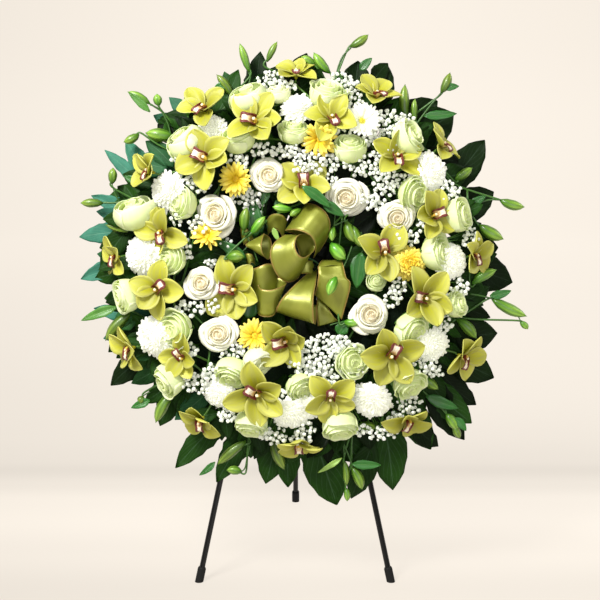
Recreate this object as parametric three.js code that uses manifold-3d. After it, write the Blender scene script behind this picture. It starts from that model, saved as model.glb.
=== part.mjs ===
// Funeral wreath on a folding tripod easel.
// Frame: millimetres, +Z up, the wreath faces -Y, feet stand on Z = 0, origin at the centre of the bounding box's underside.
// The wreath and the easel's front frame lie in a plane that leans back by LEAN. Inside the group `leaning`
// X is right, Y runs up the leaning plane from the wreath's centre, and Z stands out of the plane towards the viewer.
import * as THREE from "three";
import { mergeVertices } from "three/addons/utils/BufferGeometryUtils.js";
import Module from "manifold-3d";

const wasm = await Module();
wasm.setup();

// ---- driving dimensions ----
const LEAN = 12; // degrees that the front frame leans back
const CENTRE_UP = 567; // wreath centre above the front feet, along the leaning plane
const GAP = 0.3; // clearance between touching pieces
// easel
const LEG_D = 10, LEG_BORE = 7.6; // steel tube
const FOOT_HALF_SPREAD = 170; // front feet from the centre line
const TOP_HALF_SPREAD = 12; // front legs' centres at their top ends
const LEG_TOP = 752; // along the plane
const LEG_PLANE = -5.3; // leg axes behind the tray's back face
const CAP_D = 15, CAP_H = 26, CAP_SOCKET = 18;
const CROSSBAR_UP = 300, CROSSBAR_D = 8;
const BLOCK = { w: 52, bottom: 710, top: 762, back: -13, front: -0.5 };
const PIVOT_UP = 738, PIVOT_BACK = -21.7; // hinge axis of the rear leg
const REAR_SPREAD = 31; // degrees between rear leg and leaning plane, on its stop
const PIN_D = 5, EAR_T = 3;
const PEG_D = 6, PEG_UP = 332, PEG_X = 100; // rest pegs, through the legs
const HOOK_D = 5.4;
// ring
const TRAY_IN = 158, TRAY_OUT = 252, TRAY_WALL = 2, TRAY_H = 22, TRAY_FLOOR = 2.4;
const FOAM_PROFILE = [[160.4, 2.8], [160.4, 22.6], [168, 24], [168.5, 40], [180, 52], [205, 57], [230, 52], [241.5, 40], [242, 24], [249.6, 22.6], [249.6, 2.8]];
const STEM_DEPTH_Z = 30; // ends of the main stems inside the foam
// leaves
const LEAF_T = 1.6;
const LEAF_LEVELS = [29.5, 35.5, 41.5]; // undersides of the collar leaves
const LEAF_CENTRE_R = 268;
// bow
const BOW_AT = [4, 12, 84];
const RIBBON_W = 46, RIBBON_T = 1.6;

// ---- colours ----
const COLOUR = {
  steel: 0x0b0b0c, rubber: 0x141414, tray: 0x1d3320, foam: 0x2f6b3c, leaf: 0x1f5136, leafDark: 0x12301f, stem: 0x5c8a35,
  prose: 0xdcebb2, wrose: 0xf7f3e4, orchid: 0xd8d05a, wmum: 0xfbfbf6, ymum: 0xf8d63a, gyp: 0xf4f6f3, bud: 0xa9cf52, satin: 0xaaa63c, wire: 0x6f7a3a,
};

// ---- helpers ----
const V = (x, y, z) => new THREE.Vector3(x, y, z);
const rad = (d) => (d * Math.PI) / 180;
function solid(geometry) {
  const g = geometry.clone();
  for (const k of Object.keys(g.attributes)) if (k !== "position") g.deleteAttribute(k);
  const m = mergeVertices(g, 1e-4);
  return new wasm.Manifold(new wasm.Mesh({ numProp: 3, vertProperties: new Float32Array(m.attributes.position.array), triVerts: new Uint32Array(m.index.array) }));
}
function geometryOf(s) {
  const m = s.getMesh(), n = m.numProp, v = new Float32Array(m.numVert * 3);
  for (let i = 0; i < m.numVert; i++) v.set(m.vertProperties.subarray(i * n, i * n + 3), i * 3);
  const g = new THREE.BufferGeometry();
  g.setAttribute("position", new THREE.BufferAttribute(v, 3));
  g.setIndex(new THREE.BufferAttribute(new Uint32Array(m.triVerts), 1));
  g.computeVertexNormals();
  return g;
}
// every mesh of the object
function mesh(parent, name, s, colour, roughness, metalness = 0) {
  const m = new THREE.Mesh(geometryOf(s), new THREE.MeshStandardMaterial({ color: colour, roughness, metalness }));
  m.name = name;
  parent.add(m);
  return m;
}
// a solid of revolution round local Z from [radius, z] pairs that start and end on the axis, or close on themselves
function lathe(profile, sides) {
  const g = new THREE.LatheGeometry(profile.map(([r, z]) => new THREE.Vector2(r, z)), sides);
  g.rotateX(Math.PI / 2);
  return g;
}
function polygon(points) {
  const s = new THREE.Shape();
  points.forEach(([x, y], i) => (i ? s.lineTo(x, y) : s.moveTo(x, y)));
  return s;
}
const circle = (r, sides, turn = 0) => Array.from({ length: sides }, (_, i) => [r * Math.cos(turn + (i * 2 * Math.PI) / sides), r * Math.sin(turn + (i * 2 * Math.PI) / sides)]);
// a rod of round section through a list of points
function rod(points, r, sides, steps) {
  const path = points.length === 2 ? new THREE.LineCurve3(points[0], points[1]) : new THREE.CatmullRomCurve3(points, false, "centripetal");
  return new THREE.ExtrudeGeometry(polygon(circle(r, sides)), { steps, bevelEnabled: false, extrudePath: path });
}
// a straight rod from a to b
function bar(a, b, r, sides, turn = 0) {
  const g = new THREE.ExtrudeGeometry(polygon(circle(r, sides, turn)), { depth: a.distanceTo(b), bevelEnabled: false });
  g.applyQuaternion(new THREE.Quaternion().setFromUnitVectors(V(0, 0, 1), b.clone().sub(a).normalize()));
  g.translate(a.x, a.y, a.z);
  return g;
}
// a rod along straight stretches with mitred bends
function mitred(points, r, sides) {
  const d = points.slice(1).map((p, i) => p.clone().sub(points[i]).normalize());
  const u = V(0, 0, 1).cross(d[0]);
  if (u.length() < 1e-3) u.set(1, 0, 0);
  u.normalize();
  const w = d[0].clone().cross(u), rings = [circle(r, sides).map(([a, b]) => points[0].clone().addScaledVector(u, a).addScaledVector(w, b))];
  for (let i = 1; i < points.length; i++) {
    const along = d[i - 1], n = i < d.length ? along.clone().add(d[i]).normalize() : along;
    rings.push(rings[i - 1].map((q) => q.clone().addScaledVector(along, n.dot(points[i].clone().sub(q)) / n.dot(along))));
  }
  const v = rings.flat().flatMap((p) => p.toArray()), f = [], last = (rings.length - 1) * sides;
  for (let i = 0; i + 1 < rings.length; i++) for (let j = 0; j < sides; j++) {
    const a = i * sides + j, b = i * sides + ((j + 1) % sides);
    f.push(a, b, b + sides, a, b + sides, a + sides);
  }
  for (let j = 1; j + 1 < sides; j++) f.push(0, j + 1, j, last, last + j, last + j + 1);
  const g = new THREE.BufferGeometry();
  g.setAttribute("position", new THREE.BufferAttribute(new Float32Array(v), 3));
  g.setIndex(f);
  return g;
}
function box(x0, x1, y0, y1, z0, z1) {
  const g = new THREE.BoxGeometry(x1 - x0, y1 - y0, z1 - z0);
  g.translate((x0 + x1) / 2, (y0 + y1) / 2, (z0 + z1) / 2);
  return g;
}
// the frame of a bloom: local Z along its facing direction
function facingFrame(at, dir) {
  const m = new THREE.Matrix4().makeRotationFromQuaternion(new THREE.Quaternion().setFromUnitVectors(V(0, 0, 1), V(...dir).normalize()));
  m.setPosition(...at);
  return m;
}

// ---- where everything stands, in the leaning plane's frame ----
// Each spray is one cut stem: its hub is the top of the main stem, just above the foam, and its stem goes straight down into the foam.
// A bloom has the centre of its open face, its facing direction and radius; "via" are the points of its side stem, from the calyx to the stem that it grows from.
const SPRAYS = {
  cymbidium_spike_6: { hub: [184.7,119.7,60.8], stem: 3, branch: 2, blooms: [
    { kind: "orchid", at: [169.4,172.8,114.9], facing: [0.31,0.31,0.899], radius: 40.2, up: 85, via: [[164.1,167.5,99.3], [172.3,150.7,84.8], [184.7,119.7,60.8]] },
    { kind: "orchid", at: [232,74.6,119.1], facing: [0.441,0.161,0.883], radius: 35.5, up: 200, via: [[224.9,72,105], [200,99.6,81.4], [184.7,119.7,60.8]] },
    { kind: "orchid", at: [248.3,194.5,86], facing: [0.709,0.497,0.5], radius: 34.6, up: 100, via: [[234.9,185.1,76.5], [197.5,163.2,81.3], [172.3,150.7,84.8]] },
    { kind: "orchid", at: [150.2,13.9,114.1], facing: [0.139,0,0.99], radius: 37.1, up: 285, via: [[147.4,13.9,94.5], [181.7,36,94.8], [224.9,72,105]] },
    { kind: "orchid", at: [302.7,8,88.4], facing: [0.788,0,0.616], radius: 34.6, up: 95, via: [[289.9,8,78.5], [254.7,41.2,92.7], [224.9,72,105]] },
    { kind: "orchid", at: [215.7,-63.7,121.3], facing: [0.304,-0.054,0.951], radius: 42.4, up: 350, via: [[208.6,-62.5,99.1], [185,-30.8,97.1], [147.4,13.9,94.5]] },
  ] },
  cymbidium_spike_3: { hub: [-197.7,-37.4,62.3], stem: 3, branch: 2, blooms: [
    { kind: "orchid", at: [-229,-48.7,120.1], facing: [-0.369,-0.065,0.927], radius: 41.6, up: 215, via: [[-220.2,-47.1,97.8], [-212.3,-46.2,82.2], [-197.7,-37.4,62.3]] },
    { kind: "orchid", at: [-105.2,-46.8,98.6], facing: [-0.059,-0.163,0.985], radius: 46.4, up: 350, via: [[-104.1,-43.8,80.3], [-154.5,-41.2,71.5], [-197.7,-37.4,62.3]] },
    { kind: "orchid", at: [-222.4,45.9,118.9], facing: [-0.492,-0.087,0.866], radius: 38.6, up: 115, via: [[-213.3,47.5,102.9], [-218.8,1.2,89.3], [-212.3,-46.2,82.2]] },
    { kind: "orchid", at: [-304.1,6.3,86], facing: [-0.78,-0.11,0.616], radius: 33.1, up: 90, via: [[-288,8.6,73.3], [-265.3,5.8,76.1], [-218.8,1.2,89.3]] },
    { kind: "orchid", at: [-278.5,-149.3,86], facing: [-0.797,-0.29,0.53], radius: 37.6, up: 75, via: [[-262.4,-143.5,75.3], [-239.4,-96.8,87.4], [-220.2,-47.1,97.8]] },
  ] },
  cymbidium_spike_4: { hub: [-111.8,-192.8,60.4], stem: 3, branch: 2, blooms: [
    { kind: "orchid", at: [-63.6,-220.4,120.8], facing: [-0.035,-0.405,0.914], radius: 44.9, up: 320, via: [[-63,-212.8,103.6], [-80.6,-201.7,85.8], [-111.8,-192.8,60.4]] },
    { kind: "orchid", at: [-158.8,-270.7,86], facing: [-0.426,-0.609,0.669], radius: 36.1, up: 85, via: [[-150.6,-259,73.1], [-130.1,-223.9,65.2], [-111.8,-192.8,60.4]] },
    { kind: "orchid", at: [-188.8,-161.5,113.9], facing: [-0.385,-0.269,0.883], radius: 32.6, up: 300, via: [[-182.2,-156.9,98.8], [-158,-167,87.9], [-111.8,-192.8,60.4]] },
    { kind: "orchid", at: [-18,-134.8,108.5], facing: [0,-0.242,0.97], radius: 43.7, up: 10, via: [[-18,-129.8,88.5], [-44,-152,85.4], [-80.6,-201.7,85.8]] },
    { kind: "orchid", at: [7.1,-310.1,86], facing: [-0.03,-0.848,0.53], radius: 36.1, up: 90, via: [[7.6,-296.3,77.4], [-21.7,-263,88.4], [-63,-212.8,103.6]] },
  ] },
  lisianthus_stem_6: { hub: [127.9,-173.1,62.4], stem: 3, branch: 2, blooms: [
    { kind: "prose", at: [96.8,-172.1,113.9], facing: [0.139,0,0.99], radius: 25.5, via: [[92.8,-172.1,85.2], [110.7,-175,75.5], [127.9,-173.1,62.4]] },
    { kind: "prose", at: [194.4,-208.5,98.2], facing: [0.335,-0.579,0.743], radius: 26.3, via: [[184.7,-191.8,76.8], [155.7,-178.8,66.9], [127.9,-173.1,62.4]] },
    { kind: "prose", at: [195,-116.3,112.9], facing: [0.504,-0.353,0.788], radius: 25.5, via: [[181,-106.5,91.1], [171.4,-137.7,76.2], [155.7,-178.8,66.9]] },
    { kind: "prose", at: [77,-280.2,95.6], facing: [0.106,-0.86,0.5], radius: 26.4, via: [[73.6,-252.7,79.5], [79.7,-215.5,78.7], [92.8,-172.1,85.2]] },
    { kind: "prose", at: [8.8,-212.7,113.9], facing: [0.396,-0.472,0.788], radius: 22.5, via: [[0.3,-202.5,96.9], [33.5,-208.7,84.4], [79.7,-215.5,78.7]] },
  ] },
  lisianthus_stem_7: { hub: [198.4,-24.2,63.8], stem: 3, branch: 2, blooms: [
    { kind: "prose", at: [238.7,12.5,111.4], facing: [0.704,0.062,0.707], radius: 24.6, via: [[218,10.7,90.7], [212.8,-2.3,85], [198.4,-24.2,63.8]] },
    { kind: "prose", at: [138.3,-36.5,95.3], facing: [0,0.105,0.995], radius: 14.7, via: [[138.3,-38.6,75.5], [166.1,-32.4,70.9], [198.4,-24.2,63.8]] },
    { kind: "prose", at: [272.9,-75.8,99], facing: [0.718,0.192,0.669], radius: 21.2, via: [[257.5,-79.9,84.6], [227.8,-49.7,73.4], [198.4,-24.2,63.8]] },
    { kind: "prose", at: [277,75.8,97.2], facing: [0.727,0.155,0.669], radius: 23, via: [[257.3,71.6,79], [230.4,34.4,85.4], [218,10.7,90.7]] },
    { kind: "prose", at: [200,112.1,112.7], facing: [0.441,-0.161,0.883], radius: 26.2, via: [[188.7,116.3,89.9], [201.4,83.7,82.7], [230.4,34.4,85.4]] },
  ] },
  cymbidium_spike_1: { hub: [49.3,189.7,62], stem: 3, branch: 2, blooms: [
    { kind: "orchid", at: [62.8,235.9,119.6], facing: [0.041,0.468,0.883], radius: 29.4, up: 105, via: [[62.2,229.2,106.9], [56.4,212.5,89.9], [49.3,189.7,62]] },
    { kind: "orchid", at: [15.6,125,99.5], facing: [0,0.208,0.978], radius: 43.4, up: 275, via: [[15.7,121.3,81.8], [31.8,146.9,74.3], [49.3,189.7,62]] },
    { kind: "orchid", at: [138.8,278.3,86], facing: [0.219,0.819,0.53], radius: 36.1, up: 110, via: [[134.6,262.4,75.7], [108.3,248.2,84], [62.2,229.2,106.9]] },
    { kind: "orchid", at: [2,315.9,86], facing: [0,0.883,0.469], radius: 33.1, up: 90, via: [[2,302.1,78.7], [33.7,268.8,96.2], [62.2,229.2,106.9]] },
  ] },
  cymbidium_spike_2: { hub: [-102.8,193,59.3], stem: 3, branch: 2, blooms: [
    { kind: "orchid", at: [-68.7,231.3,121], facing: [-0.065,0.369,0.927], radius: 44.5, up: 355, via: [[-67.3,222.9,99.9], [-85.9,206.6,77.4], [-102.8,193,59.3]] },
    { kind: "orchid", at: [-150.7,170.1,121.9], facing: [-0.237,0.199,0.951], radius: 34.9, up: 335, via: [[-145.9,166.2,102.8], [-127.8,181.2,78.9], [-102.8,193,59.3]] },
    { kind: "orchid", at: [-152.9,256.3,97.2], facing: [-0.353,0.504,0.788], radius: 39, up: 60, via: [[-146.7,247.4,83.4], [-134.6,211.3,84.6], [-127.8,181.2,78.9]] },
    { kind: "orchid", at: [-242.4,150.1,104.1], facing: [-0.791,0.212,0.574], radius: 35.9, up: 95, via: [[-229.3,146.6,94.6], [-199.5,152.4,98.8], [-145.9,166.2,102.8]] },
  ] },
  cymbidium_spike_5: { hub: [166.4,-137.7,62.1], stem: 3, branch: 2, blooms: [
    { kind: "orchid", at: [160.6,-156.6,121.2], facing: [0.171,-0.296,0.94], radius: 46, up: 250, via: [[157.1,-150.5,101.9], [163.4,-143.2,82.6], [166.3,-137.7,62.1]] },
    { kind: "orchid", at: [284.2,-163,86], facing: [0.751,-0.35,0.559], radius: 39.1, up: 60, via: [[270.1,-156.4,75.5], [215.5,-145.8,71.3], [166.3,-137.7,62.1]] },
    { kind: "orchid", at: [191.8,-270.7,86], facing: [0.394,-0.682,0.616], radius: 36.1, up: 70, via: [[185,-258.8,75.3], [168.7,-204.1,86], [157.1,-150.5,101.9]] },
    { kind: "orchid", at: [59.9,-229,117.9], facing: [0,-0.438,0.899], radius: 37, up: 265, via: [[59.9,-222.4,104.3], [111.7,-216.4,96.4], [168.7,-204.1,86]] },
  ] },
  lisianthus_stem_1: { hub: [-55.5,213,61.4], stem: 3, branch: 2, blooms: [
    { kind: "prose", at: [-78,274.9,97.9], facing: [-0.287,0.71,0.643], radius: 25.6, via: [[-70.2,255.6,80.4], [-64.8,233.6,74.3], [-55.5,213,61.4]] },
    { kind: "prose", at: [-96.1,205.2,113], facing: [-0.159,0.595,0.788], radius: 24.7, via: [[-91.5,188.1,90.3], [-63.8,207.2,68.1], [-55.5,213,61.4]] },
    { kind: "prose", at: [-1.3,216.9,113.7], facing: [0.023,0.669,0.743], radius: 21.1, via: [[-1.8,203.1,98.3], [-20.5,206.1,87.3], [-55.5,213,61.4]] },
    { kind: "prose", at: [-27,284,94.1], facing: [-0.071,0.816,0.574], radius: 16.9, via: [[-25.6,268.3,83.1], [-44.4,264.1,84.8], [-70.2,255.6,80.4]] },
  ] },
  lisianthus_stem_4: { hub: [-212.3,-57.7,60.1], stem: 3, branch: 2, blooms: [
    { kind: "prose", at: [-286,-60.4,94.6], facing: [-0.74,-0.198,0.643], radius: 24.9, via: [[-263.8,-54.4,75.3], [-240,-54.9,66.4], [-212.3,-57.7,60.1]] },
    { kind: "prose", at: [-201.9,-116,112.4], facing: [-0.29,-0.106,0.951], radius: 25.7, via: [[-193,-112.8,83.5], [-204.7,-81.9,72.5], [-212.3,-57.7,60.1]] },
    { kind: "prose", at: [-209.3,0.4,114], facing: [-0.375,0,0.927], radius: 24.7, via: [[-199.9,0.4,90.5], [-207.7,-31.2,68.7], [-212.3,-57.7,60.1]] },
    { kind: "prose", at: [-213,-202.2,94], facing: [-0.609,-0.426,0.669], radius: 24.1, via: [[-199.2,-192.6,78.9], [-197.2,-161.5,79.9], [-193,-112.8,83.5]] },
  ] },
  white_chrysanthemum_stem_3: { hub: [-62.5,-213.9,60.7], stem: 3, branch: 2, blooms: [
    { kind: "wmum", at: [-128.8,-228.6,102.4], facing: [-0.211,-0.453,0.866], radius: 22.6, via: [[-124.5,-219.5,84.9], [-92,-216.5,72.4], [-62.5,-213.9,60.7]] },
    { kind: "wmum", at: [-9.8,-262.3,106.3], facing: [-0.089,-0.637,0.766], radius: 27, via: [[-8.3,-251.3,93.1], [-34.9,-233.3,75.2], [-62.5,-213.9,60.7]] },
    { kind: "wmum", at: [28.9,-250.9,102.7], facing: [0.201,-0.552,0.809], radius: 19.7, via: [[25.8,-242.4,90.2], [9.9,-249.7,90.3], [-8.3,-251.3,93.1]] },
    { kind: "wmum", at: [-240.2,-130.5,103], facing: [-0.525,-0.191,0.829], radius: 27.4, via: [[-230.2,-126.8,87.2], [-182.4,-168.9,86.3], [-124.5,-219.5,84.9]] },
  ] },
  lisianthus_stem_2: { hub: [70.3,209.1,60.6], stem: 3, branch: 2, blooms: [
    { kind: "prose", at: [93.4,188.2,113.9], facing: [-0.022,0.642,0.766], radius: 24, via: [[94,172.1,94.8], [83.4,185.6,82.8], [70.3,209.1,60.6]] },
    { kind: "prose", at: [54.7,282.5,96.9], facing: [0.123,0.696,0.707], radius: 25.4, via: [[51.2,262.5,76.5], [57.1,237.9,67], [70.3,209.1,60.6]] },
    { kind: "prose", at: [190.9,208.4,99.3], facing: [0.612,0.354,0.707], radius: 25.6, via: [[174.5,198.9,80.4], [143.1,188.8,88.6], [94,172.1,94.8]] },
  ] },
  lisianthus_stem_3: { hub: [-174.7,135.7,61.7], stem: 3, branch: 2, blooms: [
    { kind: "prose", at: [-189,95.1,113.9], facing: [-0.565,0.1,0.819], radius: 24.7, via: [[-174.6,92.6,93], [-175.9,109.8,81.1], [-174.7,135.7,61.7]] },
    { kind: "prose", at: [-184.6,200.8,102.9], facing: [-0.43,0.513,0.743], radius: 22.4, via: [[-172.8,186.7,82.5], [-174.8,168,73.1], [-174.7,135.7,61.7]] },
    { kind: "prose", at: [-271.9,79.1,99], facing: [-0.129,0.732,0.669], radius: 28.5, via: [[-268.4,59.4,81], [-210.8,81.8,84.6], [-174.6,92.6,93]] },
  ] },
  lisianthus_stem_5: { hub: [-81.6,-195.2,62.6], stem: 3, branch: 2, blooms: [
    { kind: "prose", at: [-106.2,-189,113.7], facing: [-0.166,-0.621,0.766], radius: 24.7, via: [[-101.4,-171.1,91.6], [-90.1,-182.4,80.4], [-81.6,-195.2,62.6]] },
    { kind: "prose", at: [-62.4,-170.6,112.6], facing: [0.383,-0.321,0.866], radius: 21.5, via: [[-70.3,-163.9,94.7], [-82.5,-173.1,85], [-90.1,-182.4,80.4]] },
    { kind: "prose", at: [-74.6,-276.8,97.5], facing: [-0.118,-0.84,0.53], radius: 23.8, via: [[-71.5,-254.8,83.6], [-75.2,-213.8,74.9], [-81.6,-195.2,62.6]] },
  ] },
  white_chrysanthemum_stem_1: { hub: [147.1,168.2,59.6], stem: 3, branch: 2, blooms: [
    { kind: "wmum", at: [112.3,232.9,107.4], facing: [0.187,0.324,0.927], radius: 24.1, via: [[108.7,226.7,89.6], [132.9,195.7,74.3], [147.1,168.2,59.6]] },
    { kind: "wmum", at: [229.8,153.7,101.7], facing: [0.425,0.198,0.883], radius: 27.8, via: [[220.8,149.6,83.2], [173.5,162.3,64.5], [147.1,168.2,59.6]] },
    { kind: "wmum", at: [5.5,260.1,107], facing: [-0.021,0.587,0.809], radius: 24.8, via: [[5.8,250.9,94.3], [65.2,237,91.8], [108.7,226.7,89.6]] },
  ] },
  white_chrysanthemum_stem_2: { hub: [-205,45.7,63.3], stem: 3, branch: 2, blooms: [
    { kind: "wmum", at: [-260.8,9.1,106.7], facing: [-0.557,-0.049,0.829], radius: 29.2, via: [[-247.5,10.3,86.8], [-222.8,31.9,72.9], [-205,45.7,63.3]] },
    { kind: "wmum", at: [-218.2,119.1,109.7], facing: [-0.528,0.046,0.848], radius: 27.7, via: [[-209.2,118.3,95.2], [-209.8,88.9,81.2], [-205,45.7,63.3]] },
    { kind: "wmum", at: [-142.4,225.2,101.2], facing: [-0.341,0.406,0.848], radius: 21.9, via: [[-137.8,219.6,89.5], [-178.5,164.1,90.5], [-209.2,118.3,95.2]] },
  ] },
  white_chrysanthemum_stem_4: { hub: [159.1,-154.5,59.6], stem: 3, branch: 2, blooms: [
    { kind: "wmum", at: [234.9,-145.4,101.8], facing: [0.428,-0.359,0.829], radius: 26.3, via: [[225.5,-137.5,83.7], [195.4,-148.2,74], [159.1,-154.5,59.6]] },
    { kind: "wmum", at: [129.4,-240.5,103], facing: [-0.145,-0.54,0.829], radius: 29.2, via: [[132.7,-228.3,84.3], [147.7,-179.9,73.9], [159.1,-154.5,59.6]] },
    { kind: "wmum", at: [267.3,-1.3,104.9], facing: [0.557,0.049,0.829], radius: 25.1, via: [[257,-2.2,89.5], [243.2,-50.1,91], [225.5,-137.5,83.7]] },
  ] },
  yellow_chrysanthemum_stem_1: { hub: [-130.2,131.9,60.5], stem: 3, branch: 2, blooms: [
    { kind: "ymum", at: [-97.8,137.5,112.5], facing: [-0.243,-0.089,0.966], radius: 21.8, via: [[-94,138.9,97.4], [-116.2,137,71.5], [-130.2,131.9,60.5]] },
    { kind: "ymum", at: [-148.9,37.9,106.8], facing: [0,0.5,0.866], radius: 20.4, via: [[-148.9,29.9,92.9], [-138.6,80.8,73.7], [-130.2,131.9,60.5]] },
  ] },
  yellow_chrysanthemum_2: { hub: [39.1,201.7,64.2], stem: 3, branch: 2, blooms: [
    { kind: "ymum", at: [43.1,208.2,115.6], facing: [-0.161,-0.441,0.883], radius: 20.7, via: [[45.9,215.7,100.6], [43,210.3,89.2], [39.1,201.7,64.2]] },
  ] },
  yellow_chrysanthemum_3: { hub: [201.8,-10.5,64.2], stem: 3, branch: 2, blooms: [
    { kind: "ymum", at: [194.4,-4.8,119.7], facing: [0.07,0,0.998], radius: 23.9, via: [[193.1,-4.8,100.3], [196,-5.1,82.9], [201.8,-10.5,64.2]] },
  ] },
  yellow_chrysanthemum_4: { hub: [-86.6,-169.4,59.5], stem: 3, branch: 2, blooms: [
    { kind: "ymum", at: [-67.5,-130,106.5], facing: [-0.054,0.304,0.951], radius: 21.9, via: [[-66.5,-135.7,88.7], [-75.6,-158.1,74.3], [-86.6,-169.4,59.5]] },
  ] },
  white_rose_1: { hub: [-73.3,170,59.6], stem: 3, branch: 2, blooms: [
    { kind: "wrose", at: [-43.7,142.9,109.5], facing: [-0.024,0.137,0.99], radius: 29.1, via: [[-43.1,139.6,85.8], [-54.9,153.2,79.3], [-73.3,170,59.6]] },
  ] },
  white_rose_2: { hub: [-160.3,96.4,61.1], stem: 3, branch: 2, blooms: [
    { kind: "wrose", at: [-133.4,78.4,111.1], facing: [-0.205,-0.036,0.978], radius: 32, via: [[-127.6,79.4,83.7], [-146.1,90.8,74.4], [-160.3,96.5,61.1]] },
  ] },
  white_rose_3: { hub: [100.2,155.5,60.8], stem: 3, branch: 2, blooms: [
    { kind: "wrose", at: [86.9,107.6,105.4], facing: [-0.03,-0.171,0.985], radius: 30.6, via: [[87.8,112.5,77.3], [96,141.6,69.6], [100.2,155.5,60.8]] },
  ] },
  white_rose_4: { hub: [181.7,72.4,63], stem: 3, branch: 2, blooms: [
    { kind: "wrose", at: [172.9,71.9,117.2], facing: [0,-0.174,0.985], radius: 26.9, via: [[172.9,76.2,92.7], [176.1,76.7,79.8], [181.7,72.4,63]] },
  ] },
  white_rose_5: { hub: [-179.9,-55.6,59], stem: 3, branch: 2, blooms: [
    { kind: "wrose", at: [-158.6,-38.5,113.3], facing: [-0.087,0.15,0.985], radius: 26.8, via: [[-156.6,-42,89.8], [-168.4,-51.2,71.5], [-179.9,-55.6,59]] },
  ] },
  white_rose_6: { hub: [-126.3,-138.8,60.1], stem: 3, branch: 2, blooms: [
    { kind: "wrose", at: [-128,-124.7,116.2], facing: [-0.195,0.071,0.978], radius: 29.7, via: [[-122.7,-126.6,89.4], [-125.3,-131.4,74.2], [-126.3,-138.8,60.1]] },
  ] },
  white_rose_7: { hub: [139.8,-120,59.3], stem: 3, branch: 2, blooms: [
    { kind: "wrose", at: [127.6,-92.5,111.9], facing: [0.087,0.15,0.985], radius: 30.5, via: [[125.2,-96.7,84.4], [131.7,-107.8,68.5], [139.8,-120,59.3]] },
  ] },
  gypsophila_spray_1: { hub: [-204.2,-63.4,61.1], stem: 2, branch: 1.2, blooms: [
    { kind: "gyp", at: [-166.2,61.1,113.7], facing: [0,0,1], radius: 7, via: [[-187.5,-16.6,81.5], [-204.2,-63.4,61.1]] },
    { kind: "gyp", at: [-108.3,-156.7,115.3], facing: [0,0,1], radius: 7, via: [[-144,-122.1,83.5], [-204.2,-63.4,61.1]] },
    { kind: "gyp", at: [-153.8,-207.8,108.3], facing: [0,0,1], radius: 7, via: [[-146.4,-162.9,91.1], [-144,-122.1,83.5]] },
    { kind: "gyp", at: [-164.8,133.1,115.9], facing: [0,0,1], radius: 7, via: [[-175.3,67,91.9], [-187.5,-16.6,81.5]] },
    { kind: "gyp", at: [-92.9,169.9,115.7], facing: [0,0,1], radius: 7, via: [[-122.8,131.2,97.1], [-175.3,67,91.9]] },
    { kind: "gyp", at: [-38.1,-297.1,91.4], facing: [0,0,1], radius: 7, via: [[-97.8,-201.2,86.6], [-144,-122.1,83.5]] },
    { kind: "gyp", at: [-17.5,187.8,115.2], facing: [0,0,1], radius: 7, via: [[-73.3,160.6,95.1], [-122.8,131.2,97.1]] },
    { kind: "gyp", at: [-35.7,312.4,86], facing: [0,0,1], radius: 7, via: [[-48.2,248.4,79.3], [-73.3,160.6,95.1]] },
  ] },
  gypsophila_spray_2: { hub: [202,46,62.4], stem: 2, branch: 1.2, blooms: [
    { kind: "gyp", at: [192,33.5,115.7], facing: [0,0,1], radius: 7, via: [[198.3,38.7,73.7], [202,46,62.4]] },
    { kind: "gyp", at: [168.6,125.2,115.9], facing: [0,0,1], radius: 7, via: [[185.8,76.5,77.8], [202,46,62.4]] },
    { kind: "gyp", at: [266.6,122.2,96.9], facing: [0,0,1], radius: 7, via: [[233.1,105.1,79], [185.8,76.5,77.8]] },
    { kind: "gyp", at: [172.7,-45.8,114.5], facing: [0,0,1], radius: 7, via: [[185.5,-15.7,98.5], [198.3,38.7,73.7]] },
    { kind: "gyp", at: [115.4,161.4,116], facing: [0,0,1], radius: 7, via: [[148.3,119.8,92.8], [185.8,76.5,77.8]] },
    { kind: "gyp", at: [252.7,-106.4,105.2], facing: [0,0,1], radius: 7, via: [[226,-67.8,94.5], [185.5,-15.7,98.5]] },
    { kind: "gyp", at: [160.7,234.6,101.6], facing: [0,0,1], radius: 7, via: [[154.3,163.9,89.9], [148.3,119.8,92.8]] },
    { kind: "gyp", at: [37.5,162.4,112.8], facing: [0,0,1], radius: 7, via: [[111,166.2,91.1], [154.3,163.9,89.9]] },
    { kind: "gyp", at: [66.5,-176.9,114.6], facing: [0,0,1], radius: 7, via: [[128.9,-70.8,82.7], [198.3,38.7,73.7]] },
    { kind: "gyp", at: [191.8,-245,86.1], facing: [0,0,1], radius: 7, via: [[159.4,-177.9,79.3], [128.9,-70.8,82.7]] },
    { kind: "gyp", at: [80.1,312.5,86], facing: [0,0,1], radius: 7, via: [[110.3,212.8,76.5], [148.3,119.8,92.8]] },
    { kind: "gyp", at: [145.2,-292.5,86], facing: [0,0,1], radius: 7, via: [[153.6,-248.4,74.7], [159.4,-177.9,79.3]] },
  ] },
  lily_bud_stem_1: { hub: [-185.4,120,58.2], stem: 2, branch: 1.6, blooms: [
    { kind: "bud", at: [-209,214.7,58], facing: [-0.99,0.137,0.041], radius: 9.3, length: 48.7, via: [[-192.5,177.9,56.4], [-185.4,120,58.2]] },
    { kind: "bud", at: [-262.6,52.1,58], facing: [-0.987,0.159,0.031], radius: 6.2, length: 64.6, via: [[-230.3,82.3,57.3], [-185.4,120,58.2]] },
    { kind: "bud", at: [-269.6,219.8,58], facing: [-0.875,-0.479,0.068], radius: 6.2, length: 29.4, via: [[-238.6,202.8,58.8], [-192.5,177.9,56.4]] },
    { kind: "bud", at: [-184.8,251,58], facing: [0.004,0.999,0.048], radius: 6.2, length: 41.3, via: [[-187.5,220.8,54.6], [-192.5,177.9,56.4]] },
    { kind: "bud", at: [-316.3,133.4,58], facing: [0.072,0.995,0.072], radius: 6.2, length: 27.6, via: [[-281.5,107.6,54.8], [-230.3,82.3,57.3]] },
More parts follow.
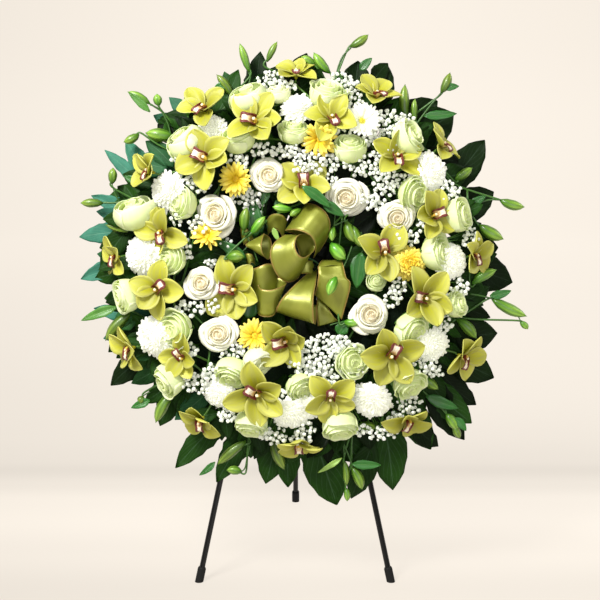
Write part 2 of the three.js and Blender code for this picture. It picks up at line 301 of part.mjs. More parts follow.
    { kind: "bud", at: [-331.8,100.5,58], facing: [-0.999,-0.003,0.053], radius: 6.2, length: 37.8, via: [[-308.7,101,58.4], [-281.5,107.6,54.8]] },
    { kind: "bud", at: [-235,268.3,58], facing: [-0.157,0.983,0.096], radius: 6.2, length: 20.8, via: [[-209.7,237.2,50.6], [-187.5,220.8,54.6]] },
    { kind: "bud", at: [-250.5,271.7,58], facing: [-0.878,0.476,0.046], radius: 5.4, length: 43, via: [[-227.7,256.9,53.6], [-209.7,237.2,50.6]] },
    { kind: "bud", at: [-107,283.8,58], facing: [-0.589,0.807,0.043], radius: 6.2, length: 46.8, via: [[-133.6,257.4,53.9], [-187.5,220.8,54.6]] },
    { kind: "bud", at: [-79.3,327.1,58], facing: [-0.306,0.951,0.04], radius: 5.4, length: 50.5, via: [[-105.7,290.4,52.9], [-133.6,257.4,53.9]] },
  ] },
  lily_bud_stem_2: { hub: [109.4,196.2,57.4], stem: 2, branch: 1.6, blooms: [
    { kind: "bud", at: [192.1,244.1,58], facing: [-0.031,0.999,0.033], radius: 7, length: 60.3, via: [[163.8,220.3,54.8], [109.4,196.2,57.4]] },
    { kind: "bud", at: [207.7,238.9,58], facing: [-0.004,0.999,0.048], radius: 4.7, length: 41.3, via: [[186.1,230,53.8], [163.8,220.3,54.8]] },
    { kind: "bud", at: [60.7,325.3,58], facing: [-0.628,0.777,0.045], radius: 7, length: 44.1, via: [[87.9,264.5,54.5], [109.4,196.2,57.4]] },
    { kind: "bud", at: [34.8,337.4,58], facing: [-0.844,0.531,0.07], radius: 6.2, length: 28.7, via: [[62.1,300.8,56], [87.9,264.5,54.5]] },
    { kind: "bud", at: [252.7,290.7,58], facing: [0.408,0.911,0.053], radius: 6.2, length: 37.6, via: [[210.2,255.9,51.5], [186.1,230,53.8]] },
    { kind: "bud", at: [95.3,370.3,58], facing: [0.835,0.548,0.054], radius: 6.2, length: 37.2, via: [[72.8,323,59.7], [62.1,300.8,56]] },
    { kind: "bud", at: [276.9,140.3,58], facing: [0.816,0.576,0.056], radius: 6.2, length: 35.7, via: [[229.3,190.1,59.5], [186.1,230,53.8]] },
    { kind: "bud", at: [-48.2,344.4,58], facing: [0.451,0.891,0.052], radius: 4.7, length: 38.4, via: [[3.9,315.7,53.1], [62.1,300.8,56]] },
    { kind: "bud", at: [318.4,62.5,58], facing: [0.861,-0.507,0.042], radius: 8.6, length: 47.9, via: [[271.1,136.2,56.2], [229.3,190.1,59.5]] },
    { kind: "bud", at: [354.7,105.7,58], facing: [0.958,-0.284,0.046], radius: 7, length: 43, via: [[297.5,124.3,56.6], [271.1,136.2,56.2]] },
    { kind: "bud", at: [306.3,-39.5,58], facing: [0.862,0.505,0.042], radius: 7, length: 47.8, via: [[302.5,31.1,56.8], [297.5,124.3,56.6]] },
  ] },
  lily_bud_stem_3: { hub: [-166.8,-147.8,57.5], stem: 2, branch: 1.6, blooms: [
    { kind: "bud", at: [-212.5,-228,58], facing: [-0.481,-0.876,0.035], radius: 7.8, length: 57.1, via: [[-193.9,-192.6,55.7], [-166.8,-147.8,57.5]] },
    { kind: "bud", at: [-262.6,-233.2,58], facing: [-0.483,-0.863,0.144], radius: 5.4, length: 13.9, via: [[-217,-203.8,59.6], [-193.9,-192.6,55.7]] },
    { kind: "bud", at: [-283.4,-89.7,58], facing: [-0.677,-0.735,0.032], radius: 7.8, length: 63.4, via: [[-241.3,-109.7,54.9], [-166.8,-147.8,57.5]] },
    { kind: "bud", at: [-84.5,-311,58], facing: [-0.773,-0.633,0.032], radius: 7, length: 62.5, via: [[-145.7,-242.1,57.2], [-193.9,-192.6,55.7]] },
    { kind: "bud", at: [-39.6,-305.8,58], facing: [0.362,-0.931,0.035], radius: 7.8, length: 57.3, via: [[-77.6,-278,53.6], [-145.7,-242.1,57.2]] },
    { kind: "bud", at: [-91.5,-364.6,58], facing: [-0.987,0.141,0.076], radius: 6.2, length: 26.2, via: [[-82.3,-327,52.4], [-77.6,-278,53.6]] },
  ] },
  lily_bud_stem_4: { hub: [107.8,-158.2,60.4], stem: 2, branch: 1.6, blooms: [
    { kind: "bud", at: [219.8,-198.6,58], facing: [0.774,-0.63,0.056], radius: 7, length: 35.5, via: [[173.6,-180.4,61.1], [107.8,-158.2,60.4]] },
    { kind: "bud", at: [107.4,-285.1,58], facing: [0.997,-0.047,0.061], radius: 7, length: 32.9, via: [[135.7,-235.3,56.5], [173.6,-180.4,61.1]] },
    { kind: "bud", at: [280.3,-100.1,58], facing: [0.704,-0.708,0.043], radius: 7.8, length: 46.3, via: [[235.3,-127,57.3], [173.6,-180.4,61.1]] },
    { kind: "bud", at: [260.2,-263,58], facing: [0.564,-0.824,0.06], radius: 6.1, length: 33.4, via: [[223.8,-227.4,55.5], [173.6,-180.4,61.1]] },
    { kind: "bud", at: [84.9,-343.9,58], facing: [0.076,-0.996,0.045], radius: 4.7, length: 44.9, via: [[99.2,-294.5,52.8], [135.7,-235.3,56.5]] },
    { kind: "bud", at: [98.8,-356,58], facing: [0.414,-0.909,0.048], radius: 7, length: 41.6, via: [[98,-318.2,54.4], [99.2,-294.5,52.8]] },
    { kind: "bud", at: [88.4,-392.3,58], facing: [0.074,-0.993,0.089], radius: 4.7, length: 22.4, via: [[96.8,-353.6,53.1], [98,-318.2,54.4]] },
    { kind: "bud", at: [340.9,-65.5,58], facing: [0.893,-0.449,0.031], radius: 7.8, length: 65.5, via: [[283.6,-98,53.9], [235.3,-127,57.3]] },
    { kind: "bud", at: [389.3,-105.3,58], facing: [0.742,-0.662,0.11], radius: 4.7, length: 18.2, via: [[322,-100.6,55], [283.6,-98,53.9]] },
  ] },
  centre_bud_spray_1: { hub: [139.9,133.2,59.2], stem: 2, branch: 1.6, blooms: [
    { kind: "bud", at: [86.4,67,108], facing: [0.352,-0.923,0.156], radius: 7.3, length: 38.6, via: [[107.4,93.2,85], [139.9,133.2,59.3]] },
    { kind: "bud", at: [66.5,58.2,108], facing: [-0.129,-0.965,0.228], radius: 5.3, length: 26.3, via: [[81.4,76.4,95.5], [107.4,93.2,85]] },
    { kind: "bud", at: [69.9,-28.2,108], facing: [-0.4,-0.899,0.177], radius: 6.9, length: 33.9, via: [[73.7,13.6,98.3], [81.4,76.4,95.5]] },
    { kind: "bud", at: [-74.2,44.7,108], facing: [0.628,0.762,0.159], radius: 6.1, length: 37.8, via: [[-7.8,92,79.3], [139.9,133.2,59.3]] },
    { kind: "bud", at: [-86.1,49.8,108], facing: [0.128,0.98,0.151], radius: 6.9, length: 39.8, via: [[-61.1,60.3,96.6], [-7.8,92,79.3]] },
    { kind: "bud", at: [79.9,-105.5,107.7], facing: [0.971,-0.065,0.229], radius: 4.5, length: 26.2, via: [[74.5,-43.4,98.6], [73.7,13.6,98.3]] },
    { kind: "bud", at: [-114.9,4,108], facing: [0.977,0.057,0.203], radius: 8.4, length: 29.5, via: [[-87.9,35.2,103.4], [-61.1,60.3,96.6]] },
  ] },
};
// outer collar: the leaf's azimuth round the ring, its level and its lobes' tips
const COLLAR = [
  {azimuth:8,level:0,tips:[[290,-60],[379,-38],[353,27],[347,121],[328,212],[262,137]]},
  {azimuth:59.4,level:1,tips:[[227,189],[274,259],[250,276],[157,344],[110,348],[56,290]]},
  {azimuth:110.9,level:0,tips:[[-6,296],[19,362],[-56,365],[-122,331],[-218,289],[-246,254],[-192,225]]},
  {azimuth:162.3,level:1,tips:[[-235,179],[-291,212],[-330,194],[-352,116],[-344,86],[-375,39],[-373,-29],[-296,-10]]},
  {azimuth:213.7,level:0,tips:[[-287,-72],[-349,-78],[-333,-137],[-317,-221],[-279,-210],[-235,-287],[-176,-237]]},
  {azimuth:265.1,level:1,tips:[[-123,-269],[-204,-360],[-136,-383],[-54,-386],[-12,-392],[72,-423],[117,-350],[76,-286]]},
  {azimuth:316.6,level:2,tips:[[134,-264],[166,-397],[236,-325],[307,-278],[344,-205],[351,-121],[271,-119]]},
];
const CENTRE_LEAVES = [
  { centre: [6, -30], z: 44, stalk: 262, tips: [[-60, 118], [-15, 140], [25, 150], [62, 170], [98, 175], [135, 165], [172, 150], [212, 132], [250, 115]] },
  { centre: [-8, 26], z: 50, stalk: 80, tips: [[-2, 150], [40, 132], [76, 118], [118, 118], [158, 138], [198, 150], [238, 165], [280, 172], [322, 165]] },
];
const BOW_LOOPS = [
  { azimuth: 58, length: 68, height: 42, lift: 12 },
  { azimuth: 175, length: 46, height: 30, lift: 14, width: 34 },
  { azimuth: 222, length: 66, height: 40, lift: 10 },
  { azimuth: 268, length: 72, height: 38, lift: 8 },
  { azimuth: 315, length: 70, height: 40, lift: 10 },
  { azimuth: 240, length: 50, height: 34, lift: 55 },
];
const BOW_TAILS = [{ azimuth: 292, length: 84, width: 40, drop: -12 }];
const BOW_WIRE = { azimuth: -20, end: -28 };

// ---- the parts of a bloom ----
// profiles round the facing axis: the rim of the open flower lies near z = 0, the calyx behind it
const PROFILE = {
  prose: (R) => [[0, -0.85 * R], [0.55 * R, -0.6 * R], [R, 0], [0.6 * R, 0.2 * R], [0, 0.16 * R]],
  wrose: (R) => [[0, -0.75 * R], [0.55 * R, -0.5 * R], [R, 0.02 * R], [0.6 * R, 0.24 * R], [0, 0.22 * R]],
  wmum: (R) => [[0, -0.5 * R], [0.5 * R, -0.34 * R], [R, 0.04 * R], [0.6 * R, 0.3 * R], [0, 0.3 * R]],
  ymum: (R) => [[0, -0.5 * R], [0.5 * R, -0.34 * R], [R, 0.04 * R], [0.6 * R, 0.3 * R], [0, 0.3 * R]],
  bud: (R, L) => [[0, 0], [R, 0.5 * L], [0, L]],
  gyp: (R) => [[0, -R], [0.95 * R, 0], [0, R]],
};
const SIDES = { prose: 7, wrose: 8, wmum: 7, ymum: 7, bud: 4, gyp: 4 };
const BASE = { prose: -0.85, wrose: -0.75, wmum: -0.5, ymum: -0.5, orchid: -0.34, gyp: -1 };
// an orchid: five tepals as a star, its first point along `turn`, the lip in front and the flower stalk's swelling behind
function tepals(R, turn) {
  const ring = Array.from({ length: 10 }, (_, i) => turn + (i * Math.PI) / 5), v = [0, 0, -0.34 * R];
  ring.forEach((a, i) => { const r = i % 2 ? 0.44 * R : R; v.push(r * Math.cos(a), r * Math.sin(a), i % 2 ? -1 : 0.5); });
  ring.forEach((a, i) => { const r = i % 2 ? 0.3 * R : 0.36 * R; v.push(r * Math.cos(a), r * Math.sin(a), 3); });
  v.push(0, 0, 0.34 * R);
  const f = [];
  for (let i = 0; i < 10; i++) {
    const j = (i + 1) % 10;
    f.push(0, 1 + j, 1 + i, 1 + i, 1 + j, 11 + j, 1 + i, 11 + j, 11 + i, 11 + i, 11 + j, 21);
  }
  const g = new THREE.BufferGeometry();
  g.setAttribute("position", new THREE.BufferAttribute(new Float32Array(v), 3));
  g.setIndex(f);
  return g;
}
function turnOf(dir, azimuth) {
  const v = V(Math.cos(rad(azimuth)), Math.sin(rad(azimuth)), 0).applyMatrix4(facingFrame([0, 0, 0], dir).invert());
  return Math.atan2(v.y, v.x);
}
function bloomSolid(b) {
  const s = solid(b.kind === "orchid" ? tepals(b.radius, turnOf(b.facing, b.up)) : lathe(PROFILE[b.kind](b.radius, b.length), SIDES[b.kind]));
  return s.transform(facingFrame(b.at, b.facing).elements);
}
// the side stem of one bloom: from inside its calyx through three points to the main stem or to another side stem
function branchSolid(b, r) {
  const d = V(...b.facing).normalize();
  const start = V(...b.at).addScaledVector(d, b.kind === "bud" ? 0.25 * b.length : BASE[b.kind] * b.radius * 0.7);
  const points = [start, ...b.via.map((p) => V(...p))];
  return solid(mitred(points, r, 3));
}
const mainStem = (s, grow = 0) => solid(bar(V(s.hub[0], s.hub[1], STEM_DEPTH_Z - grow), V(s.hub[0], s.hub[1], s.hub[2] + s.stem * 0.8 + grow), s.stem + grow, 6));
function spraySolid(s) {
  let out = mainStem(s);
  for (const b of s.blooms) out = out.add(bloomSolid(b)).add(branchSolid(b, s.branch));
  return out;
}

// ---- leaves ----
// lobed leaf: one kite-shaped lobe from the centre to each tip [x, y], all in one blade
function lobedLeaf(cx, cy, tips, z, thickness, fat = 0.17) {
  let out = null;
  const prism = (q) => {
    const area = q.reduce((a, p, i) => a + p[0] * q[(i + 1) % q.length][1] - q[(i + 1) % q.length][0] * p[1], 0);
    const g = new THREE.ExtrudeGeometry(polygon(area > 0 ? q : [...q].reverse()), { depth: thickness, bevelEnabled: false });
    g.translate(0, 0, z);
    return solid(g);
  };
  for (const [tx, ty] of tips) {
    const dx = tx - cx, dy = ty - cy, L = Math.hypot(dx, dy), nx = -dy / L, ny = dx / L, w = fat * L;
    const q = [[cx, cy], [cx + 0.6 * dx - w * nx, cy + 0.6 * dy - w * ny], [tx, ty], [cx + 0.6 * dx + w * nx, cy + 0.6 * dy + w * ny]];
    out = out ? out.add(prism(q)) : prism(q);
  }
  return out.add(prism(circle(22, 7).map(([x, y]) => [cx + x, cy + y])));
}

const root = new THREE.Group();
const placed = new THREE.Group(); // moves the whole object so that its origin is under the middle of its box
root.add(placed);
const leaning = new THREE.Group();
leaning.rotation.x = rad(90 - LEAN);
leaning.position.set(0, CENTRE_UP * Math.sin(rad(LEAN)), CENTRE_UP * Math.cos(rad(LEAN)));
placed.add(leaning);
placed.updateMatrixWorld(true);
const toWorld = leaning.matrixWorld.clone();
const inLean = (x, up, out) => V(x, up - CENTRE_UP, out); // a point given by its height along the plane
const worldOf = (x, up, out) => inLean(x, up, out).applyMatrix4(toWorld);

// ---- easel ----
const legX = (up) => FOOT_HALF_SPREAD + ((TOP_HALF_SPREAD - FOOT_HALF_SPREAD) * up) / LEG_TOP;
const footUp = 1 + (CAP_H - CAP_SOCKET) * 1.02;
const legs = {};
for (const [side, k] of [["left", -1], ["right", 1]]) {
  const a = inLean(k * legX(footUp), footUp, LEG_PLANE), b = inLean(k * TOP_HALF_SPREAD, LEG_TOP, LEG_PLANE);
  const out = solid(bar(a, b, LEG_D / 2, 10)), dir = b.clone().sub(a).normalize();
  const bore = solid(bar(a.clone().addScaledVector(dir, -1), b.clone().addScaledVector(dir, 1), LEG_BORE / 2, 8));
  const grown = solid(bar(a.clone().addScaledVector(dir, -GAP), b.clone().addScaledVector(dir, GAP), LEG_D / 2 + GAP, 10));
  // rest peg: straight out of the leg, turned in over the tray's rim at its tip
  const peg = inLean(k * PEG_X, PEG_UP, 0), inward = V(-peg.x, -peg.y, 0).normalize();
  const tail = V(peg.x, peg.y, LEG_PLANE - LEG_D / 2 - 2), tip = V(peg.x, peg.y, TRAY_H + 6.6), lip = tip.clone().addScaledVector(inward, 8.5);
  const pegAt = (r) => solid(bar(tail, V(tip.x, tip.y, tip.z + PEG_D / 2), r, 8, rad(22.5))).add(solid(bar(tip, lip, r * 0.9, 8)));
  legs[side] = { out, bore, grown, peg: pegAt(PEG_D / 2), pegHole: pegAt(PEG_D / 2 + GAP), a, b, dir };
}
for (const side of ["left", "right"]) {
  mesh(leaning, "front_leg_" + side, legs[side].out.subtract(legs[side].bore).subtract(legs[side].pegHole), COLOUR.steel, 0.35, 0.6);
  mesh(leaning, "rest_peg_" + side, legs[side].peg, COLOUR.steel, 0.35, 0.6);
}
const crossX = legX(CROSSBAR_UP);
mesh(leaning, "crossbar", solid(bar(inLean(-crossX, CROSSBAR_UP, LEG_PLANE), inLean(crossX, CROSSBAR_UP, LEG_PLANE), CROSSBAR_D / 2, 10)).subtract(legs.left.grown).subtract(legs.right.grown), COLOUR.steel, 0.35, 0.6);

// head bracket: a block that takes both legs, with two ears for the hinge pin and a hole for the hook
const hookAt = TRAY_IN + CENTRE_UP - GAP - HOOK_D / 2;
const hookPath = (r, grow) => solid(bar(inLean(0, hookAt, -6.5 - grow), inLean(0, hookAt, TRAY_H + 4.5 + r), r, 8, rad(22.5))).add(solid(bar(inLean(0, hookAt, TRAY_H + 4.5), inLean(0, hookAt + 7.4 + grow, TRAY_H + 4.5), r * 0.9, 8)));
const ear = (x) => {
  const g = new THREE.ExtrudeGeometry(polygon([[BLOCK.back + 1, PIVOT_UP - 11], [BLOCK.back + 1, PIVOT_UP + 11], [PIVOT_BACK - 2, PIVOT_UP + 6.5], [PIVOT_BACK - 6, PIVOT_UP + 3], [PIVOT_BACK - 6, PIVOT_UP - 3], [PIVOT_BACK - 2, PIVOT_UP - 6.5]].reverse()), { depth: EAR_T, bevelEnabled: false });
  // drawn as (out of plane, up), extruded along X
  g.applyMatrix4(new THREE.Matrix4().set(0, 0, -1, x + EAR_T, 0, 1, 0, -CENTRE_UP, 1, 0, 0, 0, 0, 0, 0, 1));
  return solid(g);
};
const earIn = LEG_D / 2 + 0.8;
const pinAt = (r, x) => solid(bar(inLean(-x, PIVOT_UP, PIVOT_BACK), inLean(x, PIVOT_UP, PIVOT_BACK), r, 10));
let bracket = solid(box(-BLOCK.w / 2, BLOCK.w / 2, BLOCK.bottom - CENTRE_UP, BLOCK.top - CENTRE_UP, BLOCK.back, BLOCK.front));
bracket = bracket.add(ear(earIn)).add(ear(-earIn - EAR_T)).subtract(pinAt(PIN_D / 2 + GAP, 20)).subtract(legs.left.grown).subtract(legs.right.grown).subtract(hookPath(HOOK_D / 2 + GAP, GAP));
mesh(leaning, "head_bracket", bracket, COLOUR.steel, 0.4, 0.6);
mesh(leaning, "hanging_hook", hookPath(HOOK_D / 2, 0), COLOUR.steel, 0.35, 0.6);
const pinHead = (k) => solid(bar(inLean(k * (earIn + EAR_T + GAP), PIVOT_UP, PIVOT_BACK), inLean(k * (earIn + EAR_T + 3), PIVOT_UP, PIVOT_BACK), PIN_D * 0.8, 10));
mesh(leaning, "hinge_pin", pinAt(PIN_D / 2, earIn + EAR_T + 1).add(pinHead(1)).add(pinHead(-1)), 0x8a8a88, 0.3, 0.9);

// rear leg, on its stop: the end above the pin bears on the bracket's back face
const pivot = worldOf(0, PIVOT_UP, PIVOT_BACK);
const rearTilt = rad(REAR_SPREAD - LEAN);
const rearDir = V(0, Math.sin(rearTilt), -Math.cos(rearTilt));
const rearLength = pivot.z / Math.cos(rearTilt);
const rearTop = pivot.clone().addScaledVector(rearDir, -8), rearEnd = pivot.clone().addScaledVector(rearDir, rearLength - (CAP_H - CAP_SOCKET));
const rearPin = solid(bar(V(-20, pivot.y, pivot.z), V(20, pivot.y, pivot.z), PIN_D / 2 + GAP, 10));
const rearTube = solid(bar(rearTop, rearEnd, LEG_D / 2, 10)).subtract(solid(bar(rearTop.clone().addScaledVector(rearDir, 24), rearEnd.clone().addScaledVector(rearDir, 1), LEG_BORE / 2, 8)));
mesh(placed, "rear_leg", rearTube.subtract(rearPin), COLOUR.steel, 0.35, 0.6);

// rubber foot caps, their soles cut level with the floor
const floorCut = solid(box(-400, 400, -400, 800, -60, 0));
function footCap(end, up) {
  // end: end of the tube, up: direction into the tube
  const bottom = CAP_SOCKET - CAP_H - 6, r = CAP_D / 2, s = LEG_D / 2 + GAP;
  const g = lathe([[0, bottom], [r, bottom], [r, CAP_SOCKET - 3], [r - 1.2, CAP_SOCKET], [s, CAP_SOCKET], [s, -GAP], [0, -GAP]], 14);
  g.applyMatrix4(facingFrame(end.toArray(), up.toArray()));
  return solid(g).subtract(floorCut);
}
for (const side of ["left", "right"]) {
  const a = legs[side].a.clone().applyMatrix4(toWorld), b = legs[side].b.clone().applyMatrix4(toWorld);
  mesh(placed, "foot_cap_" + side, footCap(a, b.sub(a).normalize()), COLOUR.rubber, 0.8);
}
mesh(placed, "foot_cap_rear", footCap(rearEnd, rearDir.clone().negate()), COLOUR.rubber, 0.8);

// ---- ring ----
const closed = (p) => [...p, p[0]];
mesh(leaning, "ring_tray", solid(lathe(closed([[TRAY_IN, 0], [TRAY_OUT, 0], [TRAY_OUT, TRAY_H], [TRAY_OUT - TRAY_WALL, TRAY_H], [TRAY_OUT - TRAY_WALL, TRAY_FLOOR], [TRAY_IN + TRAY_WALL, TRAY_FLOOR], [TRAY_IN + TRAY_WALL, TRAY_H], [TRAY_IN, TRAY_H]]), 40)), COLOUR.tray, 0.5);
let foam = solid(lathe(closed([...FOAM_PROFILE].reverse()), 40));

// ---- flowers ----
for (const [name, s] of Object.entries(SPRAYS)) {
  mesh(leaning, name, spraySolid(s), COLOUR[s.blooms[0].kind], 0.65);
  foam = foam.subtract(mainStem(s, GAP));
}

// ---- leaf collar ----
COLLAR.forEach((leaf, i) => {
  const z = LEAF_LEVELS[leaf.level], a = rad(leaf.azimuth), cx = LEAF_CENTRE_R * Math.cos(a), cy = LEAF_CENTRE_R * Math.sin(a);
  const blade = lobedLeaf(cx, cy, leaf.tips, z, LEAF_T);
  // the blade's stalk runs level into the foam's outer side
  const inner = V(236 * Math.cos(a), 236 * Math.sin(a), z + LEAF_T / 2), outer = V((LEAF_CENTRE_R + 14) * Math.cos(a), (LEAF_CENTRE_R + 14) * Math.sin(a), z + LEAF_T / 2);
  const ringCut = solid(lathe([[0, -5], [246, -5], [246, 70], [0, 70]], 48));
  mesh(leaning, "fatsia_leaf_" + (i + 1), blade.subtract(ringCut).add(solid(bar(inner, outer, 2.2, 6))), COLOUR.leaf, 0.45);
  foam = foam.subtract(solid(bar(inner.clone().addScaledVector(V(Math.cos(a), Math.sin(a), 0), -GAP), outer, 2.2 + GAP, 6)));
});
const centre = [];
// two leaves that close the ring's centre behind the bow, their stalks in the foam's inner side
CENTRE_LEAVES.forEach((leaf, i) => {
  const tips = leaf.tips.map(([az, r]) => [leaf.centre[0] + 0 + r * Math.cos(rad(az)), leaf.centre[1] + r * Math.sin(rad(az))]).map(([x, y]) => { const q = Math.hypot(x, y), m = Math.min(q, 157); return [(x * m) / q, (y * m) / q]; });
  const blade = lobedLeaf(leaf.centre[0], leaf.centre[1], tips, leaf.z, LEAF_T, 0.3).subtract(solid(lathe(closed([[159.5, 0], [200, 0], [200, 70], [159.5, 70]]), 48)));
  const a = rad(leaf.stalk), e = V(174 * Math.cos(a), 174 * Math.sin(a), 33), m = V(140 * Math.cos(a), 140 * Math.sin(a), 34), n = V(100 * Math.cos(a), 100 * Math.sin(a), leaf.z + 0.5);
  const stalk = (r, g) => solid(rod([V(e.x + g * Math.cos(a), e.y + g * Math.sin(a), e.z), m, n], r, 6, 4));
  centre.push([blade, stalk(2, 0), stalk(2 + GAP, GAP)]);
  foam = foam.subtract(stalk(2 + GAP, GAP));
});
// the upper leaf's stalk passes through a notch in the lower leaf
mesh(leaning, "centre_leaf_1", centre[0][0].subtract(centre[1][2]).add(centre[0][1]), COLOUR.leafDark, 0.5);
mesh(leaning, "centre_leaf_2", centre[1][0].add(centre[1][1]), COLOUR.leafDark, 0.5);

// ---- bow ----
// one ribbon folded into loops that meet in a knot, tied with a wire whose leg is the pick
// a strip of ribbon through stations [along, out, width], pinched where it is tied
function ribbonStrip(stations, azimuth, lift) {
  const v = [], f = [], n = stations.length;
  stations.forEach(([x, y, w], i) => {
    const p = stations[Math.max(0, i - 1)], q = stations[Math.min(n - 1, i + 1)], dx = q[0] - p[0], dy = q[1] - p[1], L = Math.hypot(dx, dy), ox = (-dy / L) * RIBBON_T / 2, oy = (dx / L) * RIBBON_T / 2;
    for (const [k, side] of [[1, -1], [1, 1], [-1, 1], [-1, -1]]) v.push(x + k * ox, (side * w) / 2, y + k * oy);
  });
  for (let i = 0; i + 1 < n; i++) for (let j = 0; j < 4; j++) {
    const a = i * 4 + j, c = i * 4 + ((j + 1) % 4);
    f.push(a, c + 4, c, a, a + 4, c + 4);
  }
  const l = (n - 1) * 4;
  f.push(0, 1, 2, 0, 2, 3, l, l + 2, l + 1, l, l + 3, l + 2);
  const g = new THREE.BufferGeometry();
  g.setAttribute("position", new THREE.BufferAttribute(new Float32Array(v), 3));
  g.setIndex(f);
  g.rotateY(-rad(lift));
  g.rotateZ(rad(azimuth));
  g.translate(...BOW_AT);
  const s = solid(g);
  return s.volume() < 0 ? solid(flipped(g)) : s;
}
function flipped(g) {
  const i = Array.from(g.index.array);
  for (let k = 0; k < i.length; k += 3) [i[k + 1], i[k + 2]] = [i[k + 2], i[k + 1]];
  const out = g.clone();
  out.setIndex(i);
  return out;
}
function ribbonLoop(azimuth, length, height, lift, width) {
  const n = 8;
  return ribbonStrip(Array.from({ length: n + 1 }, (_, i) => {
    const t = 0.02 + (0.96 * i) / n, s = Math.sin(Math.PI * t);
    return [length * s, (height / 2) * Math.sin(2 * Math.PI * t) * (0.6 + 0.4 * s), width * Math.min(1, 0.2 + 1.15 * s)];
  }), azimuth, lift);
}
let bow = solid(lathe([[0, -13], [12, -8], [12, 8], [0, 13]], 8)).transform(new THREE.Matrix4().makeTranslation(...BOW_AT).elements);
for (const l of BOW_LOOPS) bow = bow.add(ribbonLoop(l.azimuth, l.length, l.height, l.lift, l.width || RIBBON_W));
for (const t of BOW_TAILS) bow = bow.add(ribbonStrip([[2, -4, 10], [0.35 * t.length, -7, t.width * 0.8], [t.length, t.drop, t.width]], t.azimuth, 0));
const wireAz = rad(BOW_WIRE.azimuth);
const wireIn = V(BOW_AT[0], BOW_AT[1], BOW_AT[2] - 8), wireMid = V(BOW_AT[0] + 26 * Math.cos(wireAz), BOW_AT[1] + 26 * Math.sin(wireAz), 61), wireFoot = V(178 * Math.cos(rad(BOW_WIRE.end)), 178 * Math.sin(rad(BOW_WIRE.end)), 38);
const wireOver = V(150 * Math.cos(rad(BOW_WIRE.end)), 150 * Math.sin(rad(BOW_WIRE.end)), 57);
const wire = (r, g) => solid(rod([V(wireIn.x, wireIn.y, wireIn.z + g), V(wireIn.x, wireIn.y, 66), wireMid, wireOver, V(wireFoot.x * (1 + g / 178), wireFoot.y * (1 + g / 178), wireFoot.z - g)], r, 6, 10));
bow = bow.subtract(wire(1.6 + GAP, GAP));
mesh(leaning, "ribbon_bow", bow, COLOUR.satin, 0.3);
mesh(leaning, "bow_wire_pick", wire(1.6, 0), COLOUR.wire, 0.5, 0.4);
foam = foam.subtract(wire(1.6 + GAP, GAP));
mesh(leaning, "foam_ring", foam, COLOUR.foam, 0.95);

// origin under the middle of the box
placed.updateMatrixWorld(true);
const all = new THREE.Box3().setFromObject(root, true);
placed.position.set(-(all.min.x + all.max.x) / 2, -(all.min.y + all.max.y) / 2, -all.min.z);

export default root;
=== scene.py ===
# Funeral wreath on a folding tripod easel: the visible model, in metres, in the row's frame.
import math
import bpy
import numpy as np
from mathutils import Vector, Matrix, Quaternion

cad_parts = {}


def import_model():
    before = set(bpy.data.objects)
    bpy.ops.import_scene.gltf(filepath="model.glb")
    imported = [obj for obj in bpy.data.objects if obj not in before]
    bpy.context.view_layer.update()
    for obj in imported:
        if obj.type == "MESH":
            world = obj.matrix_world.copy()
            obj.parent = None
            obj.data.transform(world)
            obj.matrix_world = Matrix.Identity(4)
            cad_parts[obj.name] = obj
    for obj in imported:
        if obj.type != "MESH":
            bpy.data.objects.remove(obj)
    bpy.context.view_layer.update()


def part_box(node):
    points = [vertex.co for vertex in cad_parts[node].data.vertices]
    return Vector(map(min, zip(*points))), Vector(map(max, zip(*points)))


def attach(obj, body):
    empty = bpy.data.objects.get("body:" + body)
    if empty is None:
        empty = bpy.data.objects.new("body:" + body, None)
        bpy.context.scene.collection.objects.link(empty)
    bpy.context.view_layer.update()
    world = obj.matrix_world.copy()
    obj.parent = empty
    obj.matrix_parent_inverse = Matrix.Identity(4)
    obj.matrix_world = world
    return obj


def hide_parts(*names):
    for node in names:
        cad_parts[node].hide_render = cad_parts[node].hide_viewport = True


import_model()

MM = 0.001
LEAN = math.radians(12)
RIGHT = np.array([1.0, 0.0, 0.0])
UP = np.array([0.0, math.sin(LEAN), math.cos(LEAN)])
OUT = np.array([0.0, -math.cos(LEAN), math.sin(LEAN)])
_lo, _hi = (np.array(c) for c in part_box("ring_tray"))
CENTRE = (_lo + _hi) / 2 - OUT * 0.011  # wreath centre on the tray's back plane


def world(p):
    """leaning-plane millimetres to the row's frame in metres; p is (..., 3)"""
    p = np.asarray(p, float) * MM
    return CENTRE + p[..., 0:1] * RIGHT + p[..., 1:2] * UP + p[..., 2:3] * OUT


def rng(seed):
    return np.random.default_rng(seed)


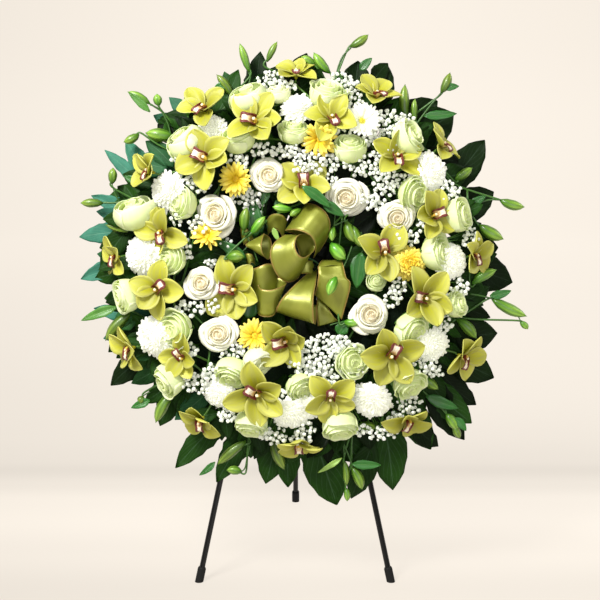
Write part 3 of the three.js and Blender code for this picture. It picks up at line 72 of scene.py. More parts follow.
class Acc:
    """collects grids and solids with two float attributes and a tint per vertex, then becomes one object"""

    def __init__(self):
        self.v, self.f, self.a, self.n = [], [], [], 0

    def add(self, verts, faces, attr):
        verts = np.asarray(verts, float).reshape(-1, 3)
        attr = np.broadcast_to(np.asarray(attr, float), (len(verts), 4)) if np.ndim(attr) == 1 else np.asarray(attr, float).reshape(-1, 4)
        self.v.append(verts)
        self.f.append((np.asarray(faces, int) + self.n))
        self.a.append(attr)
        self.n += len(verts)

    def shell(self, P, thick, attr, closed_u=False):
        """P is (nv, nu, 3): a sheet made into a closed shell of that thickness; attr is (nv, nu, 4)"""
        nv, nu = P.shape[:2]
        du = np.gradient(P, axis=1)
        dv = np.gradient(P, axis=0)
        n = np.cross(du, dv)
        L = np.linalg.norm(n, axis=2, keepdims=True)
        n = n / np.maximum(L, 1e-12)
        t = np.full((nv, nu, 1), thick / 2)
        top, bot = P + n * t, P - n * t
        idx = np.arange(nv * nu).reshape(nv, nu)
        a, b, c, d = idx[:-1, :-1], idx[:-1, 1:], idx[1:, 1:], idx[1:, :-1]
        q = np.stack([a, b, c, d], -1).reshape(-1, 4)
        off = nv * nu
        q2 = np.stack([a, d, c, b], -1).reshape(-1, 4) + off
        rim = np.concatenate([idx[0, :], idx[1:, -1], idx[-1, -2::-1], idx[-2:0:-1, 0]])
        r2 = np.roll(rim, -1)
        q3 = np.stack([rim, rim + off, r2 + off, r2], -1)
        self.add(np.concatenate([top.reshape(-1, 3), bot.reshape(-1, 3)]), np.concatenate([q, q2, q3]), np.concatenate([attr.reshape(-1, 4)] * 2))

    def sheet(self, P, attr):
        nv, nu = P.shape[:2]
        idx = np.arange(nv * nu).reshape(nv, nu)
        q = np.stack([idx[:-1, :-1], idx[:-1, 1:], idx[1:, 1:], idx[1:, :-1]], -1).reshape(-1, 4)
        self.add(P, q, attr)

    def lathe(self, prof, n, attr, M=None, fn=None):
        """closed solid round Z from (r, z) pairs; the first and last radius may be 0"""
        prof = np.asarray(prof, float)
        th = np.linspace(0, 2 * math.pi, n, endpoint=False)
        P = np.stack([prof[:, 0:1] * np.cos(th), prof[:, 0:1] * np.sin(th), np.repeat(prof[:, 1:2], n, 1)], -1)
        if fn is not None:
            P = fn(P, th)
        self.ring(P, attr, M)

    def ring(self, P, attr, M=None):
        """P is (m, n, 3): rings joined into a closed body, the ends capped"""
        m, n = P.shape[:2]
        idx = np.arange(m * n).reshape(m, n)
        nx = np.roll(idx, -1, 1)
        q = np.stack([idx[:-1], nx[:-1], nx[1:], idx[1:]], -1).reshape(-1, 4)
        v = P.reshape(-1, 3)
        c0, c1 = v[:n].mean(0), v[-n:].mean(0)
        v = np.concatenate([v, [c0, c1]])
        t0 = np.stack([nx[0], idx[0], np.full(n, m * n), np.full(n, m * n)], -1)
        t1 = np.stack([idx[-1], nx[-1], np.full(n, m * n + 1), np.full(n, m * n + 1)], -1)
        if M is not None:
            v = v @ M[:3, :3].T + M[:3, 3]
        A = np.asarray(attr, float)
        if A.ndim == 2 and len(A) == m:  # per ring
            A = np.concatenate([np.repeat(A, n, 0), A[:1], A[-1:]])
        elif A.ndim == 1:
            A = np.broadcast_to(A, (len(v), 4))
        self.add(v, np.concatenate([q, t0, t1]), A)

    def tube(self, pts, rad, n, attr, flat=1.0):
        """round rod through points (m, 3) with radius rad (scalar or per point)"""
        pts = np.asarray(pts, float)
        m = len(pts)
        rad = np.broadcast_to(np.asarray(rad, float), (m,))
        t = np.gradient(pts, axis=0)
        t /= np.maximum(np.linalg.norm(t, axis=1, keepdims=True), 1e-12)
        u = np.cross(t[0], [0, 0, 1.0])
        if np.linalg.norm(u) < 1e-3:
            u = np.array([1.0, 0, 0])
        u /= np.linalg.norm(u)
        th = np.linspace(0, 2 * math.pi, n, endpoint=False)
        R = []
        for i in range(m):
            u = u - t[i] * np.dot(u, t[i])
            u /= max(np.linalg.norm(u), 1e-12)
            w = np.cross(t[i], u)
            R.append(pts[i] + rad[i] * (np.cos(th)[:, None] * u + flat * np.sin(th)[:, None] * w))
        self.ring(np.array(R), attr)

    def merge(self, other, M):
        """adds another Acc's geometry moved by the 4x4 M, keeping its attributes"""
        for v, f, a in zip(other.v, other.f, other.a):
            self.v.append(v @ M[:3, :3].T + M[:3, 3])
            self.f.append(f + self.n)
            self.a.append(a)
        self.n += other.n

    def tris(self):
        return sum(int((f[:, 2] != f[:, 3]).sum()) * 2 + int((f[:, 2] == f[:, 3]).sum()) for f in self.f)

    def object(self, name, mats, smooth=True, mm=True):
        v = np.concatenate(self.v)
        a = np.concatenate(self.a)
        f = np.concatenate([np.pad(x, ((0, 0), (0, 4 - x.shape[1])), mode="edge") for x in self.f])
        if mm:
            v = world(v)
        tri = f[:, 2] == f[:, 3]
        sizes = np.where(tri, 3, 4)
        loops = f[~tri].reshape(-1), f[tri][:, :3].reshape(-1)
        order = np.concatenate([loops[0], loops[1]])
        tot = np.concatenate([np.full((~tri).sum(), 4), np.full(tri.sum(), 3)])
        me = bpy.data.meshes.new(name)
        me.vertices.add(len(v))
        me.vertices.foreach_set("co", v.astype(np.float32).ravel())
        me.loops.add(len(order))
        me.loops.foreach_set("vertex_index", order.astype(np.int32))
        me.polygons.add(len(tot))
        me.polygons.foreach_set("loop_start", np.concatenate([[0], np.cumsum(tot)[:-1]]).astype(np.int32))
        me.polygons.foreach_set("loop_total", tot.astype(np.int32))
        me.update(calc_edges=True)
        me.validate()
        me.polygons.foreach_set("use_smooth", np.full(len(me.polygons), smooth))
        col = me.color_attributes.new("pet", "FLOAT_COLOR", "POINT")
        if len(me.vertices) == len(a):
            col.data.foreach_set("color", a.astype(np.float32).ravel())
        ob = bpy.data.objects.new(name, me)
        bpy.context.scene.collection.objects.link(ob)
        for m in mats if isinstance(mats, (list, tuple)) else [mats]:
            me.materials.append(m)
        return ob


def catmull(pts, n):
    """n points along a smooth curve through pts"""
    pts = np.asarray(pts, float)
    P = np.concatenate([[2 * pts[0] - pts[1]], pts, [2 * pts[-1] - pts[-2]]])
    s = np.linspace(0, len(pts) - 1, n)
    i = np.minimum(s.astype(int), len(pts) - 2)
    t = (s - i)[:, None]
    p0, p1, p2, p3 = P[i], P[i + 1], P[i + 2], P[i + 3]
    return 0.5 * (2 * p1 + (p2 - p0) * t + (2 * p0 - 5 * p1 + 4 * p2 - p3) * t ** 2 + (3 * p1 - p0 - 3 * p2 + p3) * t ** 3)


def facing(at, az, inc, roll=0.0):
    """4x4 in leaning-plane mm: local Z looks along (azimuth, inclination from the plane's normal); local Y is as near plane-up turned by roll as it can be"""
    a, i = math.radians(az), math.radians(inc)
    z = np.array([math.sin(i) * math.cos(a), math.sin(i) * math.sin(a), math.cos(i)])
    r = math.radians(roll)
    up = np.array([math.cos(r), math.sin(r), 0.0])
    y = up - z * np.dot(up, z)
    if np.linalg.norm(y) < 1e-3:
        y = np.array([0, 0, 1.0]) - z * z[2]
    y /= np.linalg.norm(y)
    x = np.cross(y, z)
    M = np.eye(4)
    M[:3, 0], M[:3, 1], M[:3, 2], M[:3, 3] = x, y, z, at
    return M


# ---------------------------------------------------------------- flower generators, in mm, local Z is the way the flower faces
def bez(P0, P1, P2, P3, t):
    t = t[..., None]
    return (1 - t) ** 3 * P0 + 3 * (1 - t) ** 2 * t * P1 + 3 * (1 - t) * t ** 2 * P2 + t ** 3 * P3


def lerp(a, b, t):
    return np.asarray(a, float) * (1 - t) + np.asarray(b, float) * t


def rose(R, seed, frill=0.1, n=20, cup=0.0, nu=11, nv=8, closed=0.0):
    """a rose or lisianthus: a tight spiral heart in broad outer petals; cup 0 opens flat with reflexed rims, 1 is a goblet of upright petals"""
    g = rng(seed)
    acc = Acc()
    u = np.linspace(-1, 1, nu)
    v = np.linspace(0, 1, nv) ** 0.72
    V, U = np.meshgrid(v, u, indexing="ij")
    start = g.uniform(0, 6.28)
    sq = 1 + g.normal(0, 0.03)
    top = R * (0.28 + 0.20 * cup)
    for i in range(n):
        t = i / (n - 1)
        o = min(max((t - 0.20) / 0.42, 0), 1)
        o = o * o * (3 - 2 * o)
        phi = start + i * 2.39996 + g.normal(0, 0.13)
        rt = R * lerp(0.06 + 0.10 * cup, 1.0 - 0.13 * cup - 0.20 * closed, t ** (0.92 - 0.30 * cup)) * (1 + g.normal(0, 0.035))
        zt = top - R * (0.52 - 0.36 * cup - 0.14 * closed) * t ** 1.9 + R * g.normal(0, 0.02 + 0.02 * cup)
        p1 = np.array([rt * 0.9, -0.5 * R]) * (1 - o) + o * (np.array([0.76 * rt, -0.70 * R]) * (1 - cup) + np.array([1.00 * R, -0.88 * R]) * cup)
        p2 = np.array([rt * 1.16, zt - 0.20 * R]) * (1 - o) + o * (np.array([0.62 * rt, zt + 0.13 * R]) * (1 - cup) + np.array([(1.08 * rt) * (1 - closed) + 1.24 * R * closed, zt - (0.40 - 0.02 * closed) * R]) * cup)
        hw = math.radians(lerp(112, 64 + 12 * cup, t ** 0.6)) * (1 + g.normal(0, 0.07))
        ve = V * (1 - (0.06 + 0.13 * o) * np.abs(U) ** 2.4)
        ve = ve * (1 + 0.035 * o * np.exp(-(U / 0.17) ** 2) * V ** 6 * g.uniform(-1.0, 1.2))
        q = bez(np.array([0.04 * R, -0.78 * R]), p1, p2, np.array([rt, zt]), ve)
        r, z = q[..., 0], q[..., 1]
        roll = np.clip((ve - 0.80) / 0.20, 0, 1) ** 1.6 * (0.25 + 0.75 * o) * (1 + closed * g.uniform(-0.5, 0.9))
        r = r + R * roll * (0.03 + 0.09 * cup)
        z = z - R * roll * (0.075 - 0.01 * cup) * (1 + 0.4 * U ** 2)
        corner = np.abs(U) ** 3 * V ** 3 * o
        r = r + R * 0.02 * corner
        z = z - R * 0.07 * corner * (1 - 0.2 * cup)
        r = r * (1 + lerp(0.15, 0.045, t) * U * V)
        k1, k2, q1, q2, q3 = g.uniform(1.5, 2.6), g.uniform(4.5, 6.5), g.uniform(0, 6.3), g.uniform(0, 6.3), g.uniform(0, 6.3)
        wave = (np.sin(k1 * U + q1) + 0.75 * np.sin(k2 * U + q2) + 0.55 * frill * np.sin(11 * U + q3)) * V ** (3.8 - 1.2 * frill)
        amp = R * (0.012 + 0.062 * frill) * (0.45 + 0.55 * t)
        z = z + amp * wave * 0.9
        r = r + amp * wave * 0.9
        r = r + R * 0.018 * (0.3 + t) * np.sin(U * g.uniform(2.5, 4.5) + g.uniform(0, 6)) * np.sin(math.pi * V)
        w = hw * (0.50 + 0.50 * np.sin(0.5 * math.pi * np.minimum(1, V * 1.2)) ** 0.8)
        th = phi + U * w
        P = np.stack([r * np.cos(th) * sq, r * np.sin(th) / sq, z], -1)
        A = np.stack([V, np.abs(U), np.full_like(V, g.uniform(0, 1)), np.full_like(V, t)], -1)
        acc.shell(P, 0.55 + 0.25 * (1 - t), A)
    # the petals folded up inside
    if cup < 0.4:
        core = [(0, top - 0.17 * R), (0.10 * R, top - 0.18 * R), (0.26 * R, top - 0.26 * R), (0.44 * R, -0.14 * R), (0.44 * R, -0.5 * R), (0, -0.62 * R)]
    else:
        core = [(0, top - 0.13 * R), (0.18 * R, top - 0.14 * R), (0.42 * R, top - 0.24 * R), (0.60 * R, top - 0.44 * R), (0.60 * R, -0.45 * R), (0, -0.7 * R)]
    acc.lathe(core, 14, [0.75, 0.0, 0.5, 0.12], fn=lambda P, th: P * (1 + 0.05 * np.sin(3 * th + start))[None, :, None])
    acc2 = Acc()
    acc2.lathe([(0, -0.98 * R), (0.10 * R, -0.96 * R), (0.16 * R, -0.86 * R), (0.14 * R, -0.72 * R), (0, -0.66 * R)], 8, [0.2, 0.2, 0.5, 0.5])
    for k in range(5):
        a = k * 1.2566 + start
        vv, uu = np.meshgrid(np.linspace(0, 1, 5), np.linspace(-1, 1, 3), indexing="ij")
        rr = R * (0.10 + 0.66 * np.sin(vv * 1.35))
        zz = R * (-0.86 + 0.32 * vv ** 1.6)
        ww = R * 0.12 * np.sin(math.pi * (0.12 + 0.86 * vv)) * uu
        P = np.stack([rr * math.cos(a) - ww * math.sin(a), rr * math.sin(a) + ww * math.cos(a), zz], -1)
        acc2.shell(P, 0.5, np.stack([vv, abs(uu), vv * 0 + 0.5, vv * 0 + 0.5], -1))
    return acc, acc2


TEPAL_V = np.array([0, 0.10, 0.24, 0.40, 0.55, 0.70, 0.83, 0.92, 0.975, 1.0])
TEPAL_W = np.array([0.20, 0.44, 0.76, 0.96, 1.0, 0.92, 0.72, 0.47, 0.24, 0.04])


def tepal(L, hw, seed, cupz, reflex, twist, nu=9, wave=0.02, point=0.0):
    """one broad cymbidium tepal from the origin along +Y; Z is its front"""
    g = rng(seed)
    V, U = np.meshgrid(TEPAL_V, np.linspace(-1, 1, nu), indexing="ij")
    w = hw * (TEPAL_W - point * 0.22 * np.clip((TEPAL_V - 0.6) / 0.4, 0, 1) * (1 - TEPAL_V))[:, None] * np.ones_like(U)
    y = L * (0.04 + 0.96 * V)
    z = L * (cupz * np.sin(math.pi * np.minimum(V * 0.80 + 0.02, 1)) - reflex * np.clip(V - 0.45, 0, 1) ** 2 * 2.2)
    x = U * w
    z = z + w * (0.55 * U ** 2 * (1 - 0.35 * V)) - 0.07 * w * np.exp(-(U / 0.13) ** 2) * (1 - V)
    z = z + L * wave * np.sin(V * g.uniform(4, 7) + g.uniform(0, 6)) * U * np.abs(U) * 1.6
    z = z + L * 0.012 * np.sin(U * 8 + g.uniform(0, 6)) * V
    y = y - 0.06 * w * U ** 2
    x = x + L * 0.07 * g.normal() * V ** 2
    tw = twist * V
    xx = x * np.cos(tw)
    zz = z + x * np.sin(tw)
    A = np.stack([V, np.abs(U), np.full_like(V, g.uniform(0, 1)), np.full_like(V, 0.5)], -1)
    return np.stack([xx, y, zz], -1), A


def cymbidium(L, seed, open_=1.0, lip=True):
    """tepals, lip and column as three collections; local Y is the dorsal side"""
    g = rng(seed)
    tp, lp, cl = Acc(), Acc(), Acc()
    #            angle from dorsal, length, half-width, forward cup, reflex, lean towards the viewer
    spec = [(0, 1.00, 0.37, 0.06, -0.14, 0.36), (61, 1.00, 0.36, 0.08, -0.02, 0.30), (-61, 1.00, 0.36, 0.08, -0.02, 0.30),
            (130, 1.02, 0.39, 0.08, 0.02, 0.16), (-130, 1.02, 0.39, 0.08, 0.02, 0.16)]
    for k, (a, l, h, c, rf, lean) in enumerate(spec):
        P, A = tepal(L * l * (1 + g.normal(0, 0.04)), L * h * (1 + g.normal(0, 0.06)), seed * 7 + k, c * g.uniform(0.5, 1.5), rf + g.normal(0, 0.10), g.normal(0, 0.26))
        e = lean + (1 - open_) * 1.0 + g.normal(0, 0.14)
        y, z = P[..., 1] * math.cos(e) - P[..., 2] * math.sin(e), P[..., 1] * math.sin(e) + P[..., 2] * math.cos(e)
        P = np.stack([P[..., 0], y, z], -1)
        t = math.radians(a + g.normal(0, 6))
        x, y = P[..., 0] * math.cos(t) - P[..., 1] * math.sin(t), P[..., 0] * math.sin(t) + P[..., 1] * math.cos(t)
        z = P[..., 2] + (0.02 * L if k in (1, 2) else -0.02 * L)
        tp.shell(np.stack([x, y, z], -1), 0.9, A)
    tp.lathe([(0, -0.16 * L), (0.05 * L, -0.13 * L), (0.075 * L, -0.04 * L), (0.05 * L, 0.03 * L), (0, 0.05 * L)], 8, [0.1, 0.2, 0.5, 0.5])
    if lip:
        L = L * 0.90
        nv, nu = 13, 13
        V, U = np.meshgrid(np.linspace(0, 1, nv), np.linspace(-1, 1, nu), indexing="ij")
        c = catmull([(-0.02, 0.00), (-0.10, 0.16), (-0.16, 0.30), (-0.27, 0.39), (-0.39, 0.36), (-0.46, 0.27)], nv) * L
        rad = np.interp(V, [0, 0.12, 0.28, 0.42, 0.55, 0.75, 1], [0.09, 0.15, 0.185, 0.175, 0.17, 0.22, 0.12]) * L
        ang = np.interp(V, [0, 0.12, 0.28, 0.40, 0.52, 0.75, 1], [90, 110, 112, 84, 40, 28, 30]) * math.pi / 180
        wid = np.interp(V, [0, 0.2, 0.42, 0.52, 0.64, 0.76, 0.87, 0.95, 1], [0.10, 0.19, 0.20, 0.18, 0.205, 0.205, 0.165, 0.105, 0.03]) * L
        sx = np.where(ang > 0.9, rad * np.sin(U * ang), wid * U)
        blend = np.clip((ang - 0.7) / 0.7, 0, 1)
        sx = blend * rad * np.sin(U * ang) + (1 - blend) * wid * U
        lift = blend * rad * (1 - np.cos(U * ang)) * 0.92 + (1 - blend) * (wid * 0.18 * U ** 2)
        tang = np.gradient(c, axis=0)
        tang /= np.linalg.norm(tang, axis=1, keepdims=True)
        ny, nz = tang[:, 1][:, None], -tang[:, 0][:, None]  # normal in the YZ plane, upwards
        wavy = L * 0.022 * np.sin(V * 22 + 3 * U) * np.abs(U) ** 3 + L * 0.016 * np.sin(U * 9 + V * 4) * V ** 3
        y = c[:, 0][:, None] + ny * (lift + wavy)
        z = c[:, 1][:, None] + nz * (lift + wavy)
        A = np.stack([V, np.abs(U), np.full_like(V, g.uniform(0, 1)), (U + 1) / 2], -1)
        lp.shell(np.stack([sx, y, z], -1), 0.9, A)
        # the two yellow keels on the lip
        for s in (-1, 1):
            k = catmull([(-0.06, 0.09), (-0.115, 0.20), (-0.15, 0.30), (-0.19, 0.35)], 6) * L
            cl.tube(np.stack([np.full(6, s * 0.035 * L), k[:, 0] + 0.02 * L, k[:, 1]], -1), np.array([0.012, 0.024, 0.026, 0.024, 0.018, 0.006]) * L, 6, [0.9, 0, 0.5, 1.0])
        pts = catmull([(0.03, -0.01), (0.085, 0.10), (0.085, 0.22), (0.03, 0.31)], 7) * L
        cl.tube(np.stack([np.zeros(7), pts[:, 0], pts[:, 1]], -1), np.array([0.05, 0.055, 0.052, 0.05, 0.052, 0.058, 0.05]) * L, 9, np.stack([np.linspace(0, 0.7, 7), np.zeros(7), np.full(7, g.uniform(0, 1)), np.zeros(7)], -1))
        th = np.linspace(0, 1, 6)
        cl.lathe(np.stack([0.062 * L * np.sin(math.pi * th) ** 0.8, 0.045 * L * -np.cos(math.pi * th)], -1), 9, [1, 0, 0.5, 0.5],
                 np.array([[1, 0, 0, 0], [0, 1, 0, 0.02 * L], [0, 0, 1, 0.325 * L], [0, 0, 0, 1]]))
    return tp, lp, cl


def mum(R, seed, n=190, daisy=False, nu=3, nv=5, incurve=0.5):
    """chrysanthemum: strap florets packed in a dome; a daisy has two rows round a disc"""
    g = rng(seed)
    acc, disc = Acc(), Acc()
    V, U = np.meshgrid(np.linspace(0, 1, nv), np.linspace(-1, 1, nu), indexing="ij")
    s = V[:, 0]
    for i in range(n):
        t = (i + 0.5) / n
        phi = i * 2.39996 + g.normal(0, 0.06)
        if daisy:
            row = 0 if i < n * 0.45 else 1
            th0 = math.radians(62 + 16 * row + g.normal(0, 4))
            Lp = R * (0.86 + 0.12 * row) * (1 + g.normal(0, 0.04))
            w = R * 0.135 * (1 + g.normal(0, 0.1))
            bend, r0, z0 = math.radians(14 + g.normal(0, 8)), 0.16 * R, 0.02 * R
        else:
            th0 = math.radians(3 + 97 * t ** 0.60 + g.normal(0, 3.5))
            Lp = R * (0.48 + 0.44 * t ** 0.7) * (1 + g.normal(0, 0.06))
            w = R * lerp(0.085, 0.165, t ** 0.5) * (1 + g.normal(0, 0.10))
            bend = math.radians(lerp(-75 * incurve, 14, t ** 0.7) + g.normal(0, 7))
            r0, z0 = 0.16 * R * math.sqrt(t), -0.04 * R - 0.26 * R * t
        a = th0 - bend * 0.6 + bend * s
        dr, dz = np.sin(a), np.cos(a)
        r = r0 + Lp * np.concatenate([[0], np.cumsum((dr[1:] + dr[:-1]) / 2 * np.diff(s))])
        z = z0 + Lp * np.concatenate([[0], np.cumsum((dz[1:] + dz[:-1]) / 2 * np.diff(s))])
        wp = w * np.interp(s, [0, 0.3, 0.75, 0.92, 1], [0.5, 0.85, 1.0, 0.80, 0.34])
        chan = 0.38 * wp[:, None] * U ** 2 * (1 if not daisy else 0.4)
        nr, nz_ = -np.cos(a)[:, None], np.sin(a)[:, None]
        rr = r[:, None] + nr * chan
        zz = z[:, None] + nz_ * chan
        x = rr * math.cos(phi) - wp[:, None] * U * math.sin(phi)
        y = rr * math.sin(phi) + wp[:, None] * U * math.cos(phi)
        A = np.stack([V, np.abs(U), np.full_like(V, g.uniform(0, 1)), np.full_like(V, 1.0 if daisy else t)], -1)
        acc.shell(np.stack([x, y, zz], -1), 0.5, A)
    if not daisy:
        # the young florets packed inside
        acc.lathe([(0, 0.30 * R), (0.16 * R, 0.28 * R), (0.36 * R, 0.18 * R), (0.50 * R, 0.0), (0.50 * R, -0.18 * R), (0.30 * R, -0.38 * R), (0, -0.42 * R)], 14, [0.85, 0.0, 0.5, 0.9])
    if daisy:
        for i in range(46):
            t = (i + 0.5) / 46
            phi, r = i * 2.39996, 0.205 * R * math.sqrt(t)
            z = 0.13 * R * (1 - t * 0.8)
            q = 0.030 * R
            M = np.eye(4)
            M[:3, 3] = [r * math.cos(phi), r * math.sin(phi), z - 0.02 * R]
            disc.lathe([(0, -q), (q * 0.9, -q * 0.3), (q * 0.8, q), (0, q * 1.7)], 5, [0.8, 0, g.uniform(0, 1), t], M)
        disc.lathe([(0, -0.14 * R), (0.19 * R, -0.08 * R), (0.21 * R, 0.03 * R), (0.12 * R, 0.09 * R), (0, 0.11 * R)], 12, [0.3, 0, 0.5, 0.5])
    cal = Acc()
    cal.lathe([(0, -0.62 * R), (0.10 * R, -0.58 * R), (0.26 * R, -0.40 * R), (0.24 * R, -0.24 * R), (0, -0.16 * R)], 9, [0.3, 0.3, 0.5, 0.5])
    return acc, disc, cal


def floret(seed):
    """double gypsophila floret of radius 1: a puff of crumpled petals"""
    g = rng(seed + 40)
    acc = Acc()
    m, n = 6, 9
    el = np.linspace(0.12, math.pi - 0.12, m)
    th = np.linspace(0, 2 * math.pi, n, endpoint=False)
    lobes = 1 + 0.13 * np.sin(3 * th[None, :] + 2.1 * np.arange(m)[:, None] + g.uniform(0, 6)) + g.normal(0, 0.055, (m, n))
    r = lobes * np.array([0.86, 0.98, 1.0, 0.96, 0.82, 0.58])[:, None]
    P = np.stack([r * np.sin(el)[:, None] * np.cos(th), r * np.sin(el)[:, None] * np.sin(th), r * np.cos(el)[:, None] * np.ones(n)], -1)
    # the lower rings take the darker, greener base colour: partly the green calyx, partly painted shade on the
    # underside
    acc.ring(P[::-1], np.array([[0.15, 0, 0.5, 0.5], [0.5, 0, 0.5, 0.5], [0.85, 0, 0.5, 0.5], [1, 0, 0.5, 0.5], [1, 0, 0.5, 0.5], [1, 0, 0.5, 0.5]]))
    return acc


def bud(acc, a, b, w, seed, green=0.5, n=12, rings=9, bend=0.06, belly=0.58):
    """ribbed lily bud from a to b, w wide: six grooves, a blunt ribbed tip"""
    g = rng(seed)
    a, b = np.asarray(a, float), np.asarray(b, float)
    L = np.linalg.norm(b - a)
    s = np.linspace(0, 1, rings)
    side = np.cross(b - a, [0, 0, 1.0])
    side /= max(np.linalg.norm(side), 1e-9)
    pts = a + (b - a) * s[:, None] + side * (math.sin(g.uniform(0, 6.28)) * bend * L * np.sin(math.pi * s))[:, None]
    rad = 0.5 * w * np.interp(s, [0, 0.06, 0.25, belly, 0.82, 0.95, 1], [0.20, 0.42, 0.82, 1.0, 0.74, 0.36, 0.10])
    t = np.gradient(pts, axis=0)
    t /= np.linalg.norm(t, axis=1, keepdims=True)
    u = side - t[0] * np.dot(side, t[0])
    u /= np.linalg.norm(u)
    th = np.linspace(0, 2 * math.pi, n, endpoint=False)
    rib = 1 + 0.10 * np.cos(6 * th) if n >= 12 else 1 + 0.08 * np.cos(3 * th)
    R = []
    for i in range(rings):
        uu = u - t[i] * np.dot(u, t[i])
        uu /= np.linalg.norm(uu)
        ww = np.cross(t[i], uu)
        k = 1 + (rib - 1) * math.sin(math.pi * min(1, s[i] * 1.05)) ** 0.5
        R.append(pts[i] + rad[i] * ((np.cos(th) * k)[:, None] * uu + (np.sin(th) * k)[:, None] * ww))
    A = np.zeros((rings * n + 2, 4))
    A[:rings * n, 0] = np.repeat(s, n)
    A[:rings * n, 1] = np.tile((np.cos(6 * th) + 1) / 2, rings)
    A[-2, 0], A[-1, 0] = 0, 1
    A[:, 2], A[:, 3] = g.uniform(0, 1), green
    v = np.concatenate([np.array(R).reshape(-1, 3), [pts[0]], [pts[-1] + t[-1] * 0.04 * L]])
    idx = np.arange(rings * n).reshape(rings, n)
    nx = np.roll(idx, -1, 1)
    q = np.stack([idx[:-1], nx[:-1], nx[1:], idx[1:]], -1).reshape(-1, 4)
    m = rings * n
    acc.add(v, np.concatenate([q, np.stack([nx[0], idx[0], np.full(n, m), np.full(n, m)], -1), np.stack([idx[-1], nx[-1], np.full(n, m + 1), np.full(n, m + 1)], -1)]), A)


def blade(acc, a, b, width, normal, seed, sag=0.06, fold=0.22, teeth=0.0, nv=11, nu=7, rand=None, wide_at=0.5, tone=0.5, thick=0.5, base=0.12):
    """a leaf or lobe from a to b, width at its widest; normal is its upper side; sides rise by fold; sag bends it back"""
    g = rng(seed)
    a, b, nrm = np.asarray(a, float), np.asarray(b, float), np.asarray(normal, float)
    d = b - a
    L = np.linalg.norm(d)
    d = d / L
    nrm = nrm - d * np.dot(nrm, d)
    nrm /= np.linalg.norm(nrm)
    side = np.cross(d, nrm)
    V, U = np.meshgrid(np.linspace(0, 1, nv), np.linspace(-1, 1, nu), indexing="ij")
    p = np.interp(V, [0, wide_at * 0.5, wide_at, wide_at + (1 - wide_at) * 0.55, wide_at + (1 - wide_at) * 0.85, 1], [base, 0.78, 1, 0.72, 0.34, 0.02])
    if teeth:
        p = p * (1 + teeth * np.where(np.arange(nv)[:, None] % 2 == 0, 1, -0.7) * (np.abs(U) > 0.9) * (V > 0.25) * (V < 0.97))
    w = 0.5 * width * p
    s1, s2 = g.uniform(0, 6.28), g.normal(0, 0.04)
    along = L * V - 0.10 * w * np.abs(U)
    up = -sag * L * V ** 1.8 + fold * w * np.abs(U) ** 1.2 - 0.02 * L * np.cos(V * 7 + s1) * U ** 2 + 0.015 * width * np.sin(V * 26) * np.abs(U) * (1 - np.abs(U)) * 3
    lat = w * U + s2 * L * np.sin(V * 2.6)
    P = a + along[..., None] * d + lat[..., None] * side + up[..., None] * nrm
    A = np.stack([V, U * 0.5 + 0.5, np.full_like(V, g.uniform(0, 1) if rand is None else rand), np.full_like(V, tone)], -1)
    acc.shell(P, thick, A)


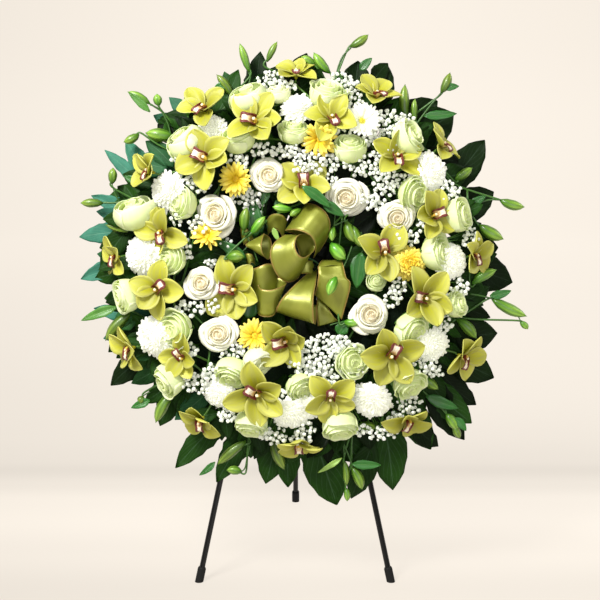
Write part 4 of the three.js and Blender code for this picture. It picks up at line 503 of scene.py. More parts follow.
# ---------------------------------------------------------------- where everything is: millimetres in the leaning plane, x right, y up the slope, h out of the tray's back plane
# blooms: node, name, kind, x, y, h, diameter, azimuth it leans to, inclination, azimuth of an orchid's dorsal sepal, ruffle
BLOOMS = [
    ("lisianthus_stem_1", "P1", "prose", -78.0, 274.9, 97.9, 59.6, 112, 50, 0, 0.15),
    ("lisianthus_stem_1", "P2", "prose", -27.0, 284.0, 94.1, 39.2, 95, 55, 0, 0.3),
    ("lisianthus_stem_2", "P3", "prose", 54.7, 282.5, 96.9, 63.0, 80, 45, 0, 0.6),
    ("lisianthus_stem_3", "P4", "prose", -184.6, 200.8, 102.9, 61.1, 130, 42, 0, 0.2),
    ("lisianthus_stem_1", "P5", "prose", -96.1, 205.2, 113.0, 57.5, 105, 38, 0, 0.3),
    ("lisianthus_stem_1", "P6", "prose", -1.3, 216.9, 113.7, 49.0, 88, 42, 0, 0.7),
    ("lisianthus_stem_3", "P7", "prose", -271.9, 79.1, 99.0, 66.4, 100, 48, 0, 0.2),
    ("lisianthus_stem_3", "P8", "prose", -189.0, 95.1, 113.9, 57.5, 170, 35, 0, 0.8),
    ("lisianthus_stem_4", "P9", "prose", -209.3, 0.4, 114.0, 57.5, 180, 22, 0, 0.9),
    ("lisianthus_stem_4", "P10", "prose", -286.0, -60.4, 94.6, 57.9, 195, 50, 0, 0.3),
    ("lisianthus_stem_4", "P11", "prose", -201.9, -116.0, 112.4, 64.3, 200, 18, 0, 1),
    ("lisianthus_stem_4", "P12", "prose", -213.0, -202.2, 94.0, 58.0, 215, 48, 0, 0.4),
    ("lisianthus_stem_5", "P13", "prose", -106.2, -189.0, 113.7, 57.5, 255, 40, 0, 0.6),
    ("lisianthus_stem_5", "P14", "prose", -62.4, -170.6, 112.6, 50.8, 320, 30, 0, 0.15),
    ("lisianthus_stem_5", "P15", "prose", -74.6, -276.8, 97.5, 56.2, 262, 58, 0, 0.4),
    ("lisianthus_stem_6", "P16", "prose", 8.8, -212.7, 113.9, 52.4, 310, 38, 0, 0.8),
    ("lisianthus_stem_6", "P17", "prose", 96.8, -172.1, 113.9, 59.2, 0, 8, 0, 1),
    ("lisianthus_stem_6", "P18", "prose", 195.0, -116.3, 112.9, 59.2, 325, 38, 0, 0.6),
    ("lisianthus_stem_6", "P19", "prose", 194.4, -208.5, 98.2, 61.3, 300, 42, 0, 0.8),
    ("lisianthus_stem_6", "P20", "prose", 77.0, -280.2, 95.6, 61.3, 277, 60, 0, 0.5),
    ("lisianthus_stem_2", "P21", "prose", 93.4, 188.2, 113.9, 55.8, 92, 40, 0, 0.5),
    ("lisianthus_stem_2", "P22", "prose", 190.9, 208.4, 99.3, 59.5, 30, 45, 0, 0.5),
    ("lisianthus_stem_7", "P23", "prose", 200.0, 112.1, 112.7, 60.9, 340, 28, 0, 0.9),
    ("lisianthus_stem_7", "P24", "prose", 277.0, 75.8, 97.2, 57.9, 12, 48, 0, 0.4),
    ("lisianthus_stem_7", "P25", "prose", 238.7, 12.5, 111.4, 59.3, 5, 45, 0, 0.3),
    ("lisianthus_stem_7", "P26", "prose", 138.3, -36.5, 95.3, 34.1, 90, 6, 0, 0.5),
    ("lisianthus_stem_7", "P27", "prose", 272.9, -75.8, 99.0, 51.0, 15, 48, 0, 0.9),
    ("white_rose_1", "W1", "wrose", -43.7, 142.9, 109.5, 66.1, 100, 8, 0, 0),
    ("white_rose_2", "W2", "wrose", -133.4, 78.4, 111.1, 72.8, 190, 12, 0, 0),
    ("white_rose_3", "W3", "wrose", 86.9, 107.6, 105.4, 69.6, 260, 10, 0, 0),
    ("white_rose_4", "W4", "wrose", 172.9, 71.9, 117.2, 64.2, 270, 10, 0, 0),
    ("white_rose_5", "W5", "wrose", -158.6, -38.5, 113.3, 60.9, 120, 10, 0, 0),
    ("white_rose_6", "W6", "wrose", -128.0, -124.7, 116.2, 67.6, 160, 12, 0, 0),
    ("white_rose_7", "W7", "wrose", 127.6, -92.5, 111.9, 71.1, 60, 10, 0, 0),
    ("white_chrysanthemum_stem_2", "M1", "wmum", -142.4, 225.2, 101.2, 51.0, 130, 32, 0, 0),
    ("white_chrysanthemum_stem_2", "M2", "wmum", -218.2, 119.1, 109.7, 64.4, 175, 32, 0, 0),
    ("white_chrysanthemum_stem_2", "M3", "wmum", -260.8, 9.1, 106.7, 67.8, 185, 34, 0, 0),
    ("white_chrysanthemum_stem_1", "M4", "wmum", 5.5, 260.1, 107.0, 57.7, 92, 36, 0, 0),
    ("white_chrysanthemum_stem_1", "M5", "wmum", 112.3, 232.9, 107.4, 56.0, 60, 22, 0, 0),
    ("white_chrysanthemum_stem_1", "M6", "wmum", 229.8, 153.7, 101.7, 64.6, 25, 28, 0, 0),
    ("white_chrysanthemum_stem_4", "M7", "wmum", 267.3, -1.3, 104.9, 61.1, 5, 34, 0, 0),
    ("white_chrysanthemum_stem_4", "M8", "wmum", 234.9, -145.4, 101.8, 61.2, 320, 34, 0, 0),
    ("white_chrysanthemum_stem_4", "M9", "wmum", 129.4, -240.5, 103.0, 67.9, 255, 34, 0, 0),
    ("white_chrysanthemum_stem_3", "M10", "wmum", -240.2, -130.5, 103.0, 69.6, 200, 34, 0, 0),
    ("white_chrysanthemum_stem_3", "M11", "wmum", -128.8, -228.6, 102.4, 52.7, 245, 30, 0, 0),
    ("white_chrysanthemum_stem_3", "M12", "wmum", -9.8, -262.3, 106.3, 62.8, 262, 40, 0, 0),
    ("white_chrysanthemum_stem_3", "M13", "wmum", 28.9, -250.9, 102.7, 47.6, 290, 36, 0, 0),
    ("yellow_chrysanthemum_stem_1", "Y1", "ymum", -97.8, 137.5, 112.5, 50.8, 200, 15, 0, 0),
    ("yellow_chrysanthemum_2", "Y2", "ymum", 43.1, 208.2, 115.6, 55.8, 250, 28, 0, 0),
    ("yellow_chrysanthemum_stem_1", "Y3", "ymum", -148.9, 37.9, 106.8, 47.5, 90, 30, 0, 0),
    ("yellow_chrysanthemum_3", "Y4", "ymum", 194.4, -4.8, 119.7, 55.7, 0, 4, 0, 0),
    ("yellow_chrysanthemum_4", "Y5", "ymum", -67.5, -130.0, 106.5, 50.9, 100, 18, 0, 0),
    ("cymbidium_spike_2", "O1", "orchid", -152.9, 256.3, 97.2, 88.5, 125, 38, 60, 0),
    ("cymbidium_spike_2", "O2", "orchid", -68.7, 231.3, 121.0, 101.2, 100, 22, 355, 0),
    ("cymbidium_spike_2", "O3", "orchid", -150.7, 170.1, 121.9, 101.2, 140, 18, 335, 0),
    ("cymbidium_spike_2", "O4", "orchid", -242.4, 150.1, 104.1, 81.5, 165, 55, 95, 0),
    ("cymbidium_spike_1", "O5", "orchid", 15.6, 125.0, 99.5, 98.7, 90, 12, 275, 0),
    ("cymbidium_spike_3", "O6", "orchid", -222.4, 45.9, 118.9, 87.8, 190, 30, 115, 0),
    ("cymbidium_spike_3", "O7", "orchid", -304.1, 6.3, 86.0, 75.2, 188, 52, 90, 0),
    ("cymbidium_spike_3", "O8", "orchid", -229.0, -48.7, 120.1, 94.5, 190, 22, 215, 0),
    ("cymbidium_spike_3", "O9", "orchid", -105.2, -46.8, 98.6, 105.5, 250, 10, 350, 0),
    ("cymbidium_spike_3", "O10", "orchid", -278.5, -149.3, 86.0, 85.5, 200, 58, 75, 0),
    ("cymbidium_spike_4", "O11", "orchid", -188.8, -161.5, 113.9, 77.8, 215, 28, 300, 0),
    ("cymbidium_spike_4", "O12", "orchid", -18.0, -134.8, 108.5, 101.7, 270, 14, 10, 0),
    ("cymbidium_spike_4", "O13", "orchid", -63.6, -220.4, 120.8, 104.6, 265, 24, 320, 0),
    ("cymbidium_spike_4", "O14", "orchid", -158.8, -270.7, 86.0, 82.1, 235, 48, 85, 0),
    ("cymbidium_spike_5", "O15", "orchid", 59.9, -229.0, 117.9, 87.8, 270, 26, 265, 0),
    ("cymbidium_spike_5", "O16", "orchid", 160.6, -156.6, 121.2, 104.5, 300, 20, 250, 0),
    ("cymbidium_spike_6", "O17", "orchid", 215.7, -63.7, 121.3, 101.2, 350, 18, 350, 0),
    ("cymbidium_spike_6", "O18", "orchid", 150.2, 13.9, 114.1, 98.1, 0, 8, 285, 0),
    ("cymbidium_spike_1", "O19", "orchid", 62.8, 235.9, 119.6, 87.8, 85, 28, 105, 0),
    ("cymbidium_spike_6", "O20", "orchid", 169.4, 172.8, 114.9, 91.3, 45, 26, 85, 0),
    ("cymbidium_spike_6", "O21", "orchid", 232.0, 74.6, 119.1, 91.2, 20, 28, 200, 0),
    ("cymbidium_spike_6", "O22", "orchid", 248.3, 194.5, 86.0, 78.7, 35, 60, 100, 0),
    ("cymbidium_spike_1", "O23", "orchid", 138.8, 278.3, 86.0, 82.1, 75, 58, 110, 0),
    ("cymbidium_spike_6", "O24", "orchid", 302.7, 8.0, 88.4, 78.6, 0, 52, 95, 0),
    ("cymbidium_spike_5", "O25", "orchid", 284.2, -163.0, 86.0, 88.9, 335, 56, 60, 0),
    ("cymbidium_spike_5", "O26", "orchid", 191.8, -270.7, 86.0, 82.1, 300, 52, 70, 0),
    ("cymbidium_spike_4", "O27", "orchid", 7.1, -310.1, 86.0, 82.1, 268, 58, 90, 0),
    ("cymbidium_spike_1", "O28", "orchid", 2.0, 315.9, 86.0, 75.2, 90, 62, 90, 0),
]
# gypsophila patches: x, y, h and half-extents
GYP = [
    (-42, 308, 90, 24, 15), (-20, 186, 121, 20, 13), (36, 166, 119, 37, 20), (-97, 167, 122, 20, 13), (-163, 132, 122, 20, 17),
    (-84, 109, 109, 27, 14), (-165, 58, 120, 15, 15), (-185, 14, 121, 13, 13), (81, 311, 86, 17, 14), (99, 274, 103, 17, 14),
    (155, 234, 108, 31, 20), (127, 208, 119, 17, 14), (118, 164, 122, 34, 20), (164, 130, 122, 30, 20), (265, 120, 103, 17, 17),
    (127, 102, 117, 14, 14), (191, 37, 122, 20, 13), (300, 40, 96, 14, 17), (174, -47, 120, 13, 20), (286, -43, 104, 14, 14),
    (-177, -81, 122, 24, 13), (-108, -155, 121, 20, 17), (-160, -208, 114, 30, 17), (-110, -264, 106, 20, 14), (-35, -299, 98, 20, 14),
    (7, -174, 119, 20, 13), (59, -172, 121, 57, 44), (16, -288, 105, 17, 14), (251, -104, 111, 17, 14), (216, -174, 110, 24, 17),
    (197, -247, 86, 21, 17), (149, -295, 86, 24, 14), (-55, 186, 122, 17, 12), (9, 153, 115, 15, 12), (-71, 90, 96, 17, 12),
    (-117, 28, 100, 10, 9), (-144, -3, 111, 10, 8), (85, 220, 120, 15, 10), (58, 136, 113, 14, 10), (147, 93, 119, 15, 12),
    (212, 170, 111, 14, 10), (246, 93, 114, 14, 10), (218, 59, 121, 10, 13), (9, 186, 121, 17, 12), (98, 300, 86, 14, 10),
    (-12, 299, 99, 14, 10), (-194, 37, 122, 12, 10), (-227, -67, 120, 12, 10), (-136, -77, 116, 15, 10), (-177, -152, 120, 13, 12),
    (-143, -189, 120, 15, 12), (-84, -152, 119, 14, 10), (-15, -227, 121, 13, 10), (39, -194, 122, 17, 13), (85, -216, 120, 17, 10),
    (9, -306, 94, 17, 10), (111, -289, 91, 15, 10), (173, -272, 86, 15, 10), (241, -190, 94, 14, 10), (164, -67, 120, 12, 13),
    (256, -50, 115, 12, 12), (-197, 170, 115, 12, 10), (-134, 186, 121, 13, 10), (161, 186, 118, 15, 12), (188, 243, 93, 14, 10),
    (-99, -236, 116, 14, 10), (-56, -292, 100, 14, 10), (43, -67, 86, 7, 5), (-200, 68, 122, 12, 10), (73, -143, 117, 20, 14),
    (97, -228, 118, 17, 12),
]
# buds: node, name, base x, y, h, tip x, y, h, width
BUDS = [
    ("lily_bud_stem_1", "B1", -79.3, 327.1, 58, -94.8, 375.1, 60, 12.1),
    ("lily_bud_stem_2", "B2", -48.2, 344.4, 58, -30.9, 378.6, 60, 10.4),
    ("lily_bud_stem_1", "B3", -107.0, 283.8, 58, -134.6, 321.6, 60, 13.8),
    ("lily_bud_stem_1", "B4", -184.8, 251.0, 58, -184.7, 292.2, 60, 13.8),
    ("lily_bud_stem_1", "B5", -235.0, 268.3, 58, -238.2, 288.7, 60, 13.8),
    ("lily_bud_stem_1", "B6", -250.5, 271.7, 58, -288.4, 292.2, 60, 12.1),
    ("lily_bud_stem_1", "B7", -269.6, 219.8, 58, -295.3, 205.8, 60, 13.8),
    ("lily_bud_stem_1", "B8", -209.0, 214.7, 58, -257.3, 221.3, 60, 20.7),
    ("lily_bud_stem_1", "B9", -316.3, 133.4, 58, -314.3, 160.9, 60, 13.8),
    ("lily_bud_stem_1", "B10", -331.8, 100.5, 58, -369.6, 100.4, 60, 13.8),
    ("lily_bud_stem_1", "B11", -262.6, 52.1, 58, -326.4, 62.4, 60, 13.8),
    ("lily_bud_stem_2", "B12", 95.3, 370.3, 58, 126.3, 390.7, 60, 13.8),
    ("lily_bud_stem_2", "B13", 34.8, 337.4, 58, 10.6, 352.7, 60, 13.8),
    ("lily_bud_stem_2", "B14", 60.7, 325.3, 58, 33.0, 359.6, 60, 15.6),
    ("lily_bud_stem_2", "B15", 192.1, 244.1, 58, 190.3, 304.3, 60, 15.6),
    ("lily_bud_stem_2", "B16", 207.7, 238.9, 58, 207.6, 280.1, 60, 10.4),
    ("lily_bud_stem_2", "B17", 252.7, 290.7, 58, 268.0, 325.0, 60, 13.8),
    ("lily_bud_stem_2", "B18", 276.9, 140.3, 58, 306.0, 160.9, 60, 13.8),
    ("lily_bud_stem_2", "B19", 354.7, 105.7, 58, 395.9, 93.5, 60, 15.6),
    ("lily_bud_stem_2", "B20", 318.4, 62.5, 58, 359.6, 38.2, 60, 19.0),
    ("lily_bud_stem_2", "B21", 306.3, -39.5, 58, 347.5, -15.4, 60, 15.6),
    ("lily_bud_stem_4", "B22", 340.9, -65.5, 58, 399.3, -94.9, 60, 17.3),
    ("lily_bud_stem_4", "B23", 389.3, -105.3, 58, 402.8, -117.3, 60, 10.4),
    ("lily_bud_stem_4", "B24", 280.3, -100.1, 58, 313.0, -132.9, 60, 17.3),
    ("lily_bud_stem_4", "B25", 219.8, -198.6, 58, 247.3, -221.0, 60, 15.6),
    ("lily_bud_stem_4", "B26", 261.3, -264.3, 58, 280.1, -291.8, 60, 15.6),
    ("lily_bud_stem_4", "B27", 276.9, -283.4, 58, 285.3, -305.7, 60, 12.1),
    ("lily_bud_stem_4", "B28", 107.4, -285.1, 58, 140.2, -286.7, 60, 15.6),
    ("lily_bud_stem_4", "B29", 98.8, -356.0, 58, 116.0, -393.8, 60, 15.6),
    ("lily_bud_stem_4", "B30", 84.9, -343.9, 58, 88.3, -388.6, 60, 10.4),
    ("lily_bud_stem_4", "B31", 88.4, -392.3, 58, 90.1, -414.5, 60, 10.4),
    ("lily_bud_stem_3", "B32", -283.4, -89.7, 58, -326.4, -136.3, 60, 17.3),
    ("lily_bud_stem_3", "B33", -212.5, -228.0, 58, -240.0, -278.0, 60, 17.3),
    ("lily_bud_stem_3", "B34", -262.6, -233.2, 58, -269.3, -245.2, 60, 12.1),
    ("lily_bud_stem_3", "B35", -84.5, -311.0, 58, -132.8, -350.6, 60, 15.6),
    ("lily_bud_stem_3", "B36", -91.5, -364.6, 58, -117.3, -361.0, 60, 13.8),
    ("lily_bud_stem_3", "B37", -39.6, -305.8, 58, -18.8, -359.2, 60, 17.3),
    ("centre_bud_spray_1", "C1", -86.1, 49.8, 108, -81.0, 88.8, 114, 15.3),
    ("centre_bud_spray_1", "C2", -74.2, 44.7, 108, -50.5, 73.5, 114, 13.6),
    ("centre_bud_spray_1", "C3", -4.7, 87.1, 108, -36.9, 90.4, 114, 13.6),
    ("centre_bud_spray_1", "C4", 10.5, 87.1, 108, -8.1, 75.2, 114, 10.2),
    ("centre_bud_spray_1", "C5", 66.5, 58.2, 108, 63.1, 32.8, 114, 11.9),
    ("centre_bud_spray_1", "C6", 61.4, 29.4, 108, 85.1, 2.3, 114, 20.3),
    ("centre_bud_spray_1", "C7", 86.8, 66.7, 108, 100.4, 31.1, 114, 17.0),
    ("centre_bud_spray_1", "C8", 98.7, 58.2, 108, 113.9, 22.6, 114, 15.3),
    ("centre_bud_spray_1", "C9", 69.9, -28.2, 133, 56.3, -58.7, 136, 15.3),
    ("centre_bud_spray_1", "C10", 83.4, -104.5, 108, 108.9, -106.2, 114, 13.6),
    ("centre_bud_spray_1", "C11", -114.9, 4.0, 108, -86.1, 5.7, 114, 18.6),
]
# cut stems: hub, foot in the foam, and a branch to each bloom or bud
STEMS = {
    "cymbidium_spike_6": ([185, 120, 61], [185, 120, 30], [["O20", [[166, 170, 106], [164, 167, 99], [172, 151, 85], [185, 120, 61]]], ["O21", [[228, 73, 112], [225, 72, 105], [200, 100, 81], [185, 120, 61]]], ["O22", [[242, 190, 82], [235, 185, 77], [197, 163, 81], [172, 151, 85]]], ["O18", [[149, 14, 105], [147, 14, 95], [182, 36, 95], [225, 72, 105]]], ["O24", [[296, 8, 83], [290, 8, 78], [255, 41, 93], [225, 72, 105]]], ["O17", [[213, -63, 112], [209, -62, 99], [185, -31, 97], [147, 14, 95]]]]),
    "cymbidium_spike_3": ([-198, -37, 62], [-198, -37, 30], [["O8", [[-225, -48, 111], [-220, -47, 98], [-212, -46, 82], [-198, -37, 62]]], ["O9", [[-105, -45, 88], [-104, -44, 80], [-155, -41, 71], [-198, -37, 62]]], ["O6", [[-218, 47, 111], [-213, 47, 103], [-219, 1, 89], [-212, -46, 82]]], ["O7", [[-298, 7, 81], [-288, 9, 73], [-265, 6, 76], [-219, 1, 89]]], ["O10", [[-271, -147, 81], [-262, -143, 75], [-239, -97, 87], [-220, -47, 98]]]]),
    "cymbidium_spike_4": ([-112, -193, 60], [-112, -193, 30], [["O13", [[-63, -216, 111], [-63, -213, 104], [-81, -202, 86], [-112, -193, 60]]], ["O14", [[-155, -265, 80], [-151, -259, 73], [-130, -224, 65], [-112, -193, 60]]], ["O11", [[-186, -159, 107], [-182, -157, 99], [-158, -167, 88], [-112, -193, 60]]], ["O12", [[-18, -132, 98], [-18, -130, 89], [-44, -152, 85], [-81, -202, 86]]], ["O27", [[7, -303, 81], [8, -296, 77], [-22, -263, 88], [-63, -213, 104]]]]),
    "lisianthus_stem_6": ([128, -173, 62], [128, -173, 30], [["P17", [[95, -172, 99], [93, -172, 85], [111, -175, 76], [128, -173, 62]]], ["P19", [[189, -199, 87], [185, -192, 77], [156, -179, 67], [128, -173, 62]]], ["P18", [[187, -111, 101], [181, -106, 91], [171, -138, 76], [156, -179, 67]]], ["P20", [[75, -267, 88], [74, -253, 80], [80, -216, 79], [93, -172, 85]]], ["P16", [[4, -206, 103], [0, -202, 97], [33, -209, 84], [80, -216, 79]]]]),
    "lisianthus_stem_7": ([198, -24, 64], [198, -24, 30], [["P25", [[228, 12, 101], [218, 11, 91], [213, -2, 85], [198, -24, 64]]], ["P26", [[138, -37, 87], [138, -39, 76], [166, -32, 71], [198, -24, 64]]], ["P27", [[264, -78, 91], [258, -80, 85], [228, -50, 73], [198, -24, 64]]], ["P24", [[267, 74, 88], [257, 72, 79], [230, 34, 85], [218, 11, 91]]], ["P23", [[193, 115, 99], [189, 116, 90], [201, 84, 83], [230, 34, 85]]]]),
    "cymbidium_spike_1": ([49, 190, 62], [49, 190, 30], [["O19", [[62, 233, 113], [62, 229, 107], [56, 212, 90], [49, 190, 62]]], ["O5", [[16, 123, 89], [16, 121, 82], [32, 147, 74], [49, 190, 62]]], ["O23", [[137, 271, 81], [135, 262, 76], [108, 248, 84], [62, 229, 107]]], ["O28", [[2, 309, 82], [2, 302, 79], [34, 269, 96], [62, 229, 107]]]]),
    "cymbidium_spike_2": ([-103, 193, 59], [-103, 193, 30], [["O2", [[-68, 227, 111], [-67, 223, 100], [-86, 207, 77], [-103, 193, 59]]], ["O3", [[-149, 168, 114], [-146, 166, 103], [-128, 181, 79], [-103, 193, 59]]], ["O1", [[-150, 252, 90], [-147, 247, 83], [-135, 211, 85], [-128, 181, 79]]], ["O4", [[-236, 148, 99], [-229, 147, 95], [-200, 152, 99], [-146, 166, 103]]]]),
    "cymbidium_spike_5": ([166, -138, 62], [166, -138, 30], [["O16", [[159, -153, 111], [157, -151, 102], [163, -143, 83], [166, -138, 62]]], ["O25", [[277, -160, 81], [270, -156, 75], [216, -146, 71], [166, -138, 62]]], ["O26", [[188, -265, 81], [185, -259, 75], [169, -204, 86], [157, -151, 102]]], ["O15", [[60, -225, 110], [60, -222, 104], [112, -216, 96], [169, -204, 86]]]]),
    "lisianthus_stem_1": ([-56, 213, 61], [-56, 213, 30], [["P1", [[-74, 264, 88], [-70, 256, 80], [-65, 234, 74], [-56, 213, 61]]], ["P5", [[-94, 196, 101], [-91, 188, 90], [-64, 207, 68], [-56, 213, 61]]], ["P6", [[-2, 209, 104], [-2, 203, 98], [-20, 206, 87], [-56, 213, 61]]], ["P2", [[-26, 276, 88], [-26, 268, 83], [-44, 264, 85], [-70, 256, 80]]]]),
    "lisianthus_stem_4": ([-212, -58, 60], [-212, -58, 30], [["P10", [[-275, -57, 85], [-264, -54, 75], [-240, -55, 66], [-212, -58, 60]]], ["P11", [[-197, -114, 98], [-193, -113, 84], [-205, -82, 73], [-212, -58, 60]]], ["P9", [[-204, 0, 100], [-200, 0, 91], [-208, -31, 69], [-212, -58, 60]]], ["P12", [[-204, -196, 84], [-199, -193, 79], [-197, -162, 80], [-193, -113, 84]]]]),
    "white_chrysanthemum_stem_3": ([-62, -214, 61], [-62, -214, 30], [["M11", [[-127, -225, 95], [-125, -219, 85], [-92, -216, 72], [-62, -214, 61]]], ["M12", [[-9, -256, 99], [-8, -251, 93], [-35, -233, 75], [-62, -214, 61]]], ["M13", [[27, -247, 97], [26, -242, 90], [10, -250, 90], [-8, -251, 93]]], ["M10", [[-235, -129, 95], [-230, -127, 87], [-182, -169, 86], [-125, -219, 85]]]]),
    "lisianthus_stem_2": ([70, 209, 61], [70, 209, 30], [["P21", [[94, 179, 103], [94, 172, 95], [83, 186, 83], [70, 209, 61]]], ["P3", [[53, 272, 86], [51, 262, 77], [57, 238, 67], [70, 209, 61]]], ["P22", [[182, 203, 88], [174, 199, 80], [143, 189, 89], [94, 172, 95]]]]),
    "lisianthus_stem_3": ([-175, 136, 62], [-175, 136, 30], [["P8", [[-181, 94, 102], [-175, 93, 93], [-176, 110, 81], [-175, 136, 62]]], ["P4", [[-179, 194, 93], [-173, 187, 82], [-175, 168, 73], [-175, 136, 62]]], ["P7", [[-270, 67, 88], [-268, 59, 81], [-211, 82, 85], [-175, 93, 93]]]]),
    "lisianthus_stem_5": ([-82, -195, 63], [-82, -195, 30], [["P13", [[-104, -180, 102], [-101, -171, 92], [-90, -182, 80], [-82, -195, 63]]], ["P14", [[-67, -166, 102], [-70, -164, 95], [-83, -173, 85], [-90, -182, 80]]], ["P15", [[-73, -265, 90], [-72, -255, 84], [-75, -214, 75], [-82, -195, 63]]]]),
    "white_chrysanthemum_stem_1": ([147, 168, 60], [147, 168, 30], [["M5", [[111, 230, 100], [109, 227, 90], [133, 196, 74], [147, 168, 60]]], ["M6", [[226, 152, 93], [221, 150, 83], [173, 162, 65], [147, 168, 60]]], ["M4", [[6, 255, 100], [6, 251, 94], [65, 237, 92], [109, 227, 90]]]]),
    "white_chrysanthemum_stem_2": ([-205, 46, 63], [-205, 46, 30], [["M3", [[-255, 10, 98], [-247, 10, 87], [-223, 32, 73], [-205, 46, 63]]], ["M2", [[-213, 119, 101], [-209, 118, 95], [-210, 89, 81], [-205, 46, 63]]], ["M1", [[-140, 222, 95], [-138, 220, 90], [-179, 164, 91], [-209, 118, 95]]]]),
    "white_chrysanthemum_stem_4": ([159, -155, 60], [159, -155, 30], [["M8", [[231, -142, 94], [225, -138, 84], [195, -148, 74], [159, -155, 60]]], ["M9", [[131, -235, 94], [133, -228, 84], [148, -180, 74], [159, -155, 60]]], ["M7", [[262, -2, 98], [257, -2, 90], [243, -50, 91], [225, -138, 84]]]]),
    "yellow_chrysanthemum_stem_1": ([-130, 132, 61], [-130, 132, 30], [["Y1", [[-96, 138, 105], [-94, 139, 97], [-116, 137, 72], [-130, 132, 61]]], ["Y3", [[-149, 34, 101], [-149, 30, 93], [-139, 81, 74], [-130, 132, 61]]]]),
    "yellow_chrysanthemum_2": ([39, 202, 64], [39, 202, 30], [["Y2", [[44, 211, 109], [46, 216, 101], [43, 210, 89], [39, 202, 64]]]]),
    "yellow_chrysanthemum_3": ([202, -10, 64], [202, -10, 30], [["Y4", [[194, -5, 111], [193, -5, 100], [196, -5, 83], [202, -10, 64]]]]),
    "yellow_chrysanthemum_4": ([-87, -169, 60], [-87, -169, 30], [["Y5", [[-67, -132, 99], [-66, -136, 89], [-76, -158, 74], [-87, -169, 60]]]]),
    "white_rose_1": ([-73, 170, 60], [-73, 170, 30], [["W1", [[-43, 141, 94], [-43, 140, 86], [-55, 153, 79], [-73, 170, 60]]]]),
    "white_rose_2": ([-160, 96, 61], [-160, 96, 30], [["W2", [[-130, 79, 95], [-128, 79, 84], [-146, 91, 74], [-160, 96, 61]]]]),
    "white_rose_3": ([100, 156, 61], [100, 156, 30], [["W3", [[87, 110, 90], [88, 112, 77], [96, 142, 70], [100, 156, 61]]]]),
    "white_rose_4": ([182, 72, 63], [182, 72, 30], [["W4", [[173, 74, 103], [173, 76, 93], [176, 77, 80], [182, 72, 63]]]]),
    "white_rose_5": ([-180, -56, 59], [-180, -56, 30], [["W5", [[-157, -41, 99], [-157, -42, 90], [-168, -51, 72], [-180, -56, 59]]]]),
    "white_rose_6": ([-126, -139, 60], [-126, -139, 30], [["W6", [[-125, -126, 101], [-123, -127, 89], [-125, -131, 74], [-126, -139, 60]]]]),
    "white_rose_7": ([140, -120, 59], [140, -120, 30], [["W7", [[126, -95, 96], [125, -97, 84], [132, -108, 69], [140, -120, 59]]]]),
    "gypsophila_spray_1": ([-204, -63, 61], [-204, -63, 30], [["G7", [[-166, 61, 109], [-166, 61, 104], [-187, -17, 82], [-204, -63, 61]]], ["G22", [[-108, -157, 110], [-108, -157, 102], [-144, -122, 84], [-204, -63, 61]]], ["G23", [[-154, -208, 103], [-154, -208, 94], [-146, -163, 91], [-144, -122, 84]]], ["G5", [[-165, 133, 111], [-165, 133, 105], [-175, 67, 92], [-187, -17, 82]]], ["G4", [[-93, 170, 111], [-93, 170, 103], [-123, 131, 97], [-175, 67, 92]]], ["G25", [[-38, -297, 86], [-38, -297, 81], [-98, -201, 87], [-144, -122, 84]]], ["G2", [[-17, 188, 110], [-17, 188, 100], [-73, 161, 95], [-123, 131, 97]]], ["G1", [[-36, 312, 81], [-36, 312, 75], [-48, 248, 79], [-73, 161, 95]]]]),
    "gypsophila_spray_2": ([202, 46, 62], [202, 46, 30], [["G17", [[192, 34, 111], [192, 34, 100], [198, 39, 74], [202, 46, 62]]], ["G14", [[169, 125, 111], [169, 125, 103], [186, 77, 78], [202, 46, 62]]], ["G15", [[267, 122, 92], [267, 122, 80], [233, 105, 79], [186, 77, 78]]], ["G19", [[173, -46, 110], [173, -46, 105], [186, -16, 98], [198, 39, 74]]], ["G13", [[115, 161, 111], [115, 161, 105], [148, 120, 93], [186, 77, 78]]], ["G29", [[253, -106, 100], [253, -106, 89], [226, -68, 95], [186, -16, 98]]], ["G11", [[161, 235, 97], [161, 235, 88], [154, 164, 90], [148, 120, 93]]], ["G3", [[37, 162, 108], [37, 162, 97], [111, 166, 91], [154, 164, 90]]], ["G27", [[66, -177, 110], [66, -177, 104], [129, -71, 83], [198, 39, 74]]], ["G31", [[192, -245, 81], [192, -245, 75], [159, -178, 79], [129, -71, 83]]], ["G9", [[80, 313, 81], [80, 313, 72], [110, 213, 76], [148, 120, 93]]], ["G32", [[145, -292, 81], [145, -292, 76], [154, -248, 75], [159, -178, 79]]]]),
    "lily_bud_stem_1": ([-185, 120, 58], [-185, 120, 30], [["B8", [[-221, 216, 58], [-201, 213, 58], [-192, 178, 56], [-185, 120, 58]]], ["B11", [[-279, 55, 58], [-258, 51, 58], [-230, 82, 57], [-185, 120, 58]]], ["B7", [[-276, 216, 58], [-267, 222, 58], [-239, 203, 59], [-192, 178, 56]]], ["B4", [[-185, 261, 58], [-185, 246, 58], [-188, 221, 55], [-192, 178, 56]]], ["B9", [[-316, 140, 58], [-317, 129, 58], [-281, 108, 55], [-230, 82, 57]]], ["B10", [[-341, 100, 58], [-329, 101, 58], [-309, 101, 58], [-281, 108, 55]]], ["B5", [[-236, 273, 58], [-234, 265, 58], [-210, 237, 51], [-188, 221, 55]]], ["B6", [[-260, 277, 58], [-244, 268, 58], [-228, 257, 54], [-210, 237, 51]]], ["B3", [[-114, 293, 58], [-105, 281, 58], [-134, 257, 54], [-188, 221, 55]]], ["B1", [[-83, 339, 58], [-77, 321, 58], [-106, 290, 53], [-134, 257, 54]]]]),
